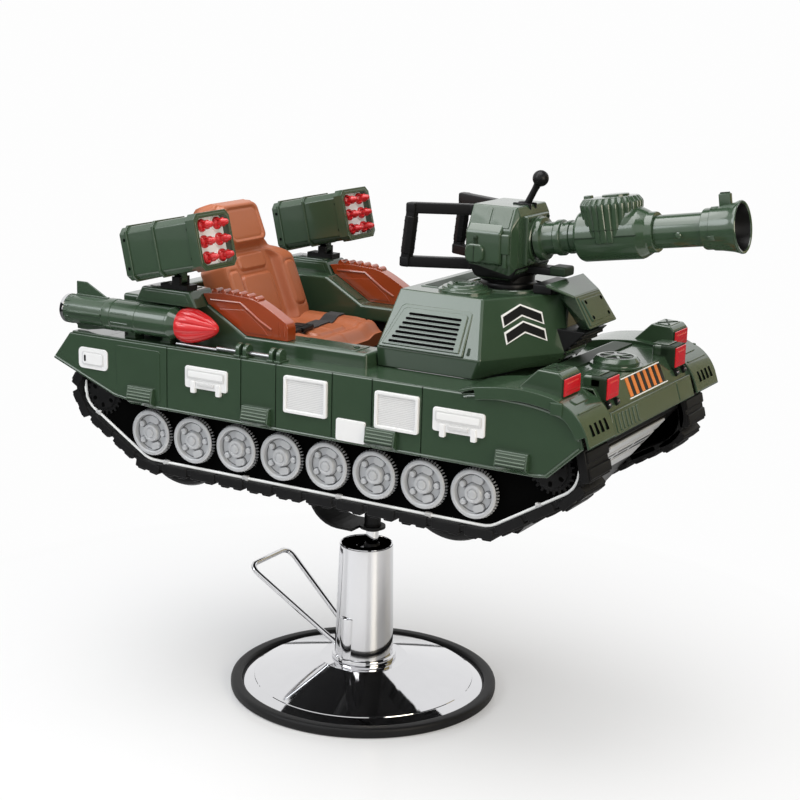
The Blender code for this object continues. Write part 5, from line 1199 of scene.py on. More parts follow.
def lamp_housings(item, side):
    """Peaked lamp on the fender and the square lamp on the front slope."""
    middle, half = 0.277, 0.0385
    peak = [(0.506, 0.821), (0.599, 0.809), (0.599, 0.852), (0.591, 0.860), (0.548, 0.862)]
    item.add(plate(peak, side * (middle - half), side * (middle + half), "y", 0.0030, 3))
    roof = on_plane((0.5695, side * middle, 0.8612), (1, 0, -0.046), (0, 1, 0))
    item.panel(roof, (-0.018, -0.03, 0.018, 0.03), 0.004, -0.001, 0.0012, 0.0008)
    for way in (-1.0, 1.0):
        cross = beam((-0.013, -0.024 * way, 0.0014), (0.013, 0.024 * way, 0.0014), 0.0040, 0.0022, 0.0008)
        item.add(cross, deep_green, roof)
    bezel = rounded_box(side * middle - 0.0375, 0.8145, side * middle + 0.0375, 0.8515, 0.003)
    item.add(plate(bezel, 0.594, 0.6005, "x", 0.0012), deep_green)
    middle, half = 0.1755, 0.0305
    low, high = 0.790, 0.839
    item.add(block((0.588, side * (middle - half), 0.812), (0.632, side * (middle + half), high), 0.0075,
                   3))
    hood = rounded_box(side * middle - half, low, side * middle + half, high, 0.007)
    item.add(plate(hood, 0.606, 0.6388, "x", 0.0022), deep_green)
    item.add(block((0.588, side * (middle - half + 0.006), high - 0.001),
                   (0.622, side * (middle + half - 0.006), high + 0.0016), 0.001))
    for way in (-1.0, 1.0):
        y = side * middle + way * 0.020
        item.add(block((0.628, y - 0.005, 0.776), (0.644, y + 0.005, 0.792), 0.002), black)
        item.add(spun([(0, 0), (0.0042, 0), (0.0042, 0.003), (0, 0.004)], 16), steel,
                 forward(0.644, y, 0.784))


def front_plates(item):
    """Plateau, slope and round hatch between the fenders."""
    item.add(plate(ribbon(GLACIS_LINE, 0.004), -0.217, 0.217, "y", 0.0012))
    item.add(block((0.480, -0.205, 0.818), (0.522, 0.205, 0.8222), 0.0014), deep_green)
    at = Matrix.Translation((HATCH_X, 0, 0))
    item.add(spun([(0, 0.818), (0.0535, 0.818), (0.0535, 0.8215), (0.0515, 0.8225), (0.047, 0.8225),
                   (0.0465, 0.8245), (0.047, 0.829), (0.0455, 0.831), (0.041, 0.8362), (0.0395, 0.8372),
                   (0.034, 0.8375), (0.033, 0.836), (0, 0.836)], 64), at=at)
    item.disc(at, 0.0328, 0.8355, 0.8364, black, steps=48)
    for i in range(3):
        turn = at @ Matrix.Rotation(math.pi * i / 3, 4, "Z")
        item.add(beam((-0.033, 0, 0.837), (0.033, 0, 0.837), 0.006, 0.003, 0.001), at=turn)
    item.add(spun([(0, 0.836), (0.011, 0.836), (0.011, 0.8385), (0.0095, 0.8395), (0, 0.8395)], 32), at=at)


def build_front():
    """Front bumper, hazard bars, lower grille and the four lenses."""
    front_bumper()
    hazard_bars()
    lower_grille()
    for name in SIDES:
        for kind in ("fender", "inner"):
            lamp_glass(kind, name)


def front_bumper():
    """Green bumper with two raised panels and a row of ribs."""
    item = Piece(green)
    half, ribs = 0.207, 6
    item.add(plate(ribbon([(0.652, 0.773), (0.666, 0.729)], 0.007), -half, half, "y", 0.0022, 3))
    face = on_plane((0.6592, 0, 0.7511), (0, 1, 0), (-0.014, 0, 0.044))
    for start, end in ((-0.196, 0.120), (0.126, 0.200)):
        item.panel(face, (start, -0.0185, end, 0.0185), 0.003, -0.002, 0.0012, 0.0008)
    for i in range(ribs):
        u = -0.182 + 0.0175 * i
        rib = rounded_box(u, -0.0165, u + 0.0095, 0.0165, 0.003)
        item.add(plate(rib, 0.0, 0.0034, "z", 0.0016, 3), at=face)
    item.finish("bumper", "tank", "army_green", ["front_bumper"])


def hazard_bars():
    """Orange and black bars between two white lines on the front slope."""
    item = Piece(hazard, black, white)
    slope = on_plane((0.63155, 0, 0.7947), (0, 1, 0), (-0.0267, 0, 0.043))
    sunk, half = -0.0003, 0.019
    for i in range(6):
        for shift, tint, lift in ((0.0, hazard, 0.0008), (0.0150, black, 0.0007)):
            u = -0.075 + 0.030 * i + shift
            bar = [(u - 0.010, -half), (u + 0.0035, -half), (u + 0.0135, half), (u, half)]
            item.add(plate(bar, sunk, lift, "z", 0.0), tint, slope)
    for v in (-0.0215, 0.0205):
        stripe = rounded_box(-0.092, v - 0.0012, 0.104, v + 0.0012, 0.001, 1)
        item.add(plate(stripe, sunk, 0.0007, "z", 0.0), white, slope)
    item.finish("hazard_bars", "tank", "army_green")


def lower_grille():
    """Three grey plates with dark slots on the black belly."""
    item = Piece(grey, black)
    belly = on_plane((0.5875, 0, 0.645), (0, 1, 0), (0.162, 0, 0.200))
    item.panel(belly, (-0.150, -0.062, 0.150, 0.064), 0.006, -0.004, 0.0040, 0.0015, black)
    for low, high in ((-0.056, -0.020), (-0.014, 0.024), (0.030, 0.060)):
        item.panel(belly, (-0.140, low, 0.140, high), 0.004, 0.0, 0.0075, 0.0018)
    for start, end in ((-0.128, -0.048), (-0.036, 0.036), (0.048, 0.128)):
        for v in (-0.003, 0.013):
            item.panel(belly, (start, v - 0.0040, end, v + 0.0040), 0.003, 0.004, 0.0079, 0.0, black)
    item.finish("lower_grille", "tank", "wheel_grey")


def lamp_glass(kind, name):
    """One red lens with a raised, bevelled middle."""
    node_name = "%s_lens_%s" % (kind, name)
    low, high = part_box(node_name)
    item = Piece(lens_red)
    item.add(block(low, (high[0] - 0.0008, high[1], high[2]), 0.0016))
    corners = []
    for x, inset in ((high[0] - 0.002, 0.004), (high[0], 0.010)):
        corners += [(x, y, z) for y in (low[1] + inset, high[1] - inset)
                    for z in (low[2] + inset, high[2] - inset)]
    item.add(hull(corners, 0.0008))
    item.finish(kind + "_lamp_glass_" + name, "tank", "red_lens", [node_name])


# Turret

TURRET_LOW = [(0.1503, 0.225, 0.8003), (0.365, 0.225, 0.8003), (0.452, 0.045, 0.8003)]
TURRET_WAIST = [(0.1503, 0.231, 0.840), (0.383, 0.231, 0.840), (0.487, 0.041, 0.840)]
TURRET_HIGH = [(0.168, 0.172, 0.952), (0.358, 0.178, 0.952), (0.450, 0.013, 0.952)]
GUN_X = 0.325
HATCH_SPOT = (0.284, -0.112)


def build_turret():
    """Turret shell with its vents, cheek marks, mantlet, gun ring and round hatch."""
    item = Piece(green, deep_green, black, white, painted_shade_black)
    shell = hull(both(TURRET_LOW + TURRET_WAIST + TURRET_HIGH), 0.0034, 3)
    wall = 0.005
    inside = []
    for ring, drop in ((TURRET_LOW, 0.02), (TURRET_WAIST, 0.0), (TURRET_HIGH, wall)):
        for i, (x, y, z) in enumerate(ring):
            inside.append((x - wall if i else x + wall, max(y - wall, 0.006), z - drop))
    half, lintel, sill, edge = 0.150, 0.915, 0.801, 0.006
    doorway = block((0.130, -half, 0.780), (0.185, half, lintel), 0.0)
    item.add(carved(shell, hull(both(inside), 0.0), doorway))
    door_frame = [(-half, sill), (-half, lintel), (half, lintel), (half, sill), (half + edge, sill),
                  (half + edge, lintel + 0.007), (-half - edge, lintel + 0.007), (-half - edge, sill)]
    item.add(plate(door_frame, 0.1495, 0.156, "x", 0.0016))
    for side in SIDES.values():
        turret_vent(item, side)
        cheek_mark(item, side)
    item.add(spun([(0.041, 0.95), (0.088, 0.95), (0.088, 0.9545), (0.0865, 0.956), (0.079, 0.956),
                   (0.078, 0.9535), (0.07, 0.9535), (0.069, 0.9515), (0.041, 0.9515)], 72),
             at=Matrix.Translation((GUN_X, 0, 0)))
    item.add(spun([(0, 0.95), (0.054, 0.95), (0.054, 0.9555), (0.0525, 0.957), (0.0475, 0.9575),
                   (0.0465, 0.9605), (0.045, 0.962), (0.0375, 0.9625), (0.0365, 0.9655), (0.035, 0.967),
                   (0.022, 0.9672), (0.021, 0.9655), (0, 0.9655)], 64),
             at=Matrix.Translation((HATCH_SPOT[0], HATCH_SPOT[1], 0)))
    x, y = HATCH_SPOT
    item.add(block((x - 0.016, y - 0.004, 0.965), (x + 0.016, y + 0.004, 0.9695), 0.0015))
    item.add(block((0.186, -0.120, 0.951), (0.238, 0.120, 0.9538), 0.0014))
    item.add(block((0.192, -0.113, 0.9530), (0.232, 0.113, 0.9546), 0.0008), deep_green)
    turret_mantlet(item)
    item.finish("turret_shell", "tank", "army_green", ["turret"])


def turret_vent(item, side):
    """Raised trapezoid panel with a rim, and its row of black slots."""
    middle = 0.266
    at = on_plane((middle, side * 0.2015, 0.896), (-side, 0, 0), (0, -side * 0.059, 0.112))

    def across(points):
        return [(-side * (x - middle), v) for x, v in points]

    outer = [(0.155, -0.0615), (0.346, -0.0615), (0.346, 0.027), (0.34, 0.033), (0.1925, 0.033),
             (0.185, 0.027)]
    item.add(plate(across(outer), -0.003, 0.005, "z", 0.0024, 3), at=at)
    upper = [(0.164, -0.056), (0.338, -0.056), (0.338, 0.0205), (0.333, 0.025), (0.1995, 0.025),
             (0.1925, 0.0205)]
    item.add(plate(across(upper), 0.0, 0.0076, "z", 0.002, 3), at=at)
    # The slots are dead black bars under the lips: painted shade.
    slots = sizes().vent_slots
    for i in range(slots):
        v = -0.0480 + 0.0100 * i
        bar = rounded_box(0.1780 + 0.0050 * i, v - 0.0026, 0.3260, v + 0.0026, 0.0025, 4)
        item.add(plate(across(bar), 0.002, 0.0079, "z", 0.0, 1), painted_shade_black, at)
        lip = rounded_box(0.1790 + 0.0050 * i, v - 0.0042, 0.3250, v - 0.0031, 0.0005, 1)
        item.add(plate(across(lip), 0.002, 0.0086, "z", 0.0003, 1), at=at)
    recess = rounded_box(0.3520, -0.0560, 0.3590, 0.0300, 0.002, 2)
    item.add(plate(across(recess), -0.003, 0.001, "z", 0.0003, 1), deep_green, at)


def cheek_mark(item, side):
    """Two stacked chevrons with white outlines on the turret's cheek."""
    foot = Vector((0.435, side * 0.136, 0.840))
    head = Vector((0.404, side * 0.0955, 0.952))
    at = on_plane((foot + head) / 2, (-side * 0.104, 0.190, 0.0), head - foot)
    for low in (-0.030, 0.004):
        for grow, lift, tint in ((0.0035, 0.0009, white), (0.0, 0.0013, black)):
            half, rise, thick = 0.046 + grow, 0.020, 0.018 + 2 * grow
            base = low - grow
            mark = [(-half, base), (0.0, base + rise), (half, base), (half, base + thick),
                    (0.0, base + rise + thick), (-half, base + thick)]
            item.add(plate(mark, -0.0008, lift, "z", 0.0), tint, at)


def turret_mantlet(item):
    """Block at the turret's front with its screwed cover plate, thin visor and ribbed black chin."""
    high, low = Vector((0.500, 0.060, 0.957)), Vector((0.540, 0.068, 0.897))
    chin, root = Vector((0.4935, 0.002, 0.877)), Vector((0.440, 0.013, 0.950))
    item.add(hull(both([tuple(high), tuple(low), tuple(chin), tuple(root)]), 0.0026, 3))
    visor_rear = Vector((0.450, 0.090, 0.980))
    thick = Vector((0, 0, -0.006))
    item.add(hull(both([tuple(high), tuple(visor_rear), tuple(high + thick), tuple(visor_rear + thick)]),
                  0.0022, 3))
    middle = (high + low) / 2
    front = on_plane((middle.x, 0, middle.z), (0, 1, 0), (high.x - low.x, 0, high.z - low.z))
    item.add(plate([(-0.058, -0.031), (0.058, -0.031), (0.052, 0.031), (-0.052, 0.031)], -0.002, 0.0026,
                   "z", 0.0014), at=front)
    item.panel(front, (-0.045, -0.024, 0.045, 0.024), 0.003, -0.001, 0.0054, 0.0014)
    # Screw holes are dead black discs: painted shade.
    for u in (-0.037, 0.037):
        for v in (-0.017, 0.017):
            hole = front @ Matrix.Translation((u, v, 0))
            item.disc(hole, 0.0042, 0.004, 0.0059, painted_shade_black, steps=20)
    item.add(hull(both([(0.44, 0.05, 0.802), (0.484, 0.044, 0.842), (0.526, 0.054, 0.886),
                        (0.46, 0.05, 0.886)]), 0.002), black)
    for i in range(5):
        start = Vector((0.468 + 0.0115 * i, 0, 0.826 + 0.0120 * i))
        item.add(beam(start - Vector((0, 0.052, 0)), start + Vector((0, 0.052, 0)), 0.0075, 0.006, 0.0018),
                 black)
    item.add(block((0.405, -0.055, 0.952), (0.447, 0.055, 0.972), 0.004), black)


# Gun, handles and lever

BARREL_ROOT = (0.388, 0, 1.054)
BARREL_TILT = math.radians(8.5)
LEVER_ROOT = Vector((0.352, 0, 1.108))
LEVER_LEAN = math.radians(27)


def build_gun():
    """Gun head on its swivel foot, barrel housing with the ribbed drum, and the barrel."""
    rear, front, half, low, high, cant = 0.272, 0.378, 0.090, 0.975, 1.122, 0.018
    eave, ridge, brow = high - 0.045, half - 0.024, front - cant / 2
    head = Piece(green, deep_green, black)
    corners = [(rear + cant, half - cant, low), (front - cant, half - cant, low),
               (rear, half, low + 2 * cant), (brow, half, low + 2 * cant), (front, half - cant, low + cant),
               (rear, half, eave), (brow, half, eave), (front, half - cant, eave),
               (front, ridge, high - cant), (rear, ridge, high), (brow, ridge, high)]
    head.add(hull(both(corners), 0.0026, 3))
    head.add(spun([(0, 0.9523), (0.0575, 0.9523), (0.058, 0.9535), (0.058, 0.96), (0.056, 0.963),
                   (0.0535, 0.965), (0.0535, 0.979), (0, 0.979)], 64), black,
             Matrix.Translation((GUN_X, 0, 0)))
    skirt = [(rear + 0.012, half - 0.014, low + 0.004), (front - 0.010, half - 0.014, low + 0.004),
             (rear + 0.002, half - 0.002, low + 0.030), (front + 0.002, half - 0.014, low + 0.026),
             (rear + 0.026, half - 0.034, 0.9665), (front - 0.022, half - 0.034, 0.9665)]
    head.add(hull(both(skirt), 0.0025), black)
    for side in SIDES.values():
        gun_cheek(head, side, rear, half, low, high)
        slope = on_plane(((rear + brow) / 2, side * (half + ridge) / 2, (eave + high) / 2), (-side, 0, 0),
                         (0, side * (ridge - half), high - eave))
        for start, end in ((-0.043, -0.002), (0.002, 0.043)):
            panel = rounded_box(start, -0.021, end, 0.021, 0.003)
            head.add(plate(panel, -0.002, 0.0016, "z", 0.001), at=slope)
    middle = BARREL_ROOT[2]
    head.add(block((front - 0.012, -0.05, middle - 0.05), (front + 0.0095, 0.05, middle + 0.05), 0.004, 3))
    head.add(spun([(0, 0), (0.047, 0), (0.047, 0.0115), (0.0455, 0.013), (0.04, 0.013), (0.039, 0.011),
                   (0, 0.011)], 56), at=forward(front, 0, middle))
    for u in (-0.042, 0.042):
        for v in (-0.042, 0.042):
            head.add(spun([(0, 0), (0.0042, 0), (0.0042, 0.0026), (0.003, 0.0036), (0, 0.0036)], 16),
                     deep_green, forward(front + 0.008, u, middle + v))
    head.add(block((front - 0.020, -0.022, low + 0.010), (front + 0.060, 0.022, low + 0.026), 0.004), black)
    head.add(block((front + 0.046, -0.0225, low + 0.01), (front + 0.083, 0.0225, low + 0.03), 0.005, 3),
             deep_green)
    boot = spun([(0, 0), (0.013, 0), (0.013, 0.002), (0.0105, 0.005), (0.006, 0.0062), (0, 0.0062)], 32)
    head.add(boot, black, Matrix.Translation((LEVER_ROOT.x, 0, high - 0.001))
             @ Matrix.Diagonal((1.0, 1.5, 1.0, 1.0)))
    for side in SIDES.values():
        head.add(block((0.334, side * 0.0092, high - 0.01), (0.374, side * 0.016, high + 0.003), 0.002),
                 black)
    head.add(block((rear - 0.0002, -0.044, low + 0.045), (rear + 0.010, 0.044, high - 0.030), 0.004))
    head.finish("gun_head_shell", "gun", "army_green", ["gun_head"])
    build_barrel()


def gun_cheek(head, side, rear, half, low, high):
    """Raised side box with its oval knob and stem, and two small blocks ahead of it."""
    x0, x1 = rear + 0.002, 0.352
    face = half + 0.0115
    top = high - 0.034
    section = ((half - 0.016, low + 0.024), (face, low + 0.036), (face, top - 0.016), (half - 0.004, top),
               (half - 0.020, top))
    head.add(hull([(x, side * y, z) for y, z in section for x in (x0, x1)], 0.0050, 3))
    head.add(block((x1 - 0.004, side * (half - 0.012), low + 0.054),
                   (x1 + 0.017, side * (half + 0.0065), top - 0.018), 0.0035, 3))
    head.add(block((x1 + 0.001, side * (half - 0.012), low + 0.026),
                   (x1 + 0.011, side * (half + 0.0035), low + 0.058), 0.0025, 2))
    at = outward(rear + 0.026, side, half, low + 0.054)
    head.add(plate(rounded_box(-0.0205, -0.0185, 0.0205, 0.0185, 0.013), 0.004, 0.0195, "z", 0.0036, 3),
             at=at)
    head.add(plate(rounded_box(-0.0012, -0.016, 0.0012, 0.016, 0.001, 2), 0.015, 0.0199, "z", 0.0003, 1),
             deep_green, at)
    stem_x, stem_y = rear + 0.026, side * (half + 0.012)
    head.add(tube([(stem_x, stem_y, low + 0.070), (stem_x, stem_y, low + 0.084)], 0.0042, 16), deep_green)
    head.add(ball((stem_x, stem_y, low + 0.084), 0.0052, 10), deep_green)


def build_barrel():
    """Both pieces of the barrel, along one tilted axis."""
    place = Matrix.Translation(BARREL_ROOT) @ Matrix.Rotation(math.pi / 2 - BARREL_TILT, 4, "Y")
    barrel_housing(place)
    barrel_tube(place)


def barrel_housing(place):
    """Stepped housing with a round shoulder, seams and the fluted drum on top."""
    house = Piece(green, deep_green)
    house.add(spun([(0, 0.007), (0.044, 0.007), (0.044, 0.0165), (0.0425, 0.019), (0.0345, 0.0205),
                    (0.0327, 0.023), (0.0327, 0.044), (0.035, 0.0455), (0.0362, 0.0475), (0.0362, 0.058),
                    (0.035, 0.06), (0.0318, 0.0612), (0.031, 0.063), (0.031, 0.07), (0.0335, 0.0715),
                    (0.0335, 0.078), (0.031, 0.0795), (0.031, 0.094), (0.044, 0.0955), (0.0485, 0.099),
                    (0.051, 0.105), (0.051, 0.224), (0.0495, 0.229), (0.042, 0.243), (0.04, 0.246),
                    (0.04, 0.256), (0.0388, 0.258), (0, 0.258)], 64), at=place)
    shoulder = ball((0, 0, 0), 1.0, 20)
    house.add(shoulder, at=place @ Matrix.Translation((-0.02, 0, 0.204))
              @ Matrix.Diagonal((0.041, 0.047, 0.034, 1)))
    drum = place @ Matrix.Translation((0.004, 0, 0.165)) @ Matrix.Rotation(-math.pi / 2, 4, "Y")
    ribs = sizes().drum_ribs

    def share(point):
        if point.z >= 0.078:
            return 0.0
        wave = 1.0 - abs(math.sin(ribs * math.atan2(point.y, point.x) / 2))
        return (0.035 + 0.030 * step_up(0.0, 0.05, point.z)) * wave ** 1.5

    cup = spun([(0, -0.008), (0.0545, -0.008), (0.056, -0.006), (0.0572, 0.01), (0.059, 0.028),
                (0.0606, 0.044), (0.0618, 0.056), (0.0626, 0.065), (0.0616, 0.069), (0.056, 0.0765),
                (0.053, 0.0785), (0.031, 0.0798), (0, 0.08)], ribs * 8)
    house.add(fluted(cup, share), at=drum)
    house.add(spun([(0.05, 0.0165), (0.0577, 0.0165), (0.0581, 0.0178), (0.05, 0.0178)], 96), deep_green,
              drum)
    for way in (-1.0, 1.0):
        seam = beam((0.0004, way * 0.0508, 0.1), (0.0004, way * 0.0508, 0.232), 0.003, 0.0016, 0.0006,
                    (0, 1, 0))
        house.add(seam, deep_green, place)
    house.add(spun([(0, 0.079), (0.027, 0.079), (0.027, 0.0822), (0.025, 0.0836), (0, 0.0838)], 48),
              at=drum @ Matrix.Translation((0.01, 0, 0)))
    house.add(block((-0.056, -0.008, 0.07), (-0.04, 0.008, 0.0838), 0.0025), at=drum)
    house.finish("barrel_housing_shell", "gun", "army_green", ["barrel_housing"])


def barrel_tube(place):
    """Front tube with its flared muzzle, bore and muzzle lining painted black as shade, bars, notches and
    sight.
    """
    gun = Piece(green, painted_shade_black, deep_green, black)
    gun.add(spun([(0, 0.2585), (0.0325, 0.2585), (0.033, 0.354), (0.035, 0.355), (0.0392, 0.356),
                  (0.04, 0.358), (0.0402, 0.372), (0.0408, 0.3734), (0.042, 0.374), (0.0432, 0.39),
                  (0.0462, 0.41), (0.049, 0.4205), (0.0508, 0.425), (0.0508, 0.4285), (0.0494, 0.4298),
                  (0.0462, 0.429), (0.042, 0.415), (0.033, 0.395), (0.0255, 0.39), (0.025, 0.3), (0, 0.3)],
                 72), at=place)
    # Dead black disc at the bore's end and a black lining inside the flare: painted shade in the muzzle.
    gun.disc(place, 0.0246, 0.3, 0.3015, painted_shade_black, steps=40)
    gun.add(spun([(0.0249, 0.302), (0.0253, 0.3897), (0.0328, 0.3953), (0.0417, 0.4153), (0.0452, 0.4272),
                  (0.0444, 0.4274), (0.0409, 0.4157), (0.032, 0.3959), (0.0245, 0.3903), (0.0241, 0.302)],
                 72), black, place)
    for way in (-1.0, 1.0):
        bar = beam((-0.034, way * 0.01, 0.402), (0.034, way * 0.01, 0.402), 0.0045, 0.0045, 0.001,
                   (0, 1, 0))
        gun.add(bar, deep_green, place)
    notch = block((0.0395, -0.0050, 0.372), (0.0440, 0.0050, 0.386), 0.0012)
    gun.around(4, notch, place, green, math.radians(20))
    gun.add(block((-0.066, -0.007, 0.386), (-0.04, 0.007, 0.41), 0.003), at=place)
    gun.add(block((-0.068, -0.004, 0.389), (-0.065, 0.004, 0.407), 0.001), deep_green, place)
    lug = [(0, 0), (0.0060, 0), (0.0060, 0.0035), (0.0045, 0.0050), (0, 0.0052)]
    gun.add(spun(lug, 24), at=place @ Matrix.Translation((0.006, -0.0335, 0.312))
            @ Matrix.Rotation(math.pi / 2, 4, "X"))
    gun.finish("barrel_tube", "gun", "army_green", ["gun_barrel"])


def build_handles():
    """Two D-shaped black handles behind the gun head."""
    root_x, rear_x = 0.2717, 0.152
    top, foot = 1.108, 0.998
    thick = 0.022
    for name, side in SIDES.items():
        root_y, grip_y = side * 0.056, side * 0.112
        item = Piece(black)
        for z, x in ((top, rear_x + 0.006), (foot, rear_x - 0.006)):
            item.add(block((root_x - 0.016, root_y - thick / 2, z - thick / 2),
                           (root_x, root_y + thick / 2, z + thick / 2), 0.0035))
            item.add(beam((root_x - 0.010, root_y, z), (x - 0.004, grip_y, z), thick, thick, 0.0035))
            item.add(block((x - 0.0115, grip_y - 0.011, z - 0.011), (x + 0.0105, grip_y + 0.011, z + 0.011),
                           0.004))
        high = Vector((rear_x + 0.006, grip_y, top))
        low = Vector((rear_x - 0.006, grip_y, foot))
        item.add(beam(low, high, 0.0205, 0.0205, 0.0035, (1, 0, 0)))
        lean = Vector((0, 0, 1)).rotation_difference(high - low).to_matrix().to_4x4()
        long = (high - low).length
        grip = moved(spun([(0, 0.016), (0.0125, 0.016), (0.0142, 0.019), (0.0142, long - 0.019),
                           (0.0125, long - 0.016), (0, long - 0.016)], 8), Matrix.Translation(low) @ lean)
        item.add(soften(grip, 0.0012, 2))
        for share in (0.25, 0.42, 0.58, 0.75):
            ring = [(0.010, -0.0016), (0.0146, -0.0016), (0.0146, 0.0016), (0.010, 0.0016)]
            item.add(spun(ring, 8), at=Matrix.Translation(low.lerp(high, share)) @ lean)
        item.finish("grip_handle_" + name, "gun", "black_plastic", ["handle_" + name])


def build_lever():
    """Ball-topped control lever on its pin."""
    root = LEVER_ROOT
    lean = Vector((math.sin(LEVER_LEAN), 0, math.cos(LEVER_LEAN)))
    tip = root + lean * 0.076
    turn = Matrix.Translation(root) @ Vector((0, 0, 1)).rotation_difference(lean).to_matrix().to_4x4()
    item = Piece(black, steel)
    item.add(spun([(0, -0.004), (0.0062, -0.004), (0.0075, 0.0), (0.0075, 0.016), (0.007, 0.02),
                   (0.0066, 0.05), (0.0074, 0.06), (0.009, 0.064), (0, 0.066)], 32), at=turn)
    item.add(ball(tip, 0.0165, 18))
    item.disc(Matrix.Translation(root) @ Matrix.Rotation(math.pi / 2, 4, "X"), 0.004, -0.0135, 0.0135,
              steel, steps=20)
    item.finish("ball_lever", "lever", "black_plastic", ["control_lever"])


# Missile pods and rockets


def octagon(half_y, half_z, corner):
    """Outline of a rectangle with cut corners."""
    return [(half_y - corner, -half_z), (half_y, -half_z + corner), (half_y, half_z - corner),
            (half_y - corner, half_z), (-half_y + corner, half_z), (-half_y, half_z - corner),
            (-half_y, -half_z + corner), (-half_y + corner, -half_z)]


POD_PLACE, POD_TILT = (-0.310, 0.280, 1.003), math.radians(-13)
POD_PIVOT_X, POD_PIVOT_Z = -0.300, 0.936
POD_HALF_Y, POD_HALF_Z, POD_CORNER, POD_HALF = 0.058, 0.056, 0.012, 0.1025
POD_BANDS = ((-0.083, -0.077), (-0.011, -0.005), (0.080, POD_HALF - 0.0005))
RACK_FRONT = 0.0885
SWAP_X_AND_Y = Matrix(((0, 1, 0, 0), (1, 0, 0, 0), (0, 0, 1, 0), (0, 0, 0, 1)))


def build_pods():
    """Two tilting missile pods with their racks of six missiles."""
    x, y, z = POD_PLACE
    for name, side in SIDES.items():
        at = Matrix.Translation((x, side * y, z)) @ Matrix.Rotation(POD_TILT, 4, "Y")
        pod_shell(name, side * y, at)
        pod_rack(name, at)
        restyle("pod_bracket_" + name, black())


def pod_shell(name, y, at):
    """Green box with cut corners, three bands, a rear lid, screws and the lug of its hinge."""
    item = Piece(green, deep_green, painted_shade_black)

    def outline(grow, corner=POD_CORNER):
        return octagon(POD_HALF_Y + grow, POD_HALF_Z + grow, corner)

    shell = plate(outline(0.0), -POD_HALF + 0.003, POD_HALF, "x", 0.0028, 3)
    mouth = plate(outline(-0.007, POD_CORNER - 0.003), 0.0840, POD_HALF + 0.02, "x", 0.0)
    item.add(carved(shell, mouth), at=at)
    for start, end in POD_BANDS:
        band = soften(ring_plate(outline(0.0034), outline(-0.002), start, end), 0.0012, 2, 60.0)
        item.add(band, at=at @ SWAP_X_AND_Y)
    item.add(plate(outline(-0.008), -POD_HALF, -POD_HALF + 0.006, "x", 0.0015), at=at)
    item.add(plate(outline(-0.02, 0.01), -POD_HALF - 0.0015, -POD_HALF + 0.002, "x", 0.001), deep_green, at)
    # Screw holes are dead black discs: painted shade.
    for x in (-0.088, 0.080):
        for z in (-0.030, 0.030):
            for way in SIDES.values():
                item.disc(at @ outward(x, way, POD_HALF_Y, z), 0.0034, -0.002, 0.0005, painted_shade_black, 16)
    x, z, half = POD_PIVOT_X, POD_PIVOT_Z, 0.009
    item.add(block((x - 0.011, y - half, z), (x + 0.011, y + half, z + 0.018), 0.0015))
    lug = [(0.0047, -half), (0.0108, -half), (0.0108, half), (0.0047, half)]
    item.add(spun(lug, 32), at=outward(x, 1.0, y, z))
    item.finish("pod_" + name + "_shell", "pod_" + name, "army_green", ["missile_pod_" + name])


def pod_rack(name, at):
    """White plate with three rows of two missiles."""
    item = Piece(missile_red, white)
    outline = octagon(POD_HALF_Y - 0.0073, POD_HALF_Z - 0.0073, POD_CORNER - 0.003)
    item.add(plate(outline, RACK_FRONT - 0.004, RACK_FRONT, "x", 0.0008), white, at)
    for row in (-1, 0, 1):
        for column in (-0.5, 0.5):
            missile(item, at @ forward(RACK_FRONT - 0.002, column * 0.052, row * 0.0333))
    item.finish("missiles_" + name, "pod_" + name, "missile_red", ["missile_rack_" + name])


def missile(rack, at):
    """One stepped red missile on its white socket ring."""
    rack.add(spun([(0, 0.0005), (0.0158, 0.0005), (0.0158, 0.0036), (0.0146, 0.0046), (0.0135, 0.0046),
                   (0, 0.0046)], 32), white, at)
    rack.add(spun([(0, 0.001), (0.0132, 0.001), (0.0134, 0.008), (0.0122, 0.0105), (0.01, 0.0122),
                   (0.0084, 0.014), (0.008, 0.0205), (0.0086, 0.0215), (0.0086, 0.024), (0.0074, 0.0255),
                   (0.0066, 0.03), (0.005, 0.034), (0.0028, 0.0358), (0, 0.0362)], 28), at=at)
    fin = block((0.006, -0.0011, 0.006), (0.0128, 0.0011, 0.0195), 0.0005, 1)
    rack.around(4, fin, at, missile_red, math.pi / 4)


ROCKET_Y, ROCKET_Z = 0.303, 0.844
ROCKET_FINS = ((0.0, 0.062), (math.pi, 0.0425), (math.pi / 2, 0.036), (-math.pi / 2, 0.036))
ROCKET_FEET = (-0.405, -0.312)


def fluted(bm, share):
    """Draw the points of a shape in towards its Z axis, each by its own share."""
    for vert in bm.verts:
        deep = 1.0 - share(vert.co)
        vert.co.x *= deep
        vert.co.y *= deep
    return bm


def rocket_nose():
    """Red nose with flutes that run out at its foot and tip."""
    flutes, foot = sizes().nose_flutes, -0.276

    def share(point):
        if math.hypot(point.x, point.y) <= 0.004 or point.z <= foot:
            return 0.0
        wave = max(0.0, math.cos(flutes * math.atan2(point.y, point.x)))
        return 0.085 * wave ** 2 * min(1.0, (point.z - foot) / 0.012)

    profile = [(0, -0.2785), (0.03, -0.2785), (0.0332, -0.277), (0.0356, -0.271), (0.0364, -0.263),
               (0.0365, -0.254), (0.035, -0.243), (0.0306, -0.229), (0.0245, -0.214), (0.0172, -0.201),
               (0.0112, -0.193), (0.0072, -0.189), (0.0036, -0.1873), (0, -0.187)]
    return fluted(spun(profile, 80), share)


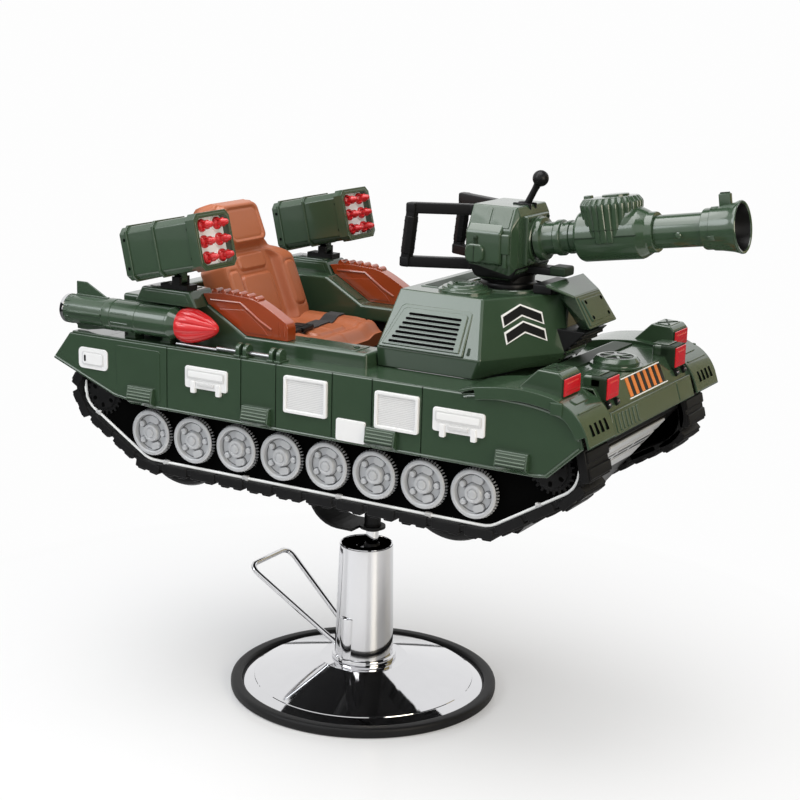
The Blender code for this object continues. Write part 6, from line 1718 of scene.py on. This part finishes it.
def build_rockets():
    """Two side rockets with ringed bodies, fins, fluted red noses and their feet."""
    z = ROCKET_Z
    for name, side in SIDES.items():
        y = side * ROCKET_Y
        at = forward(0.0, y, z)
        item = Piece(green, deep_green, missile_red, chrome)
        item.add(spun([(0, -0.5745), (0.019, -0.5745), (0.0225, -0.578), (0.0245, -0.5865),
                       (0.0265, -0.5878), (0.0298, -0.587), (0.0306, -0.584), (0.0312, -0.474),
                       (0.033, -0.4715), (0.0345, -0.469), (0.0345, -0.45), (0.0332, -0.4485),
                       (0.0335, -0.448), (0.0335, -0.39), (0.0345, -0.389), (0.0345, -0.383),
                       (0.0335, -0.382), (0.0335, -0.304), (0.0345, -0.3025), (0.0345, -0.297),
                       (0.033, -0.295), (0.0275, -0.281), (0.027, -0.276), (0, -0.276)], 56), at=at)
        item.around(10, block((0.0320, -0.0016, -0.446), (0.0346, 0.0016, -0.400), 0.0008, 1), at)
        item.disc(at, 0.018, -0.575, -0.574, deep_green, steps=32)
        item.add(spun([(0.0258, -0.5884), (0.03, -0.588), (0.0318, -0.5856), (0.032, -0.5775),
                       (0.03, -0.577), (0.0258, -0.58)], 56), chrome, at)
        item.around(16, block((0.0300, -0.0022, -0.5765), (0.0322, 0.0022, -0.5640), 0.0008, 1), at)
        item.add(rocket_nose(), missile_red, at)
        for turn, reach in ROCKET_FINS:
            spot = Matrix.Translation((0, y, z)) @ Matrix.Rotation(turn, 4, "X")
            fin = [(-0.562, 0.016), (-0.478, 0.016), (-0.478, 0.0335), (-0.534, reach), (-0.562, reach)]
            item.add(plate(fin, -0.0021, 0.0021, "y", 0.0014), at=spot)
            root = [(-0.566, 0.026), (-0.470, 0.026), (-0.474, 0.0350), (-0.562, 0.0350)]
            item.add(plate(root, -0.0040, 0.0040, "y", 0.002), at=spot)
        for x in ROCKET_FEET:
            item.add(block((x - 0.01, y - 0.012, DECK_Z + 0.0004), (x + 0.01, y + 0.012, z - 0.016),
                           0.0025))
            item.add(block((x - 0.014, y - 0.016, DECK_Z + 0.0004), (x + 0.014, y + 0.016, DECK_Z + 0.006),
                           0.002), deep_green)
        item.finish("rocket_" + name, "tank", "army_green", ["side_rocket_" + name])


# Seat, armrests and belt

SEAT_FOOT = Vector((-0.262, 0.0, 0.790))
SEAT_RECLINE = math.radians(22)
BACK_LENGTH = 0.300
PAN_REAR, PAN_FRONT, PAN_TOP = -0.300, -0.052, 0.808
PAN_HALF = 0.145


def step_up(low, high, value):
    """Smooth change from 0 to 1 between two values."""
    t = min(max((value - low) / (high - low), 0.0), 1.0)
    return t * t * (3 - 2 * t)


def from_border(u, v, low_u, low_v, high_u, high_v, corner):
    """Distance from the border of a rounded rectangle, negative inside."""
    far_u = abs(u - (low_u + high_u) / 2) - (high_u - low_u) / 2 + corner
    far_v = abs(v - (low_v + high_v) / 2) - (high_v - low_v) / 2 + corner
    outside = math.hypot(max(far_u, 0.0), max(far_v, 0.0))
    return outside + min(max(far_u, far_v), 0.0) - corner


def pad(distance, soft):
    """1 inside a border, 0 outside, with a soft edge."""
    return 1.0 - step_up(-soft, soft, distance)


def line(distance, width):
    """A soft ridge along a border."""
    return math.exp(-(distance / width) ** 2)


def back_half(t):
    """Half width of the seat back at a share of its height."""
    shoulder = 0.061 * step_up(0.50, 0.68, t)
    ends = 0.010 * step_up(0.10, 0.0, t) + 0.012 * step_up(0.95, 1.0, t)
    return 0.140 - shoulder - ends


def back_depth(u, v):
    """How far the front of the seat back stands out, at metres across and up."""
    t = v / BACK_LENGTH
    s = abs(u) / back_half(t)
    low = 1.0 - step_up(0.48, 0.66, t)
    bolster = 0.023 * step_up(0.50, 0.62, s) * low
    depth = 0.004 + bolster
    middle = from_border(u, v, -0.056, 0.030, 0.056, 0.128, 0.014)
    depth += 0.0050 * pad(middle, 0.004) - 0.0034 * line(middle, 0.0026)
    upper = from_border(u, v, -0.050, 0.138, 0.050, 0.176, 0.012)
    depth += 0.0045 * pad(upper, 0.004) - 0.0032 * line(upper, 0.0026)
    for way in (-1.0, 1.0):
        side = from_border(u * way, v, 0.088, 0.036, 0.124, 0.140, 0.012)
        depth += (0.0026 * pad(side, 0.003) - 0.0030 * line(side, 0.0024)) * low
    head = from_border(u, v, -0.072, 0.194, 0.072, 0.292, 0.022)
    depth += 0.015 * pad(head, 0.008) - 0.005 * line(head, 0.0045)
    face = from_border(u, v, -0.056, 0.206, 0.056, 0.276, 0.014)
    depth -= 0.0024 * pad(face, 0.0028) + 0.0018 * line(face, 0.0026)
    depth -= 0.006 * math.exp(-((v - 0.186) / 0.006) ** 2)
    rim = step_up(0.90, 1.0, s)
    ends = step_up(0.035, 0.0, t) + step_up(0.965, 1.0, t)
    return depth - (0.017 + bolster * 0.6) * rim ** 2 - 0.014 * min(ends, 1.0) ** 2


def pan_top(u, t):
    """Height of the seat pan's top, at metres across and a share of its length."""
    s = abs(u) / PAN_HALF
    height = PAN_TOP - 0.004 + 0.010 * step_up(0.48, 0.74, s) - 0.018 * step_up(0.90, 1.0, s) ** 2
    v = PAN_REAR + (PAN_FRONT - PAN_REAR) * t
    middle = from_border(u, v, -0.062, -0.235, 0.062, -0.098, 0.016)
    height += 0.0040 * pad(middle, 0.005) - 0.0034 * line(middle, 0.0028)
    height -= 0.0022 * math.exp(-(u / 0.0022) ** 2) * step_up(0.55, 0.62, t)
    height -= 0.0026 * math.exp(-((t - 0.835) / 0.011) ** 2)
    rolled_front = 0.003 * step_up(0.70, 0.85, t) + 0.024 * step_up(0.84, 1.0, t) ** 2
    return height - rolled_front - 0.006 * step_up(0.05, 0.0, t)


def sheet(columns, rows, place):
    """A grid of points set in place by a function of its two shares."""
    bm = bmesh.new()
    bmesh.ops.create_grid(bm, x_segments=columns, y_segments=rows, size=0.5)
    for vert in bm.verts:
        vert.co = place(vert.co.x + 0.5, vert.co.y + 0.5)
    return bm


def closed_back(bm, rings, normal):
    """Close an open sheet behind: each ring moves the border and draws it in, the last one flat."""
    for step, shrink in rings:
        border = [edge for edge in bm.edges if edge.is_boundary]
        made = bmesh.ops.extrude_edge_only(bm, edges=border)
        verts = [item for item in made["geom"] if isinstance(item, bmesh.types.BMVert)]
        centre = sum((vert.co for vert in verts), Vector()) / len(verts)
        for vert in verts:
            vert.co = centre + (vert.co - centre) * shrink + Vector(step)
    for vert in verts:
        vert.co += normal * (centre + Vector(step) - vert.co).dot(normal)
    bmesh.ops.holes_fill(bm, edges=[edge for edge in bm.edges if edge.is_boundary], sides=0)
    bmesh.ops.recalc_face_normals(bm, faces=bm.faces)
    return bm


def build_seat():
    """Tan bucket seat: bolstered back with headrest, and pan with a rolled front."""
    item = Piece(leather)
    up = Vector((-math.sin(SEAT_RECLINE), 0, math.cos(SEAT_RECLINE)))
    out = Vector((math.cos(SEAT_RECLINE), 0, math.sin(SEAT_RECLINE)))

    def on_back(across, high):
        u = (across * 2 - 1) * back_half(high)
        v = high * BACK_LENGTH
        return SEAT_FOOT + up * v + out * back_depth(u, v) + Vector((0, u, 0))

    back = sheet(84, 128, on_back)
    rings = ((out * -0.010, 1.006), (out * -0.014, 0.995), (out * -0.012, 0.96), (out * -0.002, 0.92))
    item.add(closed_back(back, rings, out))

    def on_pan(across, along):
        drawn = 0.07 * step_up(0.80, 1.0, along) + 0.03 * step_up(0.10, 0.0, along)
        u = (across * 2 - 1) * PAN_HALF * (1 - drawn)
        return Vector((PAN_REAR + (PAN_FRONT - PAN_REAR) * along, u, pan_top(u, along)))

    pan = sheet(84, 96, on_pan)
    foot = 0.7580
    rings = (((0, 0, -0.0105), 1.0), ((0, 0, -0.0165), 1.0), ((0, 0, -0.003), 0.97))
    pan = closed_back(pan, rings, Vector((0, 0, 1)))
    low = min(vert.co.z for vert in pan.verts)
    for vert in pan.verts:
        if vert.co.z < low + 0.030:
            vert.co.z = max(vert.co.z, foot)
    item.add(pan)
    seat = item.finish("bucket_seat", "tank", "seat_tan", ["seat"], 60.0)


def build_armrests():
    """Glossy armrests with scalloped tops and a raised line."""
    top = [(-0.042, 0.856), (-0.045, 0.864), (-0.053, 0.8715), (-0.092, 0.893), (-0.128, 0.9075),
           (-0.165, 0.9105), (-0.21, 0.9125), (-0.2565, 0.9065)]
    for name, side in SIDES.items():
        low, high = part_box("armrest_" + name)
        near, far = sorted((abs(low[1]), abs(high[1])))
        outline = [(-0.2420, 0.8853), (-0.2397, 0.8853), (-0.1447, 0.8303), (-0.042, 0.8303)]
        outline += smooth_line(top, 4)
        item = Piece(armrest_brown)
        item.add(plate(outline, side * near, side * far, "y", 0.0062, 3))
        for i in range(6):
            x = -0.228 + 0.0205 * i
            z = 0.9115 - 0.0009 * max(0, i - 2) ** 1.8
            bump = [(0, 0), (0.0066, 0), (0.0082, 0.0018), (0.0082, far - near - 0.0058),
                    (0.0066, far - near - 0.004), (0, far - near - 0.004)]
            item.add(spun(bump, 28), at=outward(x, side, near + 0.002, z))
        ridge = [(-0.236, 0.8960), (-0.160, 0.8975), (-0.112, 0.8650), (-0.082, 0.8500)]
        panel = [(-0.214, 0.8790), (-0.150, 0.8840), (-0.104, 0.8520), (-0.090, 0.8370), (-0.146, 0.8370)]
        for y in (near, far):
            item.add(tube([(x, side * y, z) for x, z in ridge], 0.0026, 12))
            item.add(plate(panel, side * (y - 0.0016), side * (y + 0.0016), "y", 0.0012))
            for x in (-0.062, -0.050):
                item.add(tube([(x, side * y, 0.840), (x, side * y, 0.868)], 0.0016, 12))
        item.finish("arm_pad_" + name, "tank", "armrest_brown", ["armrest_" + name])


def build_belt():
    """Black lap belt across the pan, with its buckle."""
    half = sizes().belt_width / 2
    item = Piece(webbing, black)

    def middle(u):
        return -0.155 - 0.117 * u

    def on_belt(across, along):
        edge = PAN_HALF + 0.0016
        reach = (along * 2 - 1) * (edge + 0.020)
        u = max(-edge, min(edge, reach))
        x = middle(u) + (across * 2 - 1) * half
        t = (x - PAN_REAR) / (PAN_FRONT - PAN_REAR)
        z = pan_top(max(-PAN_HALF, min(PAN_HALF, u)), t) + 0.0014
        return Vector((x, u, z - max(0.0, abs(reach) - edge)))

    strap = sheet(8, 90, on_belt)
    bmesh.ops.recalc_face_normals(strap, faces=strap.faces)
    bmesh.ops.solidify(strap, geom=strap.faces[:], thickness=-0.0022)
    bmesh.ops.recalc_face_normals(strap, faces=strap.faces)
    item.add(strap)
    for u, wide, long in ((-0.055, 0.022, 0.052), (-0.100, 0.020, 0.030)):
        spot = Matrix.Translation((middle(u), u, PAN_TOP + 0.0055))
        turn = spot @ Matrix.Rotation(math.radians(7), 4, "Z")
        item.add(block((-wide, -long / 2, -0.004), (wide, long / 2, 0.0065), 0.003), black, turn)
        item.add(block((-wide * 0.55, -long * 0.3, 0.005), (wide * 0.55, long * 0.3, 0.0082), 0.0016),
                 black, turn)
    item.finish("belt_strap", "tank", "belt_black", ["lap_belt"])


# Studio

CAMERA_TURN, CAMERA_PITCH, CAMERA_ROLL = math.radians(29.864), math.radians(13.648), math.radians(1.592)
CAMERA_LENS, CAMERA_SENSOR = 75.78, 36.0
CAMERA_HEIGHT, CAMERA_SHIFT, CAMERA_DISTANCE = 0.6646, 0.0659, 3.678
BACKDROP = (0.985, 0.985, 0.985, 1.0)


def build_stage():
    """Camera, pale floor, white surroundings and soft lamps."""
    scene = bpy.context.scene
    scene.view_settings.view_transform = "Standard"
    photo_camera(scene)
    studio_floor(scene)
    white_surroundings(scene)
    studio_lamps(scene)
    dark_cards(scene)


def photo_camera(scene):
    """The photo's camera: turned to the side, pitched down and rolled a little."""
    level = math.cos(CAMERA_PITCH)
    back = Vector((math.sin(CAMERA_TURN) * level, -math.cos(CAMERA_TURN) * level, math.sin(CAMERA_PITCH)))
    right = Vector((math.cos(CAMERA_TURN), math.sin(CAMERA_TURN), 0))
    up = back.cross(right)
    across = right * math.cos(CAMERA_ROLL) + up * math.sin(CAMERA_ROLL)
    over = up * math.cos(CAMERA_ROLL) - right * math.sin(CAMERA_ROLL)
    data = bpy.data.cameras.new("photo_camera")
    data.sensor_width = CAMERA_SENSOR
    data.lens = CAMERA_LENS
    data.clip_start = 0.05
    data.clip_end = 60.0
    camera = bpy.data.objects.new("photo_camera", data)
    scene.collection.objects.link(camera)
    place = Vector((0, 0, CAMERA_HEIGHT)) + right * CAMERA_SHIFT + back * CAMERA_DISTANCE
    camera.matrix_world = Matrix.Translation(place) @ Matrix((across, over, back)).transposed().to_4x4()
    scene.camera = camera


def studio_floor(scene):
    """Pale floor that keeps the chair's shadow and fades into the white behind it."""
    bm = bmesh.new()
    bmesh.ops.create_grid(bm, x_segments=1, y_segments=1, size=9.0)
    material = finish("studio_floor", colours().floor, 0.30, tone=0.02, bump=0.0, specular=0.35)
    tree = material.node_tree
    far = node(tree, "ShaderNodeVectorMath", {0: object_place(tree)}, operation="LENGTH")
    fade = node(tree, "ShaderNodeMapRange",
                {"Value": far.outputs["Value"], "From Min": 0.30, "From Max": 1.30, "To Min": 0.25})
    path = tree.nodes.new("ShaderNodeLightPath").outputs
    amount = node(tree, "ShaderNodeMath", {0: fade.outputs["Result"], 1: path["Is Camera Ray"]},
                  operation="MULTIPLY")
    glow = node(tree, "ShaderNodeEmission", {"Color": BACKDROP})
    mix = node(tree, "ShaderNodeMixShader", {"Fac": amount.outputs[0],
                                             1: tree.nodes["Principled BSDF"].outputs["BSDF"],
                                             2: glow.outputs["Emission"]})
    connect(tree, tree.nodes["Material Output"], {"Surface": mix.outputs["Shader"]})
    stage_object(scene, "studio_floor", bm, material)


def stage_object(scene, name, bm, material):
    """An object of the studio, which isn't part of the chair."""
    mesh = to_mesh(bm)
    mesh.materials.append(material)
    item = bpy.data.objects.new(name, mesh)
    scene.collection.objects.link(item)
    return item


def white_surroundings(scene):
    """White seen by the camera and by reflections, plain light on everything else."""
    world = bpy.data.worlds.new("white_room")
    scene.world = world
    world.use_nodes = True
    tree = world.node_tree
    tree.nodes.clear()
    path = tree.nodes.new("ShaderNodeLightPath").outputs
    seen = path["Is Camera Ray"]
    for ray in ("Is Transmission Ray", "Is Glossy Ray"):
        seen = node(tree, "ShaderNodeMath", {0: seen, 1: path[ray]}, operation="MAXIMUM").outputs[0]
    light = node(tree, "ShaderNodeBackground", {"Color": (0.97, 0.98, 1.0, 1.0), "Strength": 0.45})
    backdrop = node(tree, "ShaderNodeBackground", {"Color": BACKDROP, "Strength": 1.0})
    mix = node(tree, "ShaderNodeMixShader", {"Fac": seen, 1: light.outputs[0], 2: backdrop.outputs[0]})
    node(tree, "ShaderNodeOutputWorld", {"Surface": mix.outputs[0]})


LAMPS = (("overhead", (-0.3, -0.6, 3.4), (0.0, 0.0, 0.7), 3.0, 82.0, (1.0, 1.0, 1.0)),
         ("left_front", (-2.3, -3.1, 3.0), (0.0, 0.0, 0.7), 2.2, 50.0, (0.93, 0.97, 1.0)),
         ("right_front", (3.2, -1.2, 1.7), (0.4, 0.0, 0.8), 1.8, 42.0, (1.0, 0.90, 0.72)))


def aimed(place, target, axis):
    """Matrix at a place whose axis points at a target."""
    turn = (Vector(target) - Vector(place)).to_track_quat(axis, "Y")
    return Matrix.Translation(place) @ turn.to_matrix().to_4x4()


def studio_lamps(scene):
    """Large soft lamps: overhead, front left and front right."""
    for name, place, target, size, power, tint in LAMPS:
        data = bpy.data.lights.new(name, "AREA")
        data.shape = "DISK"
        data.size = size
        data.energy = power
        data.color = tint
        lamp = bpy.data.objects.new(name, data)
        scene.collection.objects.link(lamp)
        lamp.matrix_world = aimed(place, target, "-Z")


CARD_TARGET = (0, 0, 0.4)
CARD_TINTS = {"dark_card": (0.02, 0.02, 0.02), "warm_card": (0.46, 0.38, 0.2),
              "grey_card": (0.13, 0.13, 0.13)}
CARDS = (("card_left", (-2.4, -1.4, 0.9), (0.9, 1.8), "dark_card"),
         ("card_right", (2.2, -2.2, 0.8), (0.8, 1.6), "dark_card"),
         ("card_front", (3.4, 0.6, 1.5), (3.4, 2.6), "dark_card"),
         ("card_warm", (2.4, 2.7, 1.5), (2.4, 1.9), "warm_card"))
RINGS = (("dark_floor", 1.25, 7.5, 0.004, 0.008, "grey_card"),
         ("dark_ceiling", 1.7, 3.4, 4.2, 4.21, "dark_card"))


def dark_cards(scene):
    """Boards and rings that only reflections see: they give gloss and chrome their contrast."""
    shapes = []
    for name, near, far, low, high, tint in RINGS:
        shapes.append((name, spun([(near, low), (far, low), (far, high), (near, high)], 96), tint))
    for name, place, size, tint in CARDS:
        bm = bmesh.new()
        bmesh.ops.create_grid(bm, x_segments=1, y_segments=1, size=0.5)
        bmesh.ops.scale(bm, vec=(*size, 1.0), verts=bm.verts)
        shapes.append((name, moved(bm, aimed(place, CARD_TARGET, "Z")), tint))
    for name, shape, tint in shapes:
        card = stage_object(scene, name, shape, finish(tint, CARD_TINTS[tint], 0.9, bump=0.0, specular=0.0))
        card.visible_camera = False
        card.visible_diffuse = False
        card.visible_shadow = False


# Operators


class TANK_OT_stage(bpy.types.Operator):
    """Make the camera, floor and lamps"""
    bl_idname = "tank_chair.stage"
    bl_label = "Studio"

    def execute(self, context):
        build_stage()
        return {"FINISHED"}


class TANK_OT_base(bpy.types.Operator):
    """Make the chrome base, column, ram and carrier"""
    bl_idname = "tank_chair.base"
    bl_label = "Base and column"

    def execute(self, context):
        build_base()
        build_carrier()
        return {"FINISHED"}


class TANK_OT_pedal(bpy.types.Operator):
    """Make the pedal loop"""
    bl_idname = "tank_chair.pedal"
    bl_label = "Pedal"

    def execute(self, context):
        build_pedal()
        return {"FINISHED"}


class TANK_OT_tracks(bpy.types.Operator):
    """Make both tracks"""
    bl_idname = "tank_chair.tracks"
    bl_label = "Tracks"

    def execute(self, context):
        build_tracks()
        return {"FINISHED"}


class TANK_OT_wheels(bpy.types.Operator):
    """Make the sixteen road wheels"""
    bl_idname = "tank_chair.wheels"
    bl_label = "Road wheels"

    def execute(self, context):
        build_wheels()
        return {"FINISHED"}


class TANK_OT_tubes(bpy.types.Operator):
    """Make the light tubes"""
    bl_idname = "tank_chair.tubes"
    bl_label = "Light tubes"

    def execute(self, context):
        build_light_tubes()
        return {"FINISHED"}


class TANK_OT_skirts(bpy.types.Operator):
    """Make the panelled skirts"""
    bl_idname = "tank_chair.skirts"
    bl_label = "Skirts"

    def execute(self, context):
        build_skirts()
        return {"FINISHED"}


class TANK_OT_hull(bpy.types.Operator):
    """Make the deck, sills, fenders and lamp housings"""
    bl_idname = "tank_chair.hull"
    bl_label = "Hull top"

    def execute(self, context):
        build_hull()
        return {"FINISHED"}


class TANK_OT_front(bpy.types.Operator):
    """Make the bumper, bars, grille and lenses"""
    bl_idname = "tank_chair.front"
    bl_label = "Front"

    def execute(self, context):
        build_front()
        return {"FINISHED"}


class TANK_OT_turret(bpy.types.Operator):
    """Make the turret"""
    bl_idname = "tank_chair.turret"
    bl_label = "Turret"

    def execute(self, context):
        build_turret()
        return {"FINISHED"}


class TANK_OT_gun(bpy.types.Operator):
    """Make the gun head and barrel"""
    bl_idname = "tank_chair.gun"
    bl_label = "Gun"

    def execute(self, context):
        build_gun()
        return {"FINISHED"}


class TANK_OT_handles(bpy.types.Operator):
    """Make the two handles and the lever"""
    bl_idname = "tank_chair.handles"
    bl_label = "Handles and lever"

    def execute(self, context):
        build_handles()
        build_lever()
        return {"FINISHED"}


class TANK_OT_pods(bpy.types.Operator):
    """Make the missile pods"""
    bl_idname = "tank_chair.pods"
    bl_label = "Missile pods"

    def execute(self, context):
        build_pods()
        return {"FINISHED"}


class TANK_OT_rockets(bpy.types.Operator):
    """Make the side rockets"""
    bl_idname = "tank_chair.rockets"
    bl_label = "Side rockets"

    def execute(self, context):
        build_rockets()
        return {"FINISHED"}


class TANK_OT_seat(bpy.types.Operator):
    """Make the seat, armrests and lap belt"""
    bl_idname = "tank_chair.seat"
    bl_label = "Seat, armrests and belt"

    def execute(self, context):
        build_seat()
        build_armrests()
        build_belt()
        return {"FINISHED"}


class TANK_PT_panel(bpy.types.Panel):
    """Sidebar list of the chair's pieces and settings"""
    bl_idname = "TANK_PT_panel"
    bl_label = "Tank chair"
    bl_space_type = "VIEW_3D"
    bl_region_type = "UI"
    bl_category = "Tank chair"

    def draw(self, context):
        for operator in OPERATORS:
            self.layout.operator(operator.bl_idname)
        for group in (context.scene.tank_sizes, context.scene.tank_colours):
            column = self.layout.column()
            for name in group.__annotations__:
                column.prop(group, name)


OPERATORS = (TANK_OT_stage, TANK_OT_base, TANK_OT_pedal, TANK_OT_tracks, TANK_OT_wheels, TANK_OT_tubes,
             TANK_OT_skirts, TANK_OT_hull, TANK_OT_front, TANK_OT_turret, TANK_OT_gun, TANK_OT_handles,
             TANK_OT_pods, TANK_OT_rockets, TANK_OT_seat)
CLASSES = (TankColours, TankSizes) + OPERATORS + (TANK_PT_panel,)


def register():
    """Add the classes and the scene's settings."""
    for item in CLASSES:
        bpy.utils.register_class(item)
    bpy.types.Scene.tank_colours = bpy.props.PointerProperty(type=TankColours)
    bpy.types.Scene.tank_sizes = bpy.props.PointerProperty(type=TankSizes)


def unregister():
    """Remove the settings and the classes."""
    del bpy.types.Scene.tank_sizes
    del bpy.types.Scene.tank_colours
    for item in reversed(CLASSES):
        bpy.utils.unregister_class(item)


def main():
    """Build everything in order."""
    register()
    bpy.ops.tank_chair.stage()
    bpy.ops.tank_chair.base()
    bpy.ops.tank_chair.pedal()
    bpy.ops.tank_chair.tracks()
    bpy.ops.tank_chair.wheels()
    bpy.ops.tank_chair.tubes()
    bpy.ops.tank_chair.skirts()
    bpy.ops.tank_chair.hull()
    bpy.ops.tank_chair.front()
    bpy.ops.tank_chair.turret()
    bpy.ops.tank_chair.gun()
    bpy.ops.tank_chair.handles()
    bpy.ops.tank_chair.pods()
    bpy.ops.tank_chair.rockets()
    bpy.ops.tank_chair.seat()


if __name__ == "__main__":
    main()
